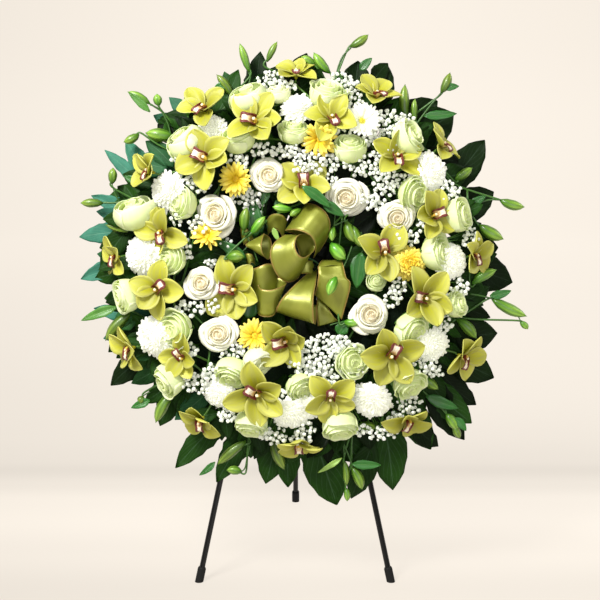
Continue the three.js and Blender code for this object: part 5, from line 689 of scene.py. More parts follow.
    "lily_bud_stem_2": ([109, 196, 57], [109, 196, 30], [["B15", [[192, 259, 58], [192, 235, 58], [164, 220, 55], [109, 196, 57]]], ["B16", [[208, 249, 58], [208, 236, 58], [186, 230, 54], [164, 220, 55]]], ["B14", [[54, 334, 58], [63, 322, 58], [88, 265, 54], [109, 196, 57]]], ["B13", [[29, 341, 58], [37, 336, 58], [62, 301, 56], [88, 265, 54]]], ["B17", [[257, 299, 58], [251, 287, 58], [210, 256, 52], [186, 230, 54]]], ["B12", [[103, 375, 58], [92, 368, 58], [73, 323, 60], [62, 301, 56]]], ["B18", [[284, 145, 58], [275, 139, 58], [229, 190, 59], [186, 230, 54]]], ["B2", [[-44, 353, 58], [-52, 336, 58], [4, 316, 53], [62, 301, 56]]], ["B20", [[329, 56, 58], [316, 64, 58], [271, 136, 56], [229, 190, 59]]], ["B19", [[365, 103, 58], [352, 107, 58], [298, 124, 57], [271, 136, 56]]], ["B21", [[317, -34, 58], [303, -41, 58], [302, 31, 57], [298, 124, 57]]]]),
    "lily_bud_stem_3": ([-167, -148, 57], [-167, -148, 30], [["B33", [[-219, -241, 58], [-208, -220, 58], [-194, -193, 56], [-167, -148, 57]]], ["B34", [[-264, -236, 58], [-259, -226, 57], [-217, -204, 60], [-194, -193, 56]]], ["B32", [[-294, -101, 58], [-281, -87, 58], [-241, -110, 55], [-167, -148, 57]]], ["B35", [[-97, -321, 58], [-78, -306, 58], [-146, -242, 57], [-194, -193, 56]]], ["B37", [[-34, -319, 58], [-42, -299, 58], [-78, -278, 54], [-146, -242, 57]]], ["B36", [[-98, -364, 58], [-85, -366, 57], [-82, -327, 52], [-78, -278, 54]]]]),
    "lily_bud_stem_4": ([108, -158, 60], [108, -158, 30], [["B25", [[227, -204, 58], [213, -193, 58], [174, -180, 61], [108, -158, 60]]], ["B28", [[116, -285, 58], [98, -285, 57], [136, -235, 56], [174, -180, 61]]], ["B24", [[288, -108, 58], [275, -95, 58], [235, -127, 57], [174, -180, 61]]], ["B26", [[265, -270, 58], [257, -258, 58], [224, -227, 55], [174, -180, 61]]], ["B30", [[86, -355, 58], [85, -340, 58], [99, -295, 53], [136, -235, 56]]], ["B29", [[103, -365, 58], [97, -352, 58], [98, -318, 54], [99, -295, 53]]], ["B31", [[89, -398, 58], [88, -387, 58], [97, -354, 53], [98, -318, 54]]], ["B22", [[355, -73, 58], [337, -64, 58], [284, -98, 54], [235, -127, 57]]], ["B23", [[393, -108, 58], [387, -103, 58], [322, -101, 55], [284, -98, 54]]]]),
    "centre_bud_spray_1": ([140, 133, 59], [140, 133, 30], [["C7", [[90, 58, 110], [85, 72, 107], [107, 93, 85], [140, 133, 59]]], ["C5", [[66, 52, 110], [67, 61, 107], [81, 76, 95], [107, 93, 85]]], ["C9", [[66, -36, 110], [71, -25, 107], [74, 14, 98], [81, 76, 95]]], ["C2", [[-68, 52, 110], [-76, 42, 107], [-8, 92, 79], [140, 133, 59]]], ["C1", [[-85, 60, 110], [-87, 43, 107], [-61, 60, 97], [-8, 92, 79]]], ["C10", [[86, -106, 109], [75, -105, 106], [74, -43, 99], [74, 14, 98]]], ["C11", [[-108, 4, 110], [-119, 4, 107], [-88, 35, 103], [-61, 60, 97]]]]),
}
# collar leaves: azimuth of the leaf's middle, layer, and each lobe's tip x, y and width
COLLAR = [
    (8, 0, [(290, -60, 44), (379, -38, 56), (353, 27, 50), (347, 121, 50), (328, 212, 48), (262, 137, 44)]),
    (59.4, 1, [(227, 189, 44), (274, 259, 64), (250, 276, 50), (157, 344, 46), (110, 348, 50), (56, 290, 44)]),
    (110.9, 0, [(-6, 296, 44), (19, 362, 50), (-56, 365, 40), (-122, 331, 36), (-218, 289, 34), (-246, 254, 40), (-192, 225, 44)]),
    (162.3, 1, [(-235, 179, 44), (-291, 212, 34), (-330, 194, 24), (-352, 116, 28), (-344, 86, 30), (-375, 39, 36), (-373, -29, 34), (-296, -10, 44)]),
    (213.7, 0, [(-287, -72, 44), (-349, -78, 30), (-333, -137, 36), (-317, -221, 44), (-279, -210, 36), (-235, -287, 46), (-176, -237, 44)]),
    (265.1, 1, [(-123, -269, 44), (-204, -360, 42), (-136, -383, 42), (-54, -386, 54), (-12, -392, 46), (72, -423, 62), (117, -350, 50), (76, -286, 44)]),
    (316.6, 2, [(134, -264, 44), (166, -397, 54), (236, -325, 46), (307, -278, 46), (344, -205, 52), (351, -121, 56), (271, -119, 44)]),
]
# narrow leaves on the bud stems: node, base, tip, width, tone from near black to pale
NARROW = [
    ("lily_bud_stem_1", (-249.3, 256.4, 70), (-286.7, 290.2, 74), 14, 0.55),
    ("lily_bud_stem_2", (257.7, 299.1, 60), (283.1, 302.0, 64), 14, 0.40),
    ("lily_bud_stem_2", (223.1, 250.7, 60), (279.7, 255.4, 64), 17, 0.35),
    ("lily_bud_stem_1", (-307.4, -79.3, 60), (-369.0, -103.4, 64), 19, 0.55),
    ("lily_bud_stem_4", (226.4, -233.0, 62), (282.9, -253.4, 66), 21, 0.30),
    ("lily_bud_stem_4", (276.5, -270.9, 62), (295.0, -293.0, 66), 16, 0.50),
    ("lily_bud_stem_4", (98.5, -349.9, 66), (148.2, -351.2, 70), 17, 0.50),
    ("lily_bud_stem_4", (81.2, -339.6, 66), (39.8, -365.0, 70), 10, 0.80),
    ("lily_bud_stem_3", (-138.0, -347.1, 60), (-165.4, -369.1, 64), 12, 0.50),
    ("lily_bud_stem_1", (-262.4, 135.0, 60), (-294.8, 146.7, 64), 16, 0.50),
    ("lily_bud_stem_2", (302.4, 95.1, 62), (329.5, 112.1, 66), 16, 0.35),
    ("lily_bud_stem_4", (337.1, -60.3, 60), (372.9, -50.0, 64), 16, 0.40),
    ("lily_bud_stem_3", (-250.3, -240.0, 60), (-282.7, -253.5, 64), 16, 0.50),
    ("lily_bud_stem_2", (112.5, 330.2, 60), (133.1, 350.3, 64), 16, 0.35),
    ("lily_bud_stem_1", (-115.6, 306.0, 60), (-139.5, 298.5, 64), 16, 0.45),
    ("centre_bud_spray_1", (-66.1, 41.8, 96), (-69.4, 102.9, 100), 29, 0.28),
    ("centre_bud_spray_1", (-56.0, 48.8, 92), (-76.3, 92.9, 96), 24, 0.30),
    ("centre_bud_spray_1", (-36.7, 54.4, 118), (-26.6, 32.2, 122), 10, 0.75),
    ("centre_bud_spray_1", (12.2, 123.1, 146), (59.3, 85.8, 150), 19, 0.40),
    ("centre_bud_spray_1", (46.0, 96.6, 138), (83.0, 72.7, 136), 19, 0.40),
    ("centre_bud_spray_1", (112.6, 12.7, 100), (105.6, -46.8, 104), 31, 0.38),
    ("centre_bud_spray_1", (73.5, -125.0, 100), (86.9, -101.2, 104), 24, 0.42),
    ("centre_bud_spray_1", (-83.0, 4.2, 100), (-137.2, 34.7, 104), 20, 0.35),
    ("centre_bud_spray_1", (-93.3, -2.5, 98), (-133.9, 41.5, 102), 17, 0.35),
    ("centre_bud_spray_1", (-45.7, 120.2, 96), (-55.8, 94.4, 100), 15, 0.35),
    ("centre_bud_spray_1", (-79.9, -97.9, 92), (-72.9, -63.8, 96), 27, 0.30),
    ("centre_bud_spray_1", (-32.1, 103.4, 92), (-18.4, 82.7, 96), 17, 0.30),
]
# visible stems: node, points, radius
TWIGS = [
    ("lily_bud_stem_1", [(-79.4, 306.3, 58), (-77.6, 320.1, 58), (-86.3, 344.4, 58), (-94.9, 361.6, 58)], 1.4),
    ("lily_bud_stem_2", [(71.0, 312.9, 60), (74.5, 333.7, 60), (83.1, 354.4, 60), (97.0, 368.2, 60)], 1.5),
    ("lily_bud_stem_2", [(202.4, 226.5, 60), (212.7, 240.4, 60), (233.5, 268.0, 60), (252.5, 290.5, 60)], 1.6),
    ("lily_bud_stem_2", [(288.8, 84.8, 60), (309.5, 96.9, 60), (333.7, 105.6, 60), (356.1, 105.6, 60)], 1.6),
    ("lily_bud_stem_1", [(-281.4, 81.4, 60), (-297.0, 95.2, 60), (-309.1, 112.5, 60), (-316.0, 133.2, 60)], 1.3),
    ("lily_bud_stem_1", [(-212.3, 205.8, 60), (-219.2, 236.9, 60), (-229.6, 257.6, 60), (-236.5, 271.5, 60)], 1.5),
    ("lily_bud_stem_1", [(-229.6, 257.6, 60), (-240.0, 266.3, 60), (-250.3, 269.7, 60)], 1.2),
    ("lily_bud_stem_4", [(72.7, -283.0, 62), (79.6, -305.5, 62), (91.7, -333.1, 62), (100.3, -355.5, 62)], 1.7),
    ("lily_bud_stem_4", [(83.1, -308.9, 62), (84.8, -329.6, 62), (84.8, -346.9, 62)], 1.1),
    ("lily_bud_stem_4", [(84.8, -378.0, 62), (88.3, -384.9, 62), (88.3, -391.8, 62)], 0.9),
    ("lily_bud_stem_3", [(-77.6, -317.8, 60), (-82.7, -340.2, 60), (-86.2, -357.5, 60), (-93.1, -364.4, 60)], 1.3),
    ("lily_bud_stem_4", [(250.7, -240.0, 60), (257.7, -250.4, 60), (262.8, -264.2, 60)], 1.4),
    ("lily_bud_stem_4", [(268.0, -267.6, 60), (274.9, -276.3, 60), (278.4, -284.9, 60)], 1.1),
    ("lily_bud_stem_4", [(302.6, -56.8, 60), (323.3, -60.3, 60), (342.3, -65.5, 60)], 1.6),
    ("lily_bud_stem_4", [(375.2, -81.0, 60), (385.5, -94.9, 60), (390.7, -105.2, 60)], 1.1),
    ("lily_bud_stem_3", [(-250.3, -226.2, 60), (-257.3, -229.6, 60), (-262.4, -233.1, 60)], 1.2),
    ("centre_bud_spray_1", [(46.1, 108.8, 112), (61.3, 97.0, 112), (68.1, 81.7, 112), (66.4, 58.0, 112)], 1.1),
    ("centre_bud_spray_1", [(-86.4, 48.4, 100), (-72.8, 24.6, 100), (-62.6, -2.6, 100)], 1.2),
    ("centre_bud_spray_1", [(96.9, 24.2, 112), (86.7, -2.9, 112), (73.2, -28.3, 112)], 1.1),
    ("centre_bud_spray_1", [(112.6, 48.4, 100), (117.7, 28.0, 100), (112.6, 9.3, 100)], 1.1),
    ("centre_bud_spray_1", [(66.4, 58.1, 110), (80.0, 64.9, 110), (90.1, 68.3, 110)], 1.3),
    ("centre_bud_spray_1", [(59.7, -109.6, 106), (71.6, -106.2, 106), (83.5, -104.5, 106)], 1.0),
    ("centre_bud_spray_1", [(-123.8, -2.6, 100), (-106.8, 7.6, 100), (-86.4, 17.8, 100), (-72.8, 34.8, 100)], 0.9),
    ("centre_bud_spray_1", [(-48.9, 109.4, 104), (-55.7, 82.2, 104), (-45.5, 55.0, 104)], 0.9),
    ("centre_bud_spray_1", [(8.8, 96.1, 100), (2.0, 109.7, 100), (-8.2, 119.9, 100)], 1.0),
]
# the bow: for each loop or tail, whether it is a closed ring, and the two wired edges of the ribbon
BOW = {
    "A": (0, [(-16.3, 50.8, 112), (-9.6, 50.4, 128), (-0.1, 50.4, 139), (12.9, 47.3, 145), (25.0, 41.4, 144), (32.6, 31.9, 136), (35.6, 18.5, 118), (32.0, 4.0, 95)],
        [(17.8, 96.5, 92), (25.3, 95.9, 110), (34.6, 93.2, 122), (46.7, 85.2, 130), (56.1, 73.5, 128), (59.7, 58.9, 120), (54.7, 37.9, 104), (41.7, 15.8, 85)]),
    "A2": (0, [(-16.3, 50.8, 112), (-10.7, 48.4, 102), (1.6, 44.1, 92), (13.0, 31.1, 84)],
        [(17.8, 96.5, 92), (17.8, 86.5, 84), (18.8, 71.5, 78), (20.7, 48.6, 76)]),
    "B": (1, [(-16.2, 42.8, 122), (-33.8, 29.1, 135), (-40.9, 10.2, 140), (-35.7, -13.1, 138), (-23.6, -31.7, 130), (-7.8, -36.7, 116), (9.2, -24.5, 96), (9.2, 8.0, 88), (-0.3, 34.3, 100), (-16.2, 42.8, 122)],
        [(18.6, 44.2, 124), (5.1, 40.3, 143), (-0.1, 24.7, 152), (4.6, 9.8, 153), (13.9, 3.5, 147), (24.2, 8.5, 134), (33.3, 18.5, 116), (34.7, 31.9, 112), (29.0, 41.6, 114), (18.6, 44.2, 124)]),
    "C": (1, [(-82.2, 28.9, 102), (-83.2, 26.4, 106), (-81.2, 23.5, 108), (-78.0, 21.8, 104), (-76.4, 24.6, 94), (-78.7, 28.2, 94), (-82.2, 28.9, 102)],
        [(-52.4, 45.5, 104), (-56.6, 25.8, 122), (-53.9, 9.9, 120), (-44.7, 1.4, 108), (-39.9, 17.4, 94), (-41.8, 37.4, 92), (-52.4, 45.5, 104)]),
    "C2": (0, [(-48.3, 67.9, 92), (-42.0, 75.8, 104), (-32.4, 78.7, 110), (-20.1, 76.2, 106), (-13.2, 66.5, 94)],
        [(-46.3, 44.7, 78), (-39.4, 51.0, 88), (-31.7, 53.6, 92), (-25.1, 48.1, 88), (-20.4, 38.9, 80)]),
    "C3": (0, [(-93.8, 50.0, 88), (-91.2, 57.2, 96), (-82.0, 53.3, 98), (-74.5, 47.4, 94)],
        [(-87.8, 27.2, 86), (-83.1, 30.7, 94), (-76.3, 34.4, 96), (-70.8, 38.4, 92)]),
    "D": (0, [(-78.8, -6.4, 92), (-75.6, -12.4, 108), (-68.0, -14.0, 121), (-56.5, -9.6, 127), (-45.3, -6.2, 124), (-32.4, -8.7, 112), (-25.0, -20.7, 96)],
        [(-74.8, -62.5, 86), (-72.5, -66.0, 98), (-66.5, -67.5, 108), (-56.9, -65.4, 113), (-46.6, -60.7, 110), (-36.3, -54.9, 100), (-30.8, -49.2, 88)]),
    "D2": (0, [(-85.6, 8.9, 92), (-80.9, 11.4, 102), (-73.4, 10.0, 100), (-68.9, 2.2, 92)],
        [(-82.7, -6.3, 88), (-78.6, -8.4, 98), (-72.9, -2.7, 98), (-67.0, -7.3, 90)]),
    "E": (1, [(-61.8, -43.4, 120), (-56.4, -49.1, 130), (-43.2, -51.0, 134), (-28.3, -47.6, 132), (-14.9, -40.9, 122), (-16.4, -32.6, 106), (-36.3, -28.4, 100), (-53.3, -31.3, 106), (-61.8, -43.4, 120)],
        [(-63.2, -89.5, 102), (-57.9, -93.7, 111), (-49.3, -95.4, 115), (-38.0, -93.9, 114), (-31.0, -84.3, 104), (-36.5, -76.8, 90), (-46.1, -74.0, 86), (-57.5, -77.8, 88), (-63.2, -89.5, 102)]),
    "F": (0, [(25.4, -18.8, 96), (3.5, -39.0, 118), (-17.1, -59.8, 130), (-27.4, -74.8, 128), (-31.9, -87.1, 114), (-21.2, -89.5, 98), (-6.1, -91.1, 88)],
        [(37.7, -16.9, 98), (35.2, -38.1, 120), (31.6, -57.0, 136), (30.5, -79.4, 142), (32.9, -105.8, 126), (36.4, -102.3, 108), (37.7, -73.9, 96)]),
    "G": (0, [(39.4, -10.7, 116), (40.1, -25.0, 122), (37.5, -43.7, 116), (33.4, -58.8, 106)],
        [(81.4, -6.8, 112), (86.3, -28.7, 122), (93.6, -43.8, 120), (79.3, -100.1, 104)]),
    "G2": (0, [(39.4, -10.7, 116), (43.3, -2.9, 104), (47.3, 0.4, 90), (43.6, -10.9, 82)],
        [(81.4, -6.8, 112), (80.4, -0.9, 100), (76.0, 1.4, 88), (66.6, -7.0, 80)]),
    "H": (0, [(38.6, -58.7, 90), (37.7, -79.7, 94), (38.9, -94.9, 92), (39.7, -112.1, 86)],
        [(54.9, -77.8, 92), (60.6, -88.2, 94), (66.3, -95.9, 92), (73.1, -102.6, 86)]),
}
# broad leaves at the outside: base, tip, width, tone
OUTER_LEAVES = [(226.5, -215.2, 297.9, -311.0, 48.7, 0.06), (249.2, -189.1, 318.8, -248.3, 41.8, 0.05), (137.7, -311.0, 99.4, -415.5, 52.2, 0.2), (134.2, 309.0, 163.8, 345.5, 31.3, 0.1), (278.8, -119.5, 329.3, -157.8, 41.8, 0.05), (200.4, -276.2, 252.6, -321.5, 38.3, 0.06)]
KNOT = (18.7, -11.2, 96)


# ---------------------------------------------------------------- materials
def lin(h):
    h = h.lstrip("#")
    c = [int(h[i:i + 2], 16) / 255 for i in (0, 2, 4)]
    return tuple(x / 12.92 if x <= 0.04045 else ((x + 0.055) / 1.055) ** 2.4 for x in c) + (1.0,)


class G:
    """a small helper round a material's node tree"""

    def __init__(self, name):
        self.m = bpy.data.materials.new(name)
        self.m.use_nodes = True
        self.nt = self.m.node_tree
        self.b = self.nt.nodes["Principled BSDF"]
        self.out = self.nt.nodes["Material Output"]

    def n(self, kind, **kw):
        x = self.nt.nodes.new(kind)
        for k, v in kw.items():
            setattr(x, k, v)
        return x

    def link(self, a, b):
        self.nt.links.new(a, b)

    def val(self, sock, v):
        if isinstance(v, (int, float)):
            sock.default_value = v
        elif isinstance(v, tuple):
            sock.default_value = v
        else:
            self.link(v, sock)

    def math(self, op, a, b=0.0, c=0.0, clamp=False):
        x = self.n("ShaderNodeMath", operation=op, use_clamp=clamp)
        self.val(x.inputs[0], a)
        self.val(x.inputs[1], b)
        self.val(x.inputs[2], c)
        return x.outputs[0]

    def mix(self, f, a, b, blend="MIX"):
        x = self.n("ShaderNodeMix", data_type="RGBA", blend_type=blend)
        self.val(x.inputs[0], f)
        self.val(x.inputs[6], a)
        self.val(x.inputs[7], b)
        return x.outputs[2]

    def ramp(self, f, stops, smooth=False):
        x = self.n("ShaderNodeValToRGB")
        e = x.color_ramp.elements
        if smooth:
            x.color_ramp.interpolation = "EASE"
        e[0].position, e[0].color = stops[0]
        e[1].position, e[1].color = stops[-1]
        for p, c in stops[1:-1]:
            k = e.new(p)
            k.color = c
        self.val(x.inputs[0], f)
        return x.outputs[0]

    def vec(self, x, y, z):
        v = self.n("ShaderNodeCombineXYZ")
        for s, q in zip(v.inputs, (x, y, z)):
            self.val(s, q)
        return v.outputs[0]

    def noise(self, vec, scale, detail=3.0, rough=0.55):
        x = self.n("ShaderNodeTexNoise")
        self.link(vec, x.inputs["Vector"])
        x.inputs["Scale"].default_value = scale
        x.inputs["Detail"].default_value = detail
        x.inputs["Roughness"].default_value = rough
        return x.outputs["Fac"]

    def pet(self):
        a = self.n("ShaderNodeAttribute", attribute_name="pet")
        s = self.n("ShaderNodeSeparateColor")
        self.link(a.outputs["Color"], s.inputs[0])
        return s.outputs[0], s.outputs[1], s.outputs[2], a.outputs["Alpha"]

    def bump(self, height, strength, dist):
        x = self.n("ShaderNodeBump")
        x.inputs["Strength"].default_value = strength
        x.inputs["Distance"].default_value = dist
        self.link(height, x.inputs["Height"])
        self.link(x.outputs[0], self.b.inputs["Normal"])
        return x.outputs[0]

    def obj(self):
        return self.n("ShaderNodeTexCoord").outputs["Object"]

    def done(self, color, rough=0.5, spec=0.5, sheen=0.0, coat=0.0, trans=0.0, trans_tint=None, metal=0.0, aniso=0.0, normal=None, painted_glow=0.0):
        b = self.b
        if painted_glow:  # painted glow: the petal emits a little light of its own colour, standing in for light scattered inside thin petals
            self.val(b.inputs["Emission Color"], color)
            b.inputs["Emission Strength"].default_value = painted_glow
        self.val(b.inputs["Base Color"], color)
        self.val(b.inputs["Roughness"], rough)
        b.inputs["Specular IOR Level"].default_value = spec
        b.inputs["Sheen Weight"].default_value = sheen
        b.inputs["Coat Weight"].default_value = coat
        b.inputs["Metallic"].default_value = metal
        b.inputs["Anisotropic"].default_value = aniso
        if trans:
            t = self.n("ShaderNodeBsdfTranslucent")
            self.val(t.inputs[0], trans_tint if trans_tint is not None else color)
            if normal is not None:
                self.link(normal, t.inputs["Normal"])
            x = self.n("ShaderNodeMixShader")
            x.inputs[0].default_value = trans
            self.link(b.outputs[0], x.inputs[1])
            self.link(t.outputs[0], x.inputs[2])
            self.link(x.outputs[0], self.out.inputs["Surface"])
        return self.m


def petal_mat(name, base, mid, tip, inner=None, edge=None, trans=0.3, rough=0.52, streak=0.10, streaks=16.0, bump=0.12, jitter=0.12, spec=0.35, layer=None, cells=900.0, tint=None, painted_glow=0.0):
    g = G(name)
    R, A_, B, L = g.pet()
    col = g.ramp(R, [(0.0, lin(base)), (0.45, lin(mid)), (1.0, lin(tip))])
    if inner:  # the small petals at the heart
        f = g.ramp(L, [(0.0, (1, 1, 1, 1)), (0.42, (0, 0, 0, 1))])
        col = g.mix(f, col, lin(inner))
    if layer:  # the outermost petals
        f = g.ramp(L, [(0.62, (0, 0, 0, 1)), (1.0, (1, 1, 1, 1))])
        col = g.mix(f, col, lin(layer))
    # painted highlight: towards their side margins the petals lighten to this colour
    if edge:
        f = g.math("POWER", A_, 4.0)
        col = g.mix(g.math("MULTIPLY", f, 0.6), col, lin(edge))
    seed = g.math("MULTIPLY", B, 37.0)
    v = g.vec(g.math("MULTIPLY", R, 2.2), g.math("MULTIPLY", A_, streaks), seed)
    s = g.noise(v, 1.0, 4.0)
    k = g.math("MULTIPLY_ADD", g.math("SUBTRACT", s, 0.5), streak * 2.0, 1.0)
    jit = g.math("MULTIPLY_ADD", g.math("SUBTRACT", B, 0.5), jitter, 1.0)
    k = g.math("MULTIPLY", k, jit)
    hsv = g.n("ShaderNodeHueSaturation")
    g.link(col, hsv.inputs["Color"])
    g.link(k, hsv.inputs["Value"])
    g.link(g.math("MULTIPLY_ADD", g.math("SUBTRACT", s, 0.5), 0.5, 1.0), hsv.inputs["Saturation"])
    col = hsv.outputs[0]
    fine = g.noise(g.obj(), cells, 2.0)
    nb = g.bump(g.math("ADD", g.math("MULTIPLY", s, 1.0), g.math("MULTIPLY", fine, 0.35)), bump, 0.0006)
    return g.done(col, g.math("MULTIPLY_ADD", fine, 0.18, rough - 0.09), spec=spec, sheen=0.0, trans=trans, trans_tint=lin(tint) if tint else None, normal=nb, painted_glow=painted_glow)


def leaf_mat(name, dark, mid, pale, vein, rough=0.34, spec=0.5, trans=0.10, veins=9.0):
    """green blade: midrib and side veins; tone in the fourth channel goes from near black to pale"""
    g = G(name)
    R, U, B, T = g.pet()
    off = g.math("ABSOLUTE", g.math("SUBTRACT", U, 0.5))
    lobe = g.math("MULTIPLY_ADD", off, -7.0, g.math("MULTIPLY", R, veins))
    w = g.math("ABSOLUTE", g.math("SUBTRACT", g.math("FRACT", lobe), 0.5))
    side = g.ramp(w, [(0.0, (1, 1, 1, 1)), (0.10, (0, 0, 0, 1))], True)
    rib = g.ramp(off, [(0.0, (1, 1, 1, 1)), (0.035, (0, 0, 0, 1))], True)
    vm = g.math("MAXIMUM", g.math("MULTIPLY", side, 0.55), rib)
    col = g.ramp(T, [(0.0, lin(dark)), (0.5, lin(mid)), (1.0, lin(pale))])
    col = g.mix(g.math("MULTIPLY", vm, g.math("MULTIPLY_ADD", T, 0.34, 0.03)), col, g.mix(0.55, col, lin(vein)))
    s = g.noise(g.obj(), 60.0, 4.0)
    k = g.math("MULTIPLY_ADD", g.math("SUBTRACT", s, 0.5), 0.7, g.math("MULTIPLY_ADD", B, 0.24, 0.88))
    hsv = g.n("ShaderNodeHueSaturation")
    g.link(col, hsv.inputs["Color"])
    g.link(k, hsv.inputs["Value"])
    fine = g.noise(g.obj(), 1400.0, 2.0)
    nb = g.bump(g.math("ADD", g.math("MULTIPLY", vm, -1.0), g.math("MULTIPLY", fine, 0.25)), 0.35, 0.0008)
    return g.done(hsv.outputs[0], g.math("MULTIPLY_ADD", s, 0.22, rough - 0.11), spec=spec, coat=0.0, trans=trans, normal=nb)


def bud_mat(name, base, mid, tip, rib):
    g = G(name)
    R, A_, B, T = g.pet()
    col = g.ramp(R, [(0.0, lin(base)), (0.35, lin(mid)), (0.9, lin(tip)), (1.0, lin(mid))])
    # painted shade: each bud darkens towards the rib colour in its six grooves
    col = g.mix(g.math("MULTIPLY", g.math("SUBTRACT", 1.0, A_), 0.65), col, lin(rib))
    v = g.vec(g.math("MULTIPLY", R, 3.0), g.math("MULTIPLY", A_, 9.0), g.math("MULTIPLY", B, 31.0))
    s = g.noise(v, 1.0, 3.0)
    hsv = g.n("ShaderNodeHueSaturation")
    g.link(col, hsv.inputs["Color"])
    g.link(g.math("MULTIPLY_ADD", g.math("SUBTRACT", s, 0.5), 0.3, g.math("MULTIPLY_ADD", B, 0.50, 0.60)), hsv.inputs["Value"])
    g.link(g.math("MULTIPLY_ADD", B, 0.03, 0.485), hsv.inputs["Hue"])
    nb = g.bump(s, 0.15, 0.0005)
    return g.done(hsv.outputs[0], 0.36, spec=0.45, coat=0.08, trans=0.10, normal=nb)


# painted glow on the white roses, lisianthus, chrysanthemums and gypsophila: a small emission that lifts their shade
M_WROSE = petal_mat("white_rose_petal", "#ECEAB4", "#F8F8E6", "#FDFDF5", inner="#FCEFD4", edge="#FFFEFA", trans=0.34, streak=0.02, bump=0.06, jitter=0.04, rough=0.60, spec=0.25, tint="#F8F4D2", painted_glow=0.02)
M_PROSE = petal_mat("pale_green_petal", "#C6D672", "#E6EFB0", "#F6FADA", inner="#EEF4C0", edge="#FAFCE6", trans=0.36, streak=0.04, bump=0.07, jitter=0.06, rough=0.52, spec=0.3, tint="#E4F28C", painted_glow=0.04)
M_PCREAM = petal_mat("cream_green_petal", "#D2DE86", "#F2F6CE", "#FCFDEC", inner="#F4F6D2", edge="#FDFDF2", trans=0.36, streak=0.04, bump=0.07, jitter=0.05, rough=0.54, spec=0.3, tint="#F0F6B8", painted_glow=0.04)
# the orchid tepals darken to olive towards their base: partly their own colour, partly painted shade
M_TEPAL = petal_mat("orchid_petal", "#84801A", "#B9B83C", "#D0D062", trans=0.30, streak=0.20, streaks=7.0, bump=0.14, jitter=0.24, rough=0.46, spec=0.34, edge="#DEDD84", tint="#D2D44A")
M_WMUM = petal_mat("white_chrysanthemum_petal", "#EEF2CC", "#FAFCF0", "#FFFFFC", trans=0.40, streak=0.02, bump=0.05, jitter=0.02, rough=0.64, spec=0.2, tint="#FFFFF4", painted_glow=0.16)
M_YMUM = petal_mat("yellow_chrysanthemum_petal", "#F2CE20", "#FCE64A", "#FFF27C", inner="#F8DA38", trans=0.30, streak=0.05, bump=0.08, jitter=0.08, rough=0.58, spec=0.25, tint="#FFE838")
M_DISC = petal_mat("disc_floret", "#B9B22E", "#D9CC3C", "#E9DE5A", trans=0.1, streak=0.1, jitter=0.3, rough=0.6)
M_YDISC = petal_mat("yellow_disc_floret", "#E0B41A", "#F6D236", "#FCE250", trans=0.1, streak=0.1, jitter=0.3, rough=0.6)
M_GYP = petal_mat("gypsophila_floret", "#BFD09C", "#EEF4DE", "#FDFEFA", trans=0.34, streak=0.02, bump=0.30, jitter=0.02, rough=0.66, spec=0.2, cells=520.0, tint="#FBFFF4", painted_glow=0.05)
M_SEPAL = leaf_mat("sepal", "#162E0C", "#41701C", "#86A840", "#B0CC6E", rough=0.45)
M_LEAF = leaf_mat("leaf", "#020600", "#22470F", "#42806C", "#9CC4A4", rough=0.52, spec=0.10)
M_NARROW = leaf_mat("narrow_leaf", "#0A2A0E", "#246A1C", "#B9DC6A", "#D4EE8F", rough=0.36, veins=0.0)
M_BUD = bud_mat("lily_bud", "#44701C", "#6E982C", "#A2C64E", "#2E5412")
M_CBUD = bud_mat("green_bud", "#477E1C", "#74AE2C", "#AED65E", "#386C14")
M_STEM = leaf_mat("stem", "#1A3C0E", "#34641A", "#5E8C2C", "#7CA848", rough=0.42, veins=0.0)


def lip_mat():
    g = G("orchid_lip")
    R, A_, B, U = g.pet()
    cream = g.ramp(R, [(0.0, lin("#E3B23C")), (0.25, lin("#F0CF86")), (0.5, lin("#F6E9CC")), (1.0, lin("#F8EAD6"))])
    s = g.noise(g.vec(g.math("MULTIPLY", R, 9.0), g.math("MULTIPLY", U, 9.0), g.math("MULTIPLY", B, 29.0)), 1.6, 2.0)
    spots = g.ramp(s, [(0.60, (0, 0, 0, 1)), (0.66, (1, 1, 1, 1))])
    # a crimson border round the front lobe and the side lobes' rims
    d = g.math("MAXIMUM", g.math("MULTIPLY_ADD", A_, 1.0, g.math("MULTIPLY", s, 0.16)), g.math("MULTIPLY_ADD", R, 1.0, g.math("MULTIPLY_ADD", s, 0.12, -0.26)))
    rim = g.ramp(d, [(0.54, (0, 0, 0, 1)), (0.63, (1, 1, 1, 1))])
    front = g.ramp(R, [(0.45, (0.25, 0.25, 0.25, 1)), (0.60, (1, 1, 1, 1))])
    red = lin("#62060A")
    col = g.mix(g.math("MULTIPLY", spots, 0.6), cream, lin("#A83034"))
    col = g.mix(g.math("MULTIPLY", rim, 0.96), col, red)
    nb = g.bump(s, 0.2, 0.0006)
    return g.done(col, 0.45, spec=0.35, trans=0.06, normal=nb)


def column_mat():
    g = G("orchid_column")
    R, A_, B, K = g.pet()
    col = g.ramp(R, [(0.0, lin("#D9C748")), (0.55, lin("#E9C74E")), (0.8, lin("#E8A83A")), (1.0, lin("#F6EBC0"))])
    s = g.noise(g.obj(), 260.0, 3.0)
    col = g.mix(g.ramp(s, [(0.56, (0, 0, 0, 1)), (0.66, (0.55, 0.55, 0.55, 1))]), col, lin("#A8432C"))
    nb = g.bump(s, 0.15, 0.0005)
    return g.done(col, 0.4, spec=0.45, trans=0.08, normal=nb)


M_LIP = lip_mat()
M_COL = column_mat()


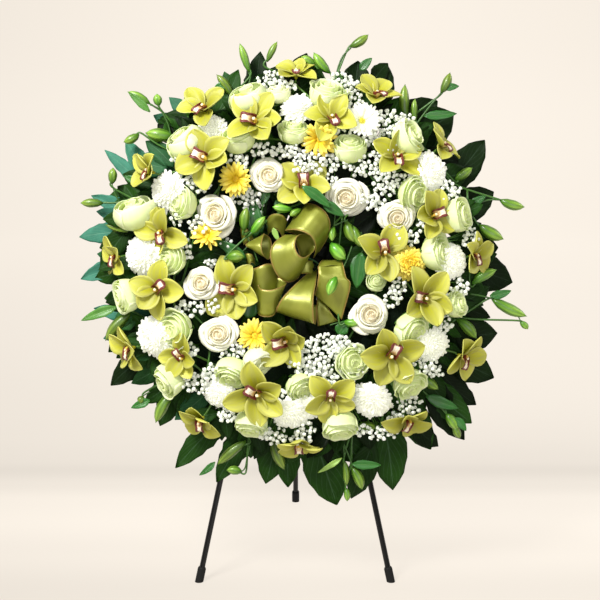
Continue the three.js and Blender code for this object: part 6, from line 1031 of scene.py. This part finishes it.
def satin():
    g = G("olive_satin")
    R, U, B, T = g.pet()
    # warp threads run along the ribbon, weft across it; a slow uneven painted sheen, lighter and darker olive in the
    # colour, which also varies the roughness
    warp = g.n("ShaderNodeTexWave", wave_type="BANDS", bands_direction="Y")
    g.link(g.vec(R, g.math("MULTIPLY", U, 60.0), 0.0), warp.inputs["Vector"])
    warp.inputs["Scale"].default_value = 1.0
    warp.inputs["Distortion"].default_value = 1.2
    painted_sheen_and_roughness = g.noise(g.vec(g.math("MULTIPLY", R, 1.2), g.math("MULTIPLY", U, 1.2), g.math("MULTIPLY", B, 17.0)), 1.0, 3.0)
    col = g.ramp(painted_sheen_and_roughness, [(0.25, lin("#757824")), (0.5, lin("#858A2C")), (0.75, lin("#999C3A"))])
    near = g.math("ABSOLUTE", g.math("SUBTRACT", U, 0.5))
    sel = g.ramp(near, [(0.455, (0, 0, 0, 1)), (0.485, (1, 1, 1, 1))])
    col = g.mix(sel, col, lin("#A88A48"))
    fine = g.noise(g.obj(), 2600.0, 2.0)
    nb = g.bump(g.math("ADD", g.math("MULTIPLY", warp.outputs["Fac"], 0.5), fine), 0.12, 0.0002)
    return g.done(col, g.math("MULTIPLY_ADD", painted_sheen_and_roughness, 0.10, 0.33), spec=0.8, metal=0.42, trans=0.02, normal=nb)


M_SATIN = satin()


def plain(name, c0, c1, rough, scale=200.0, bump=0.1, metal=0.0, spec=0.5, dist=0.0003, coat=0.0):
    g = G(name)
    s = g.noise(g.obj(), scale, 4.0)
    col = g.mix(s, lin(c0), lin(c1))
    g.bump(s, bump, dist)
    return g.done(col, g.math("MULTIPLY_ADD", s, 0.14, rough - 0.07), spec=spec, metal=metal, coat=coat)


M_WIRE = plain("ribbon_wired_edge", "#86702F", "#B49C58", 0.38, 900.0, 0.1, 0.25)
M_BLACK = plain("black_steel", "#020202", "#060606", 0.36, 420.0, 0.12, 0.0, 0.32, 0.0002, 0.0)
M_STEEL = plain("bare_steel", "#6E7072", "#8C8E90", 0.36, 700.0, 0.1, 1.0)
M_RUBBER = plain("foot_rubber", "#040404", "#0B0B0B", 0.74, 800.0, 0.3, 0.0, 0.3)
M_TRAY = plain("tray_plastic", "#0F2116", "#16301F", 0.42, 300.0, 0.12)
M_CWIRE = plain("coated_wire", "#1F4A22", "#2C6430", 0.45, 500.0, 0.1)


def foam_mat():
    g = G("floral_foam")
    v = g.n("ShaderNodeTexVoronoi")
    g.link(g.obj(), v.inputs["Vector"])
    v.inputs["Scale"].default_value = 520.0
    s = g.noise(g.obj(), 90.0, 5.0)
    # the foam's green darkened to near black: partly its own wet green, partly painted shade where it shows between the
    # flowers
    col = g.mix(g.math("MULTIPLY", v.outputs["Distance"], 0.9), lin("#050F06"), g.mix(s, lin("#0B1D0C"), lin("#122A14")))
    g.bump(g.math("ADD", v.outputs["Distance"], s), 0.5, 0.0012)
    return g.done(col, 0.85, spec=0.2)


M_FOAM = foam_mat()


# ---------------------------------------------------------------- the camera, the light and the stage
scene = bpy.context.scene
cam = bpy.data.objects.new("camera", bpy.data.cameras.new("camera"))
scene.collection.objects.link(cam)
scene.camera = cam
cam.data.sensor_width = 36.0
cam.data.lens = 88.2
cam.data.clip_start, cam.data.clip_end = 0.1, 40.0
_m = Matrix.Identity(4)
for _i, _c in enumerate((RIGHT, UP, OUT)):
    for _r in range(3):
        _m[_r][_i] = float(_c[_r])
for _r in range(3):
    _m[_r][3] = float(world([8.84, -67.21, 2600.0])[_r])
cam.matrix_world = _m

scene.view_settings.view_transform = "Standard"
scene.view_settings.look = "None"
scene.view_settings.exposure = 0.0

w = bpy.data.worlds.new("soft_room")
scene.world = w
w.use_nodes = True
w.node_tree.nodes["Background"].inputs[0].default_value = (1.0, 0.985, 0.955, 1)
w.node_tree.nodes["Background"].inputs[1].default_value = 0.22


def area(name, at, look, size, watts, color, size_y=None):
    d = bpy.data.lights.new(name, "AREA")
    d.energy = watts
    d.size = size
    if size_y:
        d.shape = "RECTANGLE"
        d.size_y = size_y
    d.color = color
    o = bpy.data.objects.new(name, d)
    scene.collection.objects.link(o)
    a, b = Vector(world(at).tolist()), Vector(world(look).tolist())
    o.matrix_world = Matrix.Translation(a) @ (b - a).to_track_quat("-Z", "Y").to_matrix().to_4x4()
    return o


area("key", (-1050, 1450, 1750), (0, 0, 80), 0.75, 104, (1.0, 0.99, 0.965))
area("front_fill", (500, 100, 2500), (0, 0, 80), 1.4, 22, (1.0, 0.99, 0.97))
area("rim", (1500, 900, -200), (0, 0, 80), 0.8, 10, (1.0, 0.985, 0.96))


PAINTED_SHADING_NEAR = [(0.10, 0.86), (0.32, 0.93), (0.53, 0.99), (0.68, 0.975), (0.80, 0.90), (0.92, 0.83), (1.0, 0.87)]
PAINTED_SHADING_FAR = [(0.0, 1.008), (0.04, 1.047), (0.10, 1.071), (0.255, 1.121), (0.67, 1.203), (1.0, 1.243)]


def stage():
    # one wide sweep: a floor that turns up into a wall well behind; it glows by its own emission, and painted bands,
    # painted darkening towards the sides and a painted darker wall top stand in for how light falls on it
    prof = [(t, 0.0) for t in np.concatenate([np.linspace(-14.0, -1.0, 14), np.linspace(-0.8, 3.4, 22)])]
    for a in np.linspace(0, math.pi / 2, 16)[1:]:
        prof.append((3.4 + math.sin(a), 1.0 - math.cos(a)))
    prof += [(4.4, z) for z in np.linspace(1.0, 6.0, 8)[1:]]
    prof = np.array(prof)
    xs = np.linspace(-14.0, 14.0, 57)
    P = np.stack([np.broadcast_to(xs, (len(prof), 57)), np.repeat(prof[:, 0:1], 57, 1), np.repeat(prof[:, 1:2], 57, 1)], -1)
    acc = Acc()
    acc.sheet(P, np.zeros((len(prof), 57, 4)))
    g = G("paper_sweep")
    pos = g.n("ShaderNodeNewGeometry").outputs["Position"]
    s = g.n("ShaderNodeSeparateXYZ")
    g.link(pos, s.inputs[0])
    # painted shade: darker towards the sides, and through lean the left side darker than the right, most near the front
    f = g.math("MULTIPLY_ADD", g.math("MINIMUM", g.math("ABSOLUTE", s.outputs[0]), 1.5), -0.055, 1.0)
    k = g.math("MAXIMUM", 0.095, g.math("MINIMUM", 0.21, g.math("MULTIPLY_ADD", s.outputs[1], -0.045, 0.228)))
    lean = g.math("DIVIDE", g.math("MAXIMUM", g.math("MINIMUM", s.outputs[0], 1.5), -1.5), g.math("MAXIMUM", 2.0, g.math("ADD", s.outputs[1], 2.624)))
    f = g.math("MULTIPLY_ADD", lean, k, f)
    grain = g.noise(pos, 700.0, 3.0)
    f = g.math("MULTIPLY_ADD", g.math("SUBTRACT", grain, 0.5), 0.010, f)

    def grey(q):
        return (q, q, q, 1)

    # painted light and shade on the floor and wall: brightest a little behind the front feet, a painted dim band behind
    # the rear foot, then pale again and brighter further back; the wall painted a little darker towards its top
    near = g.ramp(g.math("MULTIPLY_ADD", s.outputs[1], 1.25, 0.375), [(p, grey(q)) for p, q in PAINTED_SHADING_NEAR], True)
    painted_far_shading = g.ramp(g.math("MULTIPLY_ADD", s.outputs[1], 0.25, -0.125), [(p, grey(q)) for p, q in PAINTED_SHADING_FAR])
    painted_top_shading = g.ramp(g.math("MULTIPLY", s.outputs[2], 0.5), [(0.02, grey(1.0)), (0.15, grey(1.0)), (0.5, grey(0.955))], True)
    colr = g.mix(1.0, g.mix(1.0, lin("#FFF6EA"), near, "MULTIPLY"), painted_far_shading, "MULTIPLY")
    colr = g.mix(1.0, g.mix(1.0, colr, painted_top_shading, "MULTIPLY"), g.vec(f, f, f), "MULTIPLY")
    g.b.inputs["Roughness"].default_value = 0.9
    g.b.inputs["Specular IOR Level"].default_value = 0.1
    g.val(g.b.inputs["Base Color"], g.mix(1.0, colr, (0.10, 0.10, 0.10, 1), "MULTIPLY"))
    # painted light: the sweep glows, emitting its painted colour, and takes only a tenth of it as a lit diffuse colour
    g.val(g.b.inputs["Emission Color"], colr)
    g.b.inputs["Emission Strength"].default_value = 0.885
    o = acc.object("paper_sweep", g.m, mm=False)


stage()

# ---------------------------------------------------------------- the solids carried over from the frame
STEEL_NODES = {"front_leg_left": M_BLACK, "front_leg_right": M_BLACK, "rest_peg_left": M_BLACK, "rest_peg_right": M_BLACK, "crossbar": M_BLACK, "head_bracket": M_BLACK,
               "hanging_hook": M_STEEL, "hinge_pin": M_STEEL, "rear_leg": M_BLACK, "foot_cap_left": M_RUBBER, "foot_cap_right": M_RUBBER, "foot_cap_rear": M_RUBBER,
               "ring_tray": M_TRAY, "foam_ring": M_FOAM, "bow_wire_pick": M_CWIRE}
for name, mt in STEEL_NODES.items():
    o = bpy.data.objects.get(name)
    if o is not None:
        o.data.materials.clear() if len(o.material_slots) == 0 else None
        if len(o.material_slots) == 0:
            o.data.materials.append(mt)
        for sl in o.material_slots:
            sl.material = mt

ROOT = "wreath_and_frame"


def piece(acc, name, mt, node=None, smooth=True):
    if not acc.v:
        return None
    o = acc.object(name, mt, smooth=smooth)
    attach(o, ROOT)
    if node:
        for q in ([node] if isinstance(node, str) else node):
            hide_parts(q)
    return o


# ---------------------------------------------------------------- the blooms
by_node = {}
for row in BLOOMS:
    by_node.setdefault(row[0], []).append(row)
CREAM = {"P14", "P2"}
DAISIES = {"M5": 46, "Y1": 40, "Y2": 30, "Y3": 34, "Y5": 38}


def sid(s):
    return sum(ord(c) * (i + 3) * 7 for i, c in enumerate(s)) % 9973


def stem_of(node, acc):
    hub, foot, branches = STEMS[node]
    for bid, pl in branches:
        if len(pl) < 2:
            continue
        pts = catmull(pl, 4 * len(pl))
        acc.tube(pts, np.linspace(1.5, 1.9, len(pts)), 6, [0.5, 0.5, 0.5, 0.4])
    if len(branches) > 1 or True:
        acc.tube(np.array([hub, foot], float), 2.0, 6, [0.5, 0.5, 0.5, 0.3])


for node, rows in by_node.items():
    main, second, third, green = Acc(), Acc(), Acc(), Acc()
    creamy = Acc()
    kind = rows[0][2]
    for (_, bid, _, x, y, h, mm, az, inc, up, frill) in rows:
        seed = sid(bid)
        R = mm / 2
        if kind == "wrose":
            M = facing([x, y, h], az, inc, up)
            M[:3, 3] += M[:3, 2] * R * 0.16
            a, s = rose(R * 1.06, seed, 0.22, 16, 0.0, 13, 9)
            main.merge(a, M)
            green.merge(s, M)
        elif kind == "prose":
            M = facing([x, y, h], az, min(inc + (24 if frill < 0.25 else 14), 66), 90)
            M[:3, 3] += M[:3, 2] * R * 0.16
            tight = frill < 0.25
            a, s = rose(R * 1.16, seed, 0.12 + frill * 0.8, 8 if tight else 12, 1.0 if tight else 0.84 - 0.28 * (frill > 0.75), 15, 10, 1.0 if tight else 0.35)
            (creamy if bid in CREAM else main).merge(a, M)
            green.merge(s, M)
        elif kind == "orchid":
            M = facing([x, y, h], az, inc, up)
            side = bid in ("O4", "O12", "O17")
            t, l, c = cymbidium(mm * 0.54, seed, 0.72 if side else 1.0, True)
            main.merge(t, M)
            second.merge(l, M)
            third.merge(c, M)
        else:
            M = facing([x, y, h], az, inc, 90)
            daisy = bid in DAISIES
            M[:3, 3] += M[:3, 2] * R * (0.25 if daisy else 0.05)
            a, d, cal = mum(R * 1.04, seed, DAISIES.get(bid, 150 if kind == "wmum" else 120), daisy, incurve=0.7 if kind == "wmum" else 0.35)
            main.merge(a, M)
            second.merge(d, M)
            green.merge(cal, M)
    stem_of(node, green)
    if kind == "wrose":
        piece(main, node + "_petals", M_WROSE, node)
    elif kind == "prose":
        piece(main, node + "_petals", M_PROSE, node)
        piece(creamy, node + "_cream_petals", M_PCREAM, node)
    elif kind == "orchid":
        piece(main, node + "_tepals", M_TEPAL, node)
        piece(second, node + "_lips", M_LIP, node)
        piece(third, node + "_columns", M_COL, node)
    else:
        yellow = kind == "ymum"
        piece(main, node + "_florets", M_YMUM if yellow else M_WMUM, node)
        piece(second, node + "_discs", M_YDISC if yellow else M_DISC, node)
    piece(green, node + "_stems", M_SEPAL, node)

# ---------------------------------------------------------------- gypsophila
variants = [floret(s) for s in range(5)]
gy = {0: (Acc(), Acc()), 1: (Acc(), Acc())}
g = rng(77)
for gi, (x, y, h, ex, ey) in enumerate(GYP):
    fl, st = gy[0 if x < 25 else 1]
    n = max(4, int(math.pi * ex * ey / 31.0))
    pts = []
    for k in range(n * 9):
        if len(pts) >= n:
            break
        r, a = math.sqrt(g.uniform(0, 1.15)), g.uniform(0, 6.283)
        p = np.array([x + ex * r * math.cos(a), y + ey * r * math.sin(a), h + g.uniform(-14, 6) - 6 * r])
        if all(np.linalg.norm(p - q) > 6.5 for q in pts):
            pts.append(p)
    rad_c = math.hypot(x, y)
    root = np.array([x * (205 + 0.5 * (rad_c - 205)) / max(rad_c, 1) if rad_c > 120 else x * 1.4, y * (205 + 0.5 * (rad_c - 205)) / max(rad_c, 1) if rad_c > 120 else y * 1.4, 52.0])
    groups = {}
    for p in pts:
        key = (round(p[0] / 18), round(p[1] / 18))
        groups.setdefault(key, []).append(p)
    for key, ps in groups.items():
        c = np.mean(ps, 0)
        joint = c + (root - c) * 0.28 + [0, 0, -6]
        st.tube(catmull([root, (root + joint) / 2 + [0, 0, 6], joint], 5), 0.6, 4, [0.5, 0.5, 0.5, 0.6])
        for p in ps:
            st.tube([joint, (joint + p) / 2 + [0, 0, -1.5], p], 0.32, 3, [0.5, 0.5, 0.5, 0.7])
    for p in pts:
        r = g.uniform(2.9, 4.0) if g.uniform() > 0.12 else g.uniform(1.9, 2.6)
        M = facing(p, g.uniform(0, 360), g.uniform(0, 50), g.uniform(0, 360))
        M[:3, :3] = M[:3, :3] * r
        fl.merge(variants[g.integers(0, 5)], M)
for k in (0, 1):
    node = "gypsophila_spray_%d" % (k + 1)
    stem_of(node, gy[k][1])
    piece(gy[k][0], node + "_florets", M_GYP, node)
    piece(gy[k][1], node + "_branches", M_STEM, node)

# ---------------------------------------------------------------- buds and the narrow leaves on their stems
bud_acc, twig_acc, nar_acc = {}, {}, {}
for (node, bid, ax, ay, ah, bx, by, bh, wd) in BUDS:
    acc = bud_acc.setdefault(node, Acc())
    bud(acc, (ax, ay, ah), (bx, by, bh), wd * 1.08, sid(bid), 0.5)
for (node, pts, r) in TWIGS:
    acc = twig_acc.setdefault(node, Acc())
    p = catmull(pts, 5 * len(pts))
    acc.tube(p, np.linspace(r * 1.1, r * 0.8, len(p)), 8, [0.5, 0.5, 0.5, 0.22])
for (node, a, b, wd, tone) in NARROW:
    acc = nar_acc.setdefault(node, Acc())
    blade(acc, a, b, wd, (0, 0, 1), sid(node) + int(a[0]), sag=0.10, fold=0.35, tone=tone, nv=11, nu=5, wide_at=0.4)
for node in ("lily_bud_stem_1", "lily_bud_stem_2", "lily_bud_stem_3", "lily_bud_stem_4", "centre_bud_spray_1"):
    tw = twig_acc.setdefault(node, Acc())
    stem_of(node, tw)
    centre = node.startswith("centre")
    piece(bud_acc[node], node + "_buds", M_CBUD if centre else M_BUD, node)
    piece(tw, node + "_twigs", M_STEM, node)
    if node in nar_acc:
        piece(nar_acc[node], node + "_leaves", M_NARROW, node)

# ---------------------------------------------------------------- the leaf collar and the leaves between the flowers
LEVEL = (31.0, 37.0, 43.0)
for i, (az, lv, tips) in enumerate(COLLAR):
    acc = Acc()
    a = math.radians(az)
    c = np.array([252 * math.cos(a), 252 * math.sin(a), LEVEL[lv]])
    gg = rng(900 + i)
    for k, (tx, ty, wd) in enumerate(tips):
        tip = np.array([tx, ty, LEVEL[lv] + gg.uniform(-6, 5)])
        # each lobe springs from where the leaf's middle lies under the flowers
        ta = math.atan2(ty, tx)
        base = 0.45 * c + 0.55 * np.array([236 * math.cos(ta), 236 * math.sin(ta), LEVEL[lv] + 1.5])
        base[2] = LEVEL[lv] + (k % 3) * 1.6
        # painted light and shade: lobes on the left side paler and teal, those on the right and at the top near black,
        # as the light falls from the left; the lowest lobes a mid tone
        tone = float(np.clip(0.30 - tx / 520.0, 0.06, 0.95)) if ty > -190 and tx < -60 else (0.36 if ty < -250 else 0.10)
        if ty > 250 and tx > -120:
            tone = 0.10
        blade(acc, base, tip + (tip - base) * 0.02, wd * (1.22 if tx > 60 else 1.12), (0.0, 0.0, 1.0), 1300 + 31 * i + k, sag=0.05, fold=0.16, teeth=0.035 if tx > 60 else 0.07, nv=17, nu=9, wide_at=0.68 if tx > 60 else 0.60, tone=tone, thick=0.6, base=0.30)
    acc.tube(catmull([(205 * math.cos(a), 205 * math.sin(a), 42), (228 * math.cos(a), 228 * math.sin(a), LEVEL[lv] + 3), (c[0], c[1], c[2])], 7), 2.1, 8, [0.5, 0.5, 0.5, 0.3])
    piece(acc, "fatsia_leaf_%d_lobes" % (i + 1), M_LEAF, "fatsia_leaf_%d" % (i + 1))

fill = Acc()
g = rng(4242)
n_fill = 190
for k in range(n_fill):
    a = 6.2832 * (k + g.uniform(0, 0.8)) / n_fill * 7.0 % 6.2832
    r = g.uniform(128, 300)
    h0 = g.uniform(50, 72)
    L = g.uniform(52, 84)
    d = a + g.normal(0, 0.7) if r > 190 else a + math.pi + g.normal(0, 0.8)
    p0 = np.array([r * math.cos(a), r * math.sin(a), h0])
    p1 = p0 + [L * math.cos(d), L * math.sin(d), g.uniform(-8, 12)]
    r1 = math.hypot(p1[0], p1[1])
    if r1 > 338:
        p1[:2] *= 338 / r1
    tilt = (g.normal(0, 0.35), g.normal(0, 0.35), 1.0)
    blade(fill, p0, p1, g.uniform(24, 38), tilt, 5000 + k, sag=0.12, fold=0.25, nv=8, nu=5, tone=g.uniform(0.0, 0.52), wide_at=0.5)
for k in range(84):
    a = 6.2832 * (k + g.uniform(-0.4, 0.4)) / 84
    r = g.uniform(262, 290)
    h0 = g.uniform(44, 60)
    r1 = g.uniform(318, 352) + (12 if math.sin(a) < -0.2 else 0)
    d = a + g.normal(0, 0.10)
    # painted light: the rim leaves on the left side are a little paler (tone + 0.18) where the light falls from the
    # left
    blade(fill, (r * math.cos(a), r * math.sin(a), h0), (r1 * math.cos(d), r1 * math.sin(d), h0 + g.uniform(-16, 4)), g.uniform(34, 48), (g.normal(0, 0.25), g.normal(0, 0.25), 1.0), 6000 + k,
          sag=0.10, fold=0.2, nv=9, nu=5, tone=g.uniform(0.0, 0.44) + (0.18 if math.cos(a) < -0.5 else 0.0), wide_at=0.5)
for k, (ax, ay, bx, by, wd, tn) in enumerate(OUTER_LEAVES):
    blade(fill, (ax, ay, 46.0), (bx, by, 36.0), wd, (0.1, 0.0, 1.0), 6200 + k, sag=0.06, fold=0.16, teeth=0.06, nv=11, nu=7, tone=tn, wide_at=0.5)
piece(fill, "leaves_between_flowers", M_LEAF, None)

for j in (1, 2):
    acc = Acc()
    m = 18
    for k in range(10):
        a = 2 * math.pi * (k + 0.3 * j) / 10
        r0, r1 = 96.0, -46.0
        p0 = np.array([r0 * math.cos(a) + 6, r0 * math.sin(a) - 6, 47.0 + 3 * j])
        p1 = np.array([r1 * math.cos(a + 0.3) + 6, r1 * math.sin(a + 0.3) - 6, 49.0 + 3 * j + g.uniform(-2, 3)])
        blade(acc, p0, p1, g.uniform(50, 60), (g.normal(0, 0.08), g.normal(0, 0.08), 1), 7600 + 50 * j + k, sag=0.02, fold=0.10, nv=9, nu=5, tone=0.0, wide_at=0.5)
    for k in range(m):
        a = 2 * math.pi * (k + 0.5 * (j - 1)) / m + g.normal(0, 0.08)
        r0, r1 = 168.0, g.uniform(8, 60) if j == 1 else g.uniform(30, 90)
        h = 46 + 8 * j
        da = g.normal(0, 0.25)
        blade(acc, (r0 * math.cos(a), r0 * math.sin(a), h + g.uniform(-3, 8)), (r1 * math.cos(a + da) + 4, r1 * math.sin(a + da) - 2, h + g.uniform(-3, 6)), g.uniform(52, 66), (g.normal(0, 0.12), g.normal(0, 0.12), 1), 7000 + 50 * j + k,
              sag=0.04, fold=0.14, nv=10, nu=7, tone=g.uniform(0.0, 0.34), wide_at=0.45)
    piece(acc, "centre_leaf_%d_blades" % j, M_LEAF, "centre_leaf_%d" % j)

# ---------------------------------------------------------------- the ribbon bow
bow, wires = Acc(), Acc()
for i, (name, (closed, ra, rb)) in enumerate(BOW.items()):
    n = 44 if closed else 30
    A_, B_ = (np.asarray(q, float) for q in (ra, rb))
    m = max(len(A_), len(B_))
    ca, cb = catmull(A_, 200), catmull(B_, 200)

    def even(c):
        s = np.concatenate([[0], np.cumsum(np.linalg.norm(np.diff(c, axis=0), axis=1))])
        t = np.linspace(0, s[-1], n)
        return np.stack([np.interp(t, s, c[:, q]) for q in range(3)], -1)

    ca, cb = even(ca), even(cb)
    gg = rng(60 + i)
    U, V = np.meshgrid(np.linspace(0, 1, 9), np.linspace(0, 1, n))
    P = ca[:, None, :] * (1 - U[..., None]) + cb[:, None, :] * U[..., None]
    nrm = np.cross(np.gradient(P, axis=0), np.gradient(P, axis=1))
    nrm /= np.maximum(np.linalg.norm(nrm, axis=2, keepdims=True), 1e-9)
    belly = (1.9 if name in ("G", "H") else 0.9) * np.sin(math.pi * U) * np.sin(V * gg.uniform(5, 8) + gg.uniform(0, 6)) + 0.35 * np.sin(U * 9 + V * 6)
    P = P + nrm * belly[..., None]
    attr = np.stack([V * n * 0.03, U, np.full_like(U, gg.uniform(0, 1)), np.full_like(U, 0.5)], -1)
    bow.shell(P, 0.32, attr)
    wires.tube(P[:, 0], 0.45, 6, [0.5, 0.5, 0.5, 0.5])
    wires.tube(P[:, -1], 0.45, 6, [0.5, 0.5, 0.5, 0.5])
# the tie round the middle
kx, ky, kh = KNOT
th = np.linspace(0, 2 * math.pi, 28)
ring = np.stack([kx + 13 * np.cos(th), np.full_like(th, ky), kh - 2 + 11 * np.sin(th)], -1)
U = np.linspace(-1, 1, 7)
P = ring[:, None, :] + np.stack([0 * U, 11 * U, -1.5 * U ** 2], -1)[None]
P[..., 0] += (1.4 * np.sin(U * 6)[None] * np.cos(th)[:, None])
bow.shell(P, 0.32, np.stack([np.broadcast_to(np.linspace(0, 1, 28)[:, None], (28, 7)), np.broadcast_to((U + 1) / 2, (28, 7)), np.full((28, 7), 0.4), np.full((28, 7), 0.5)], -1))
bow_o = piece(bow, "satin_ribbon_bow", M_SATIN, "ribbon_bow")
wire_o = piece(wires, "ribbon_wired_edges", M_WIRE, "ribbon_bow")
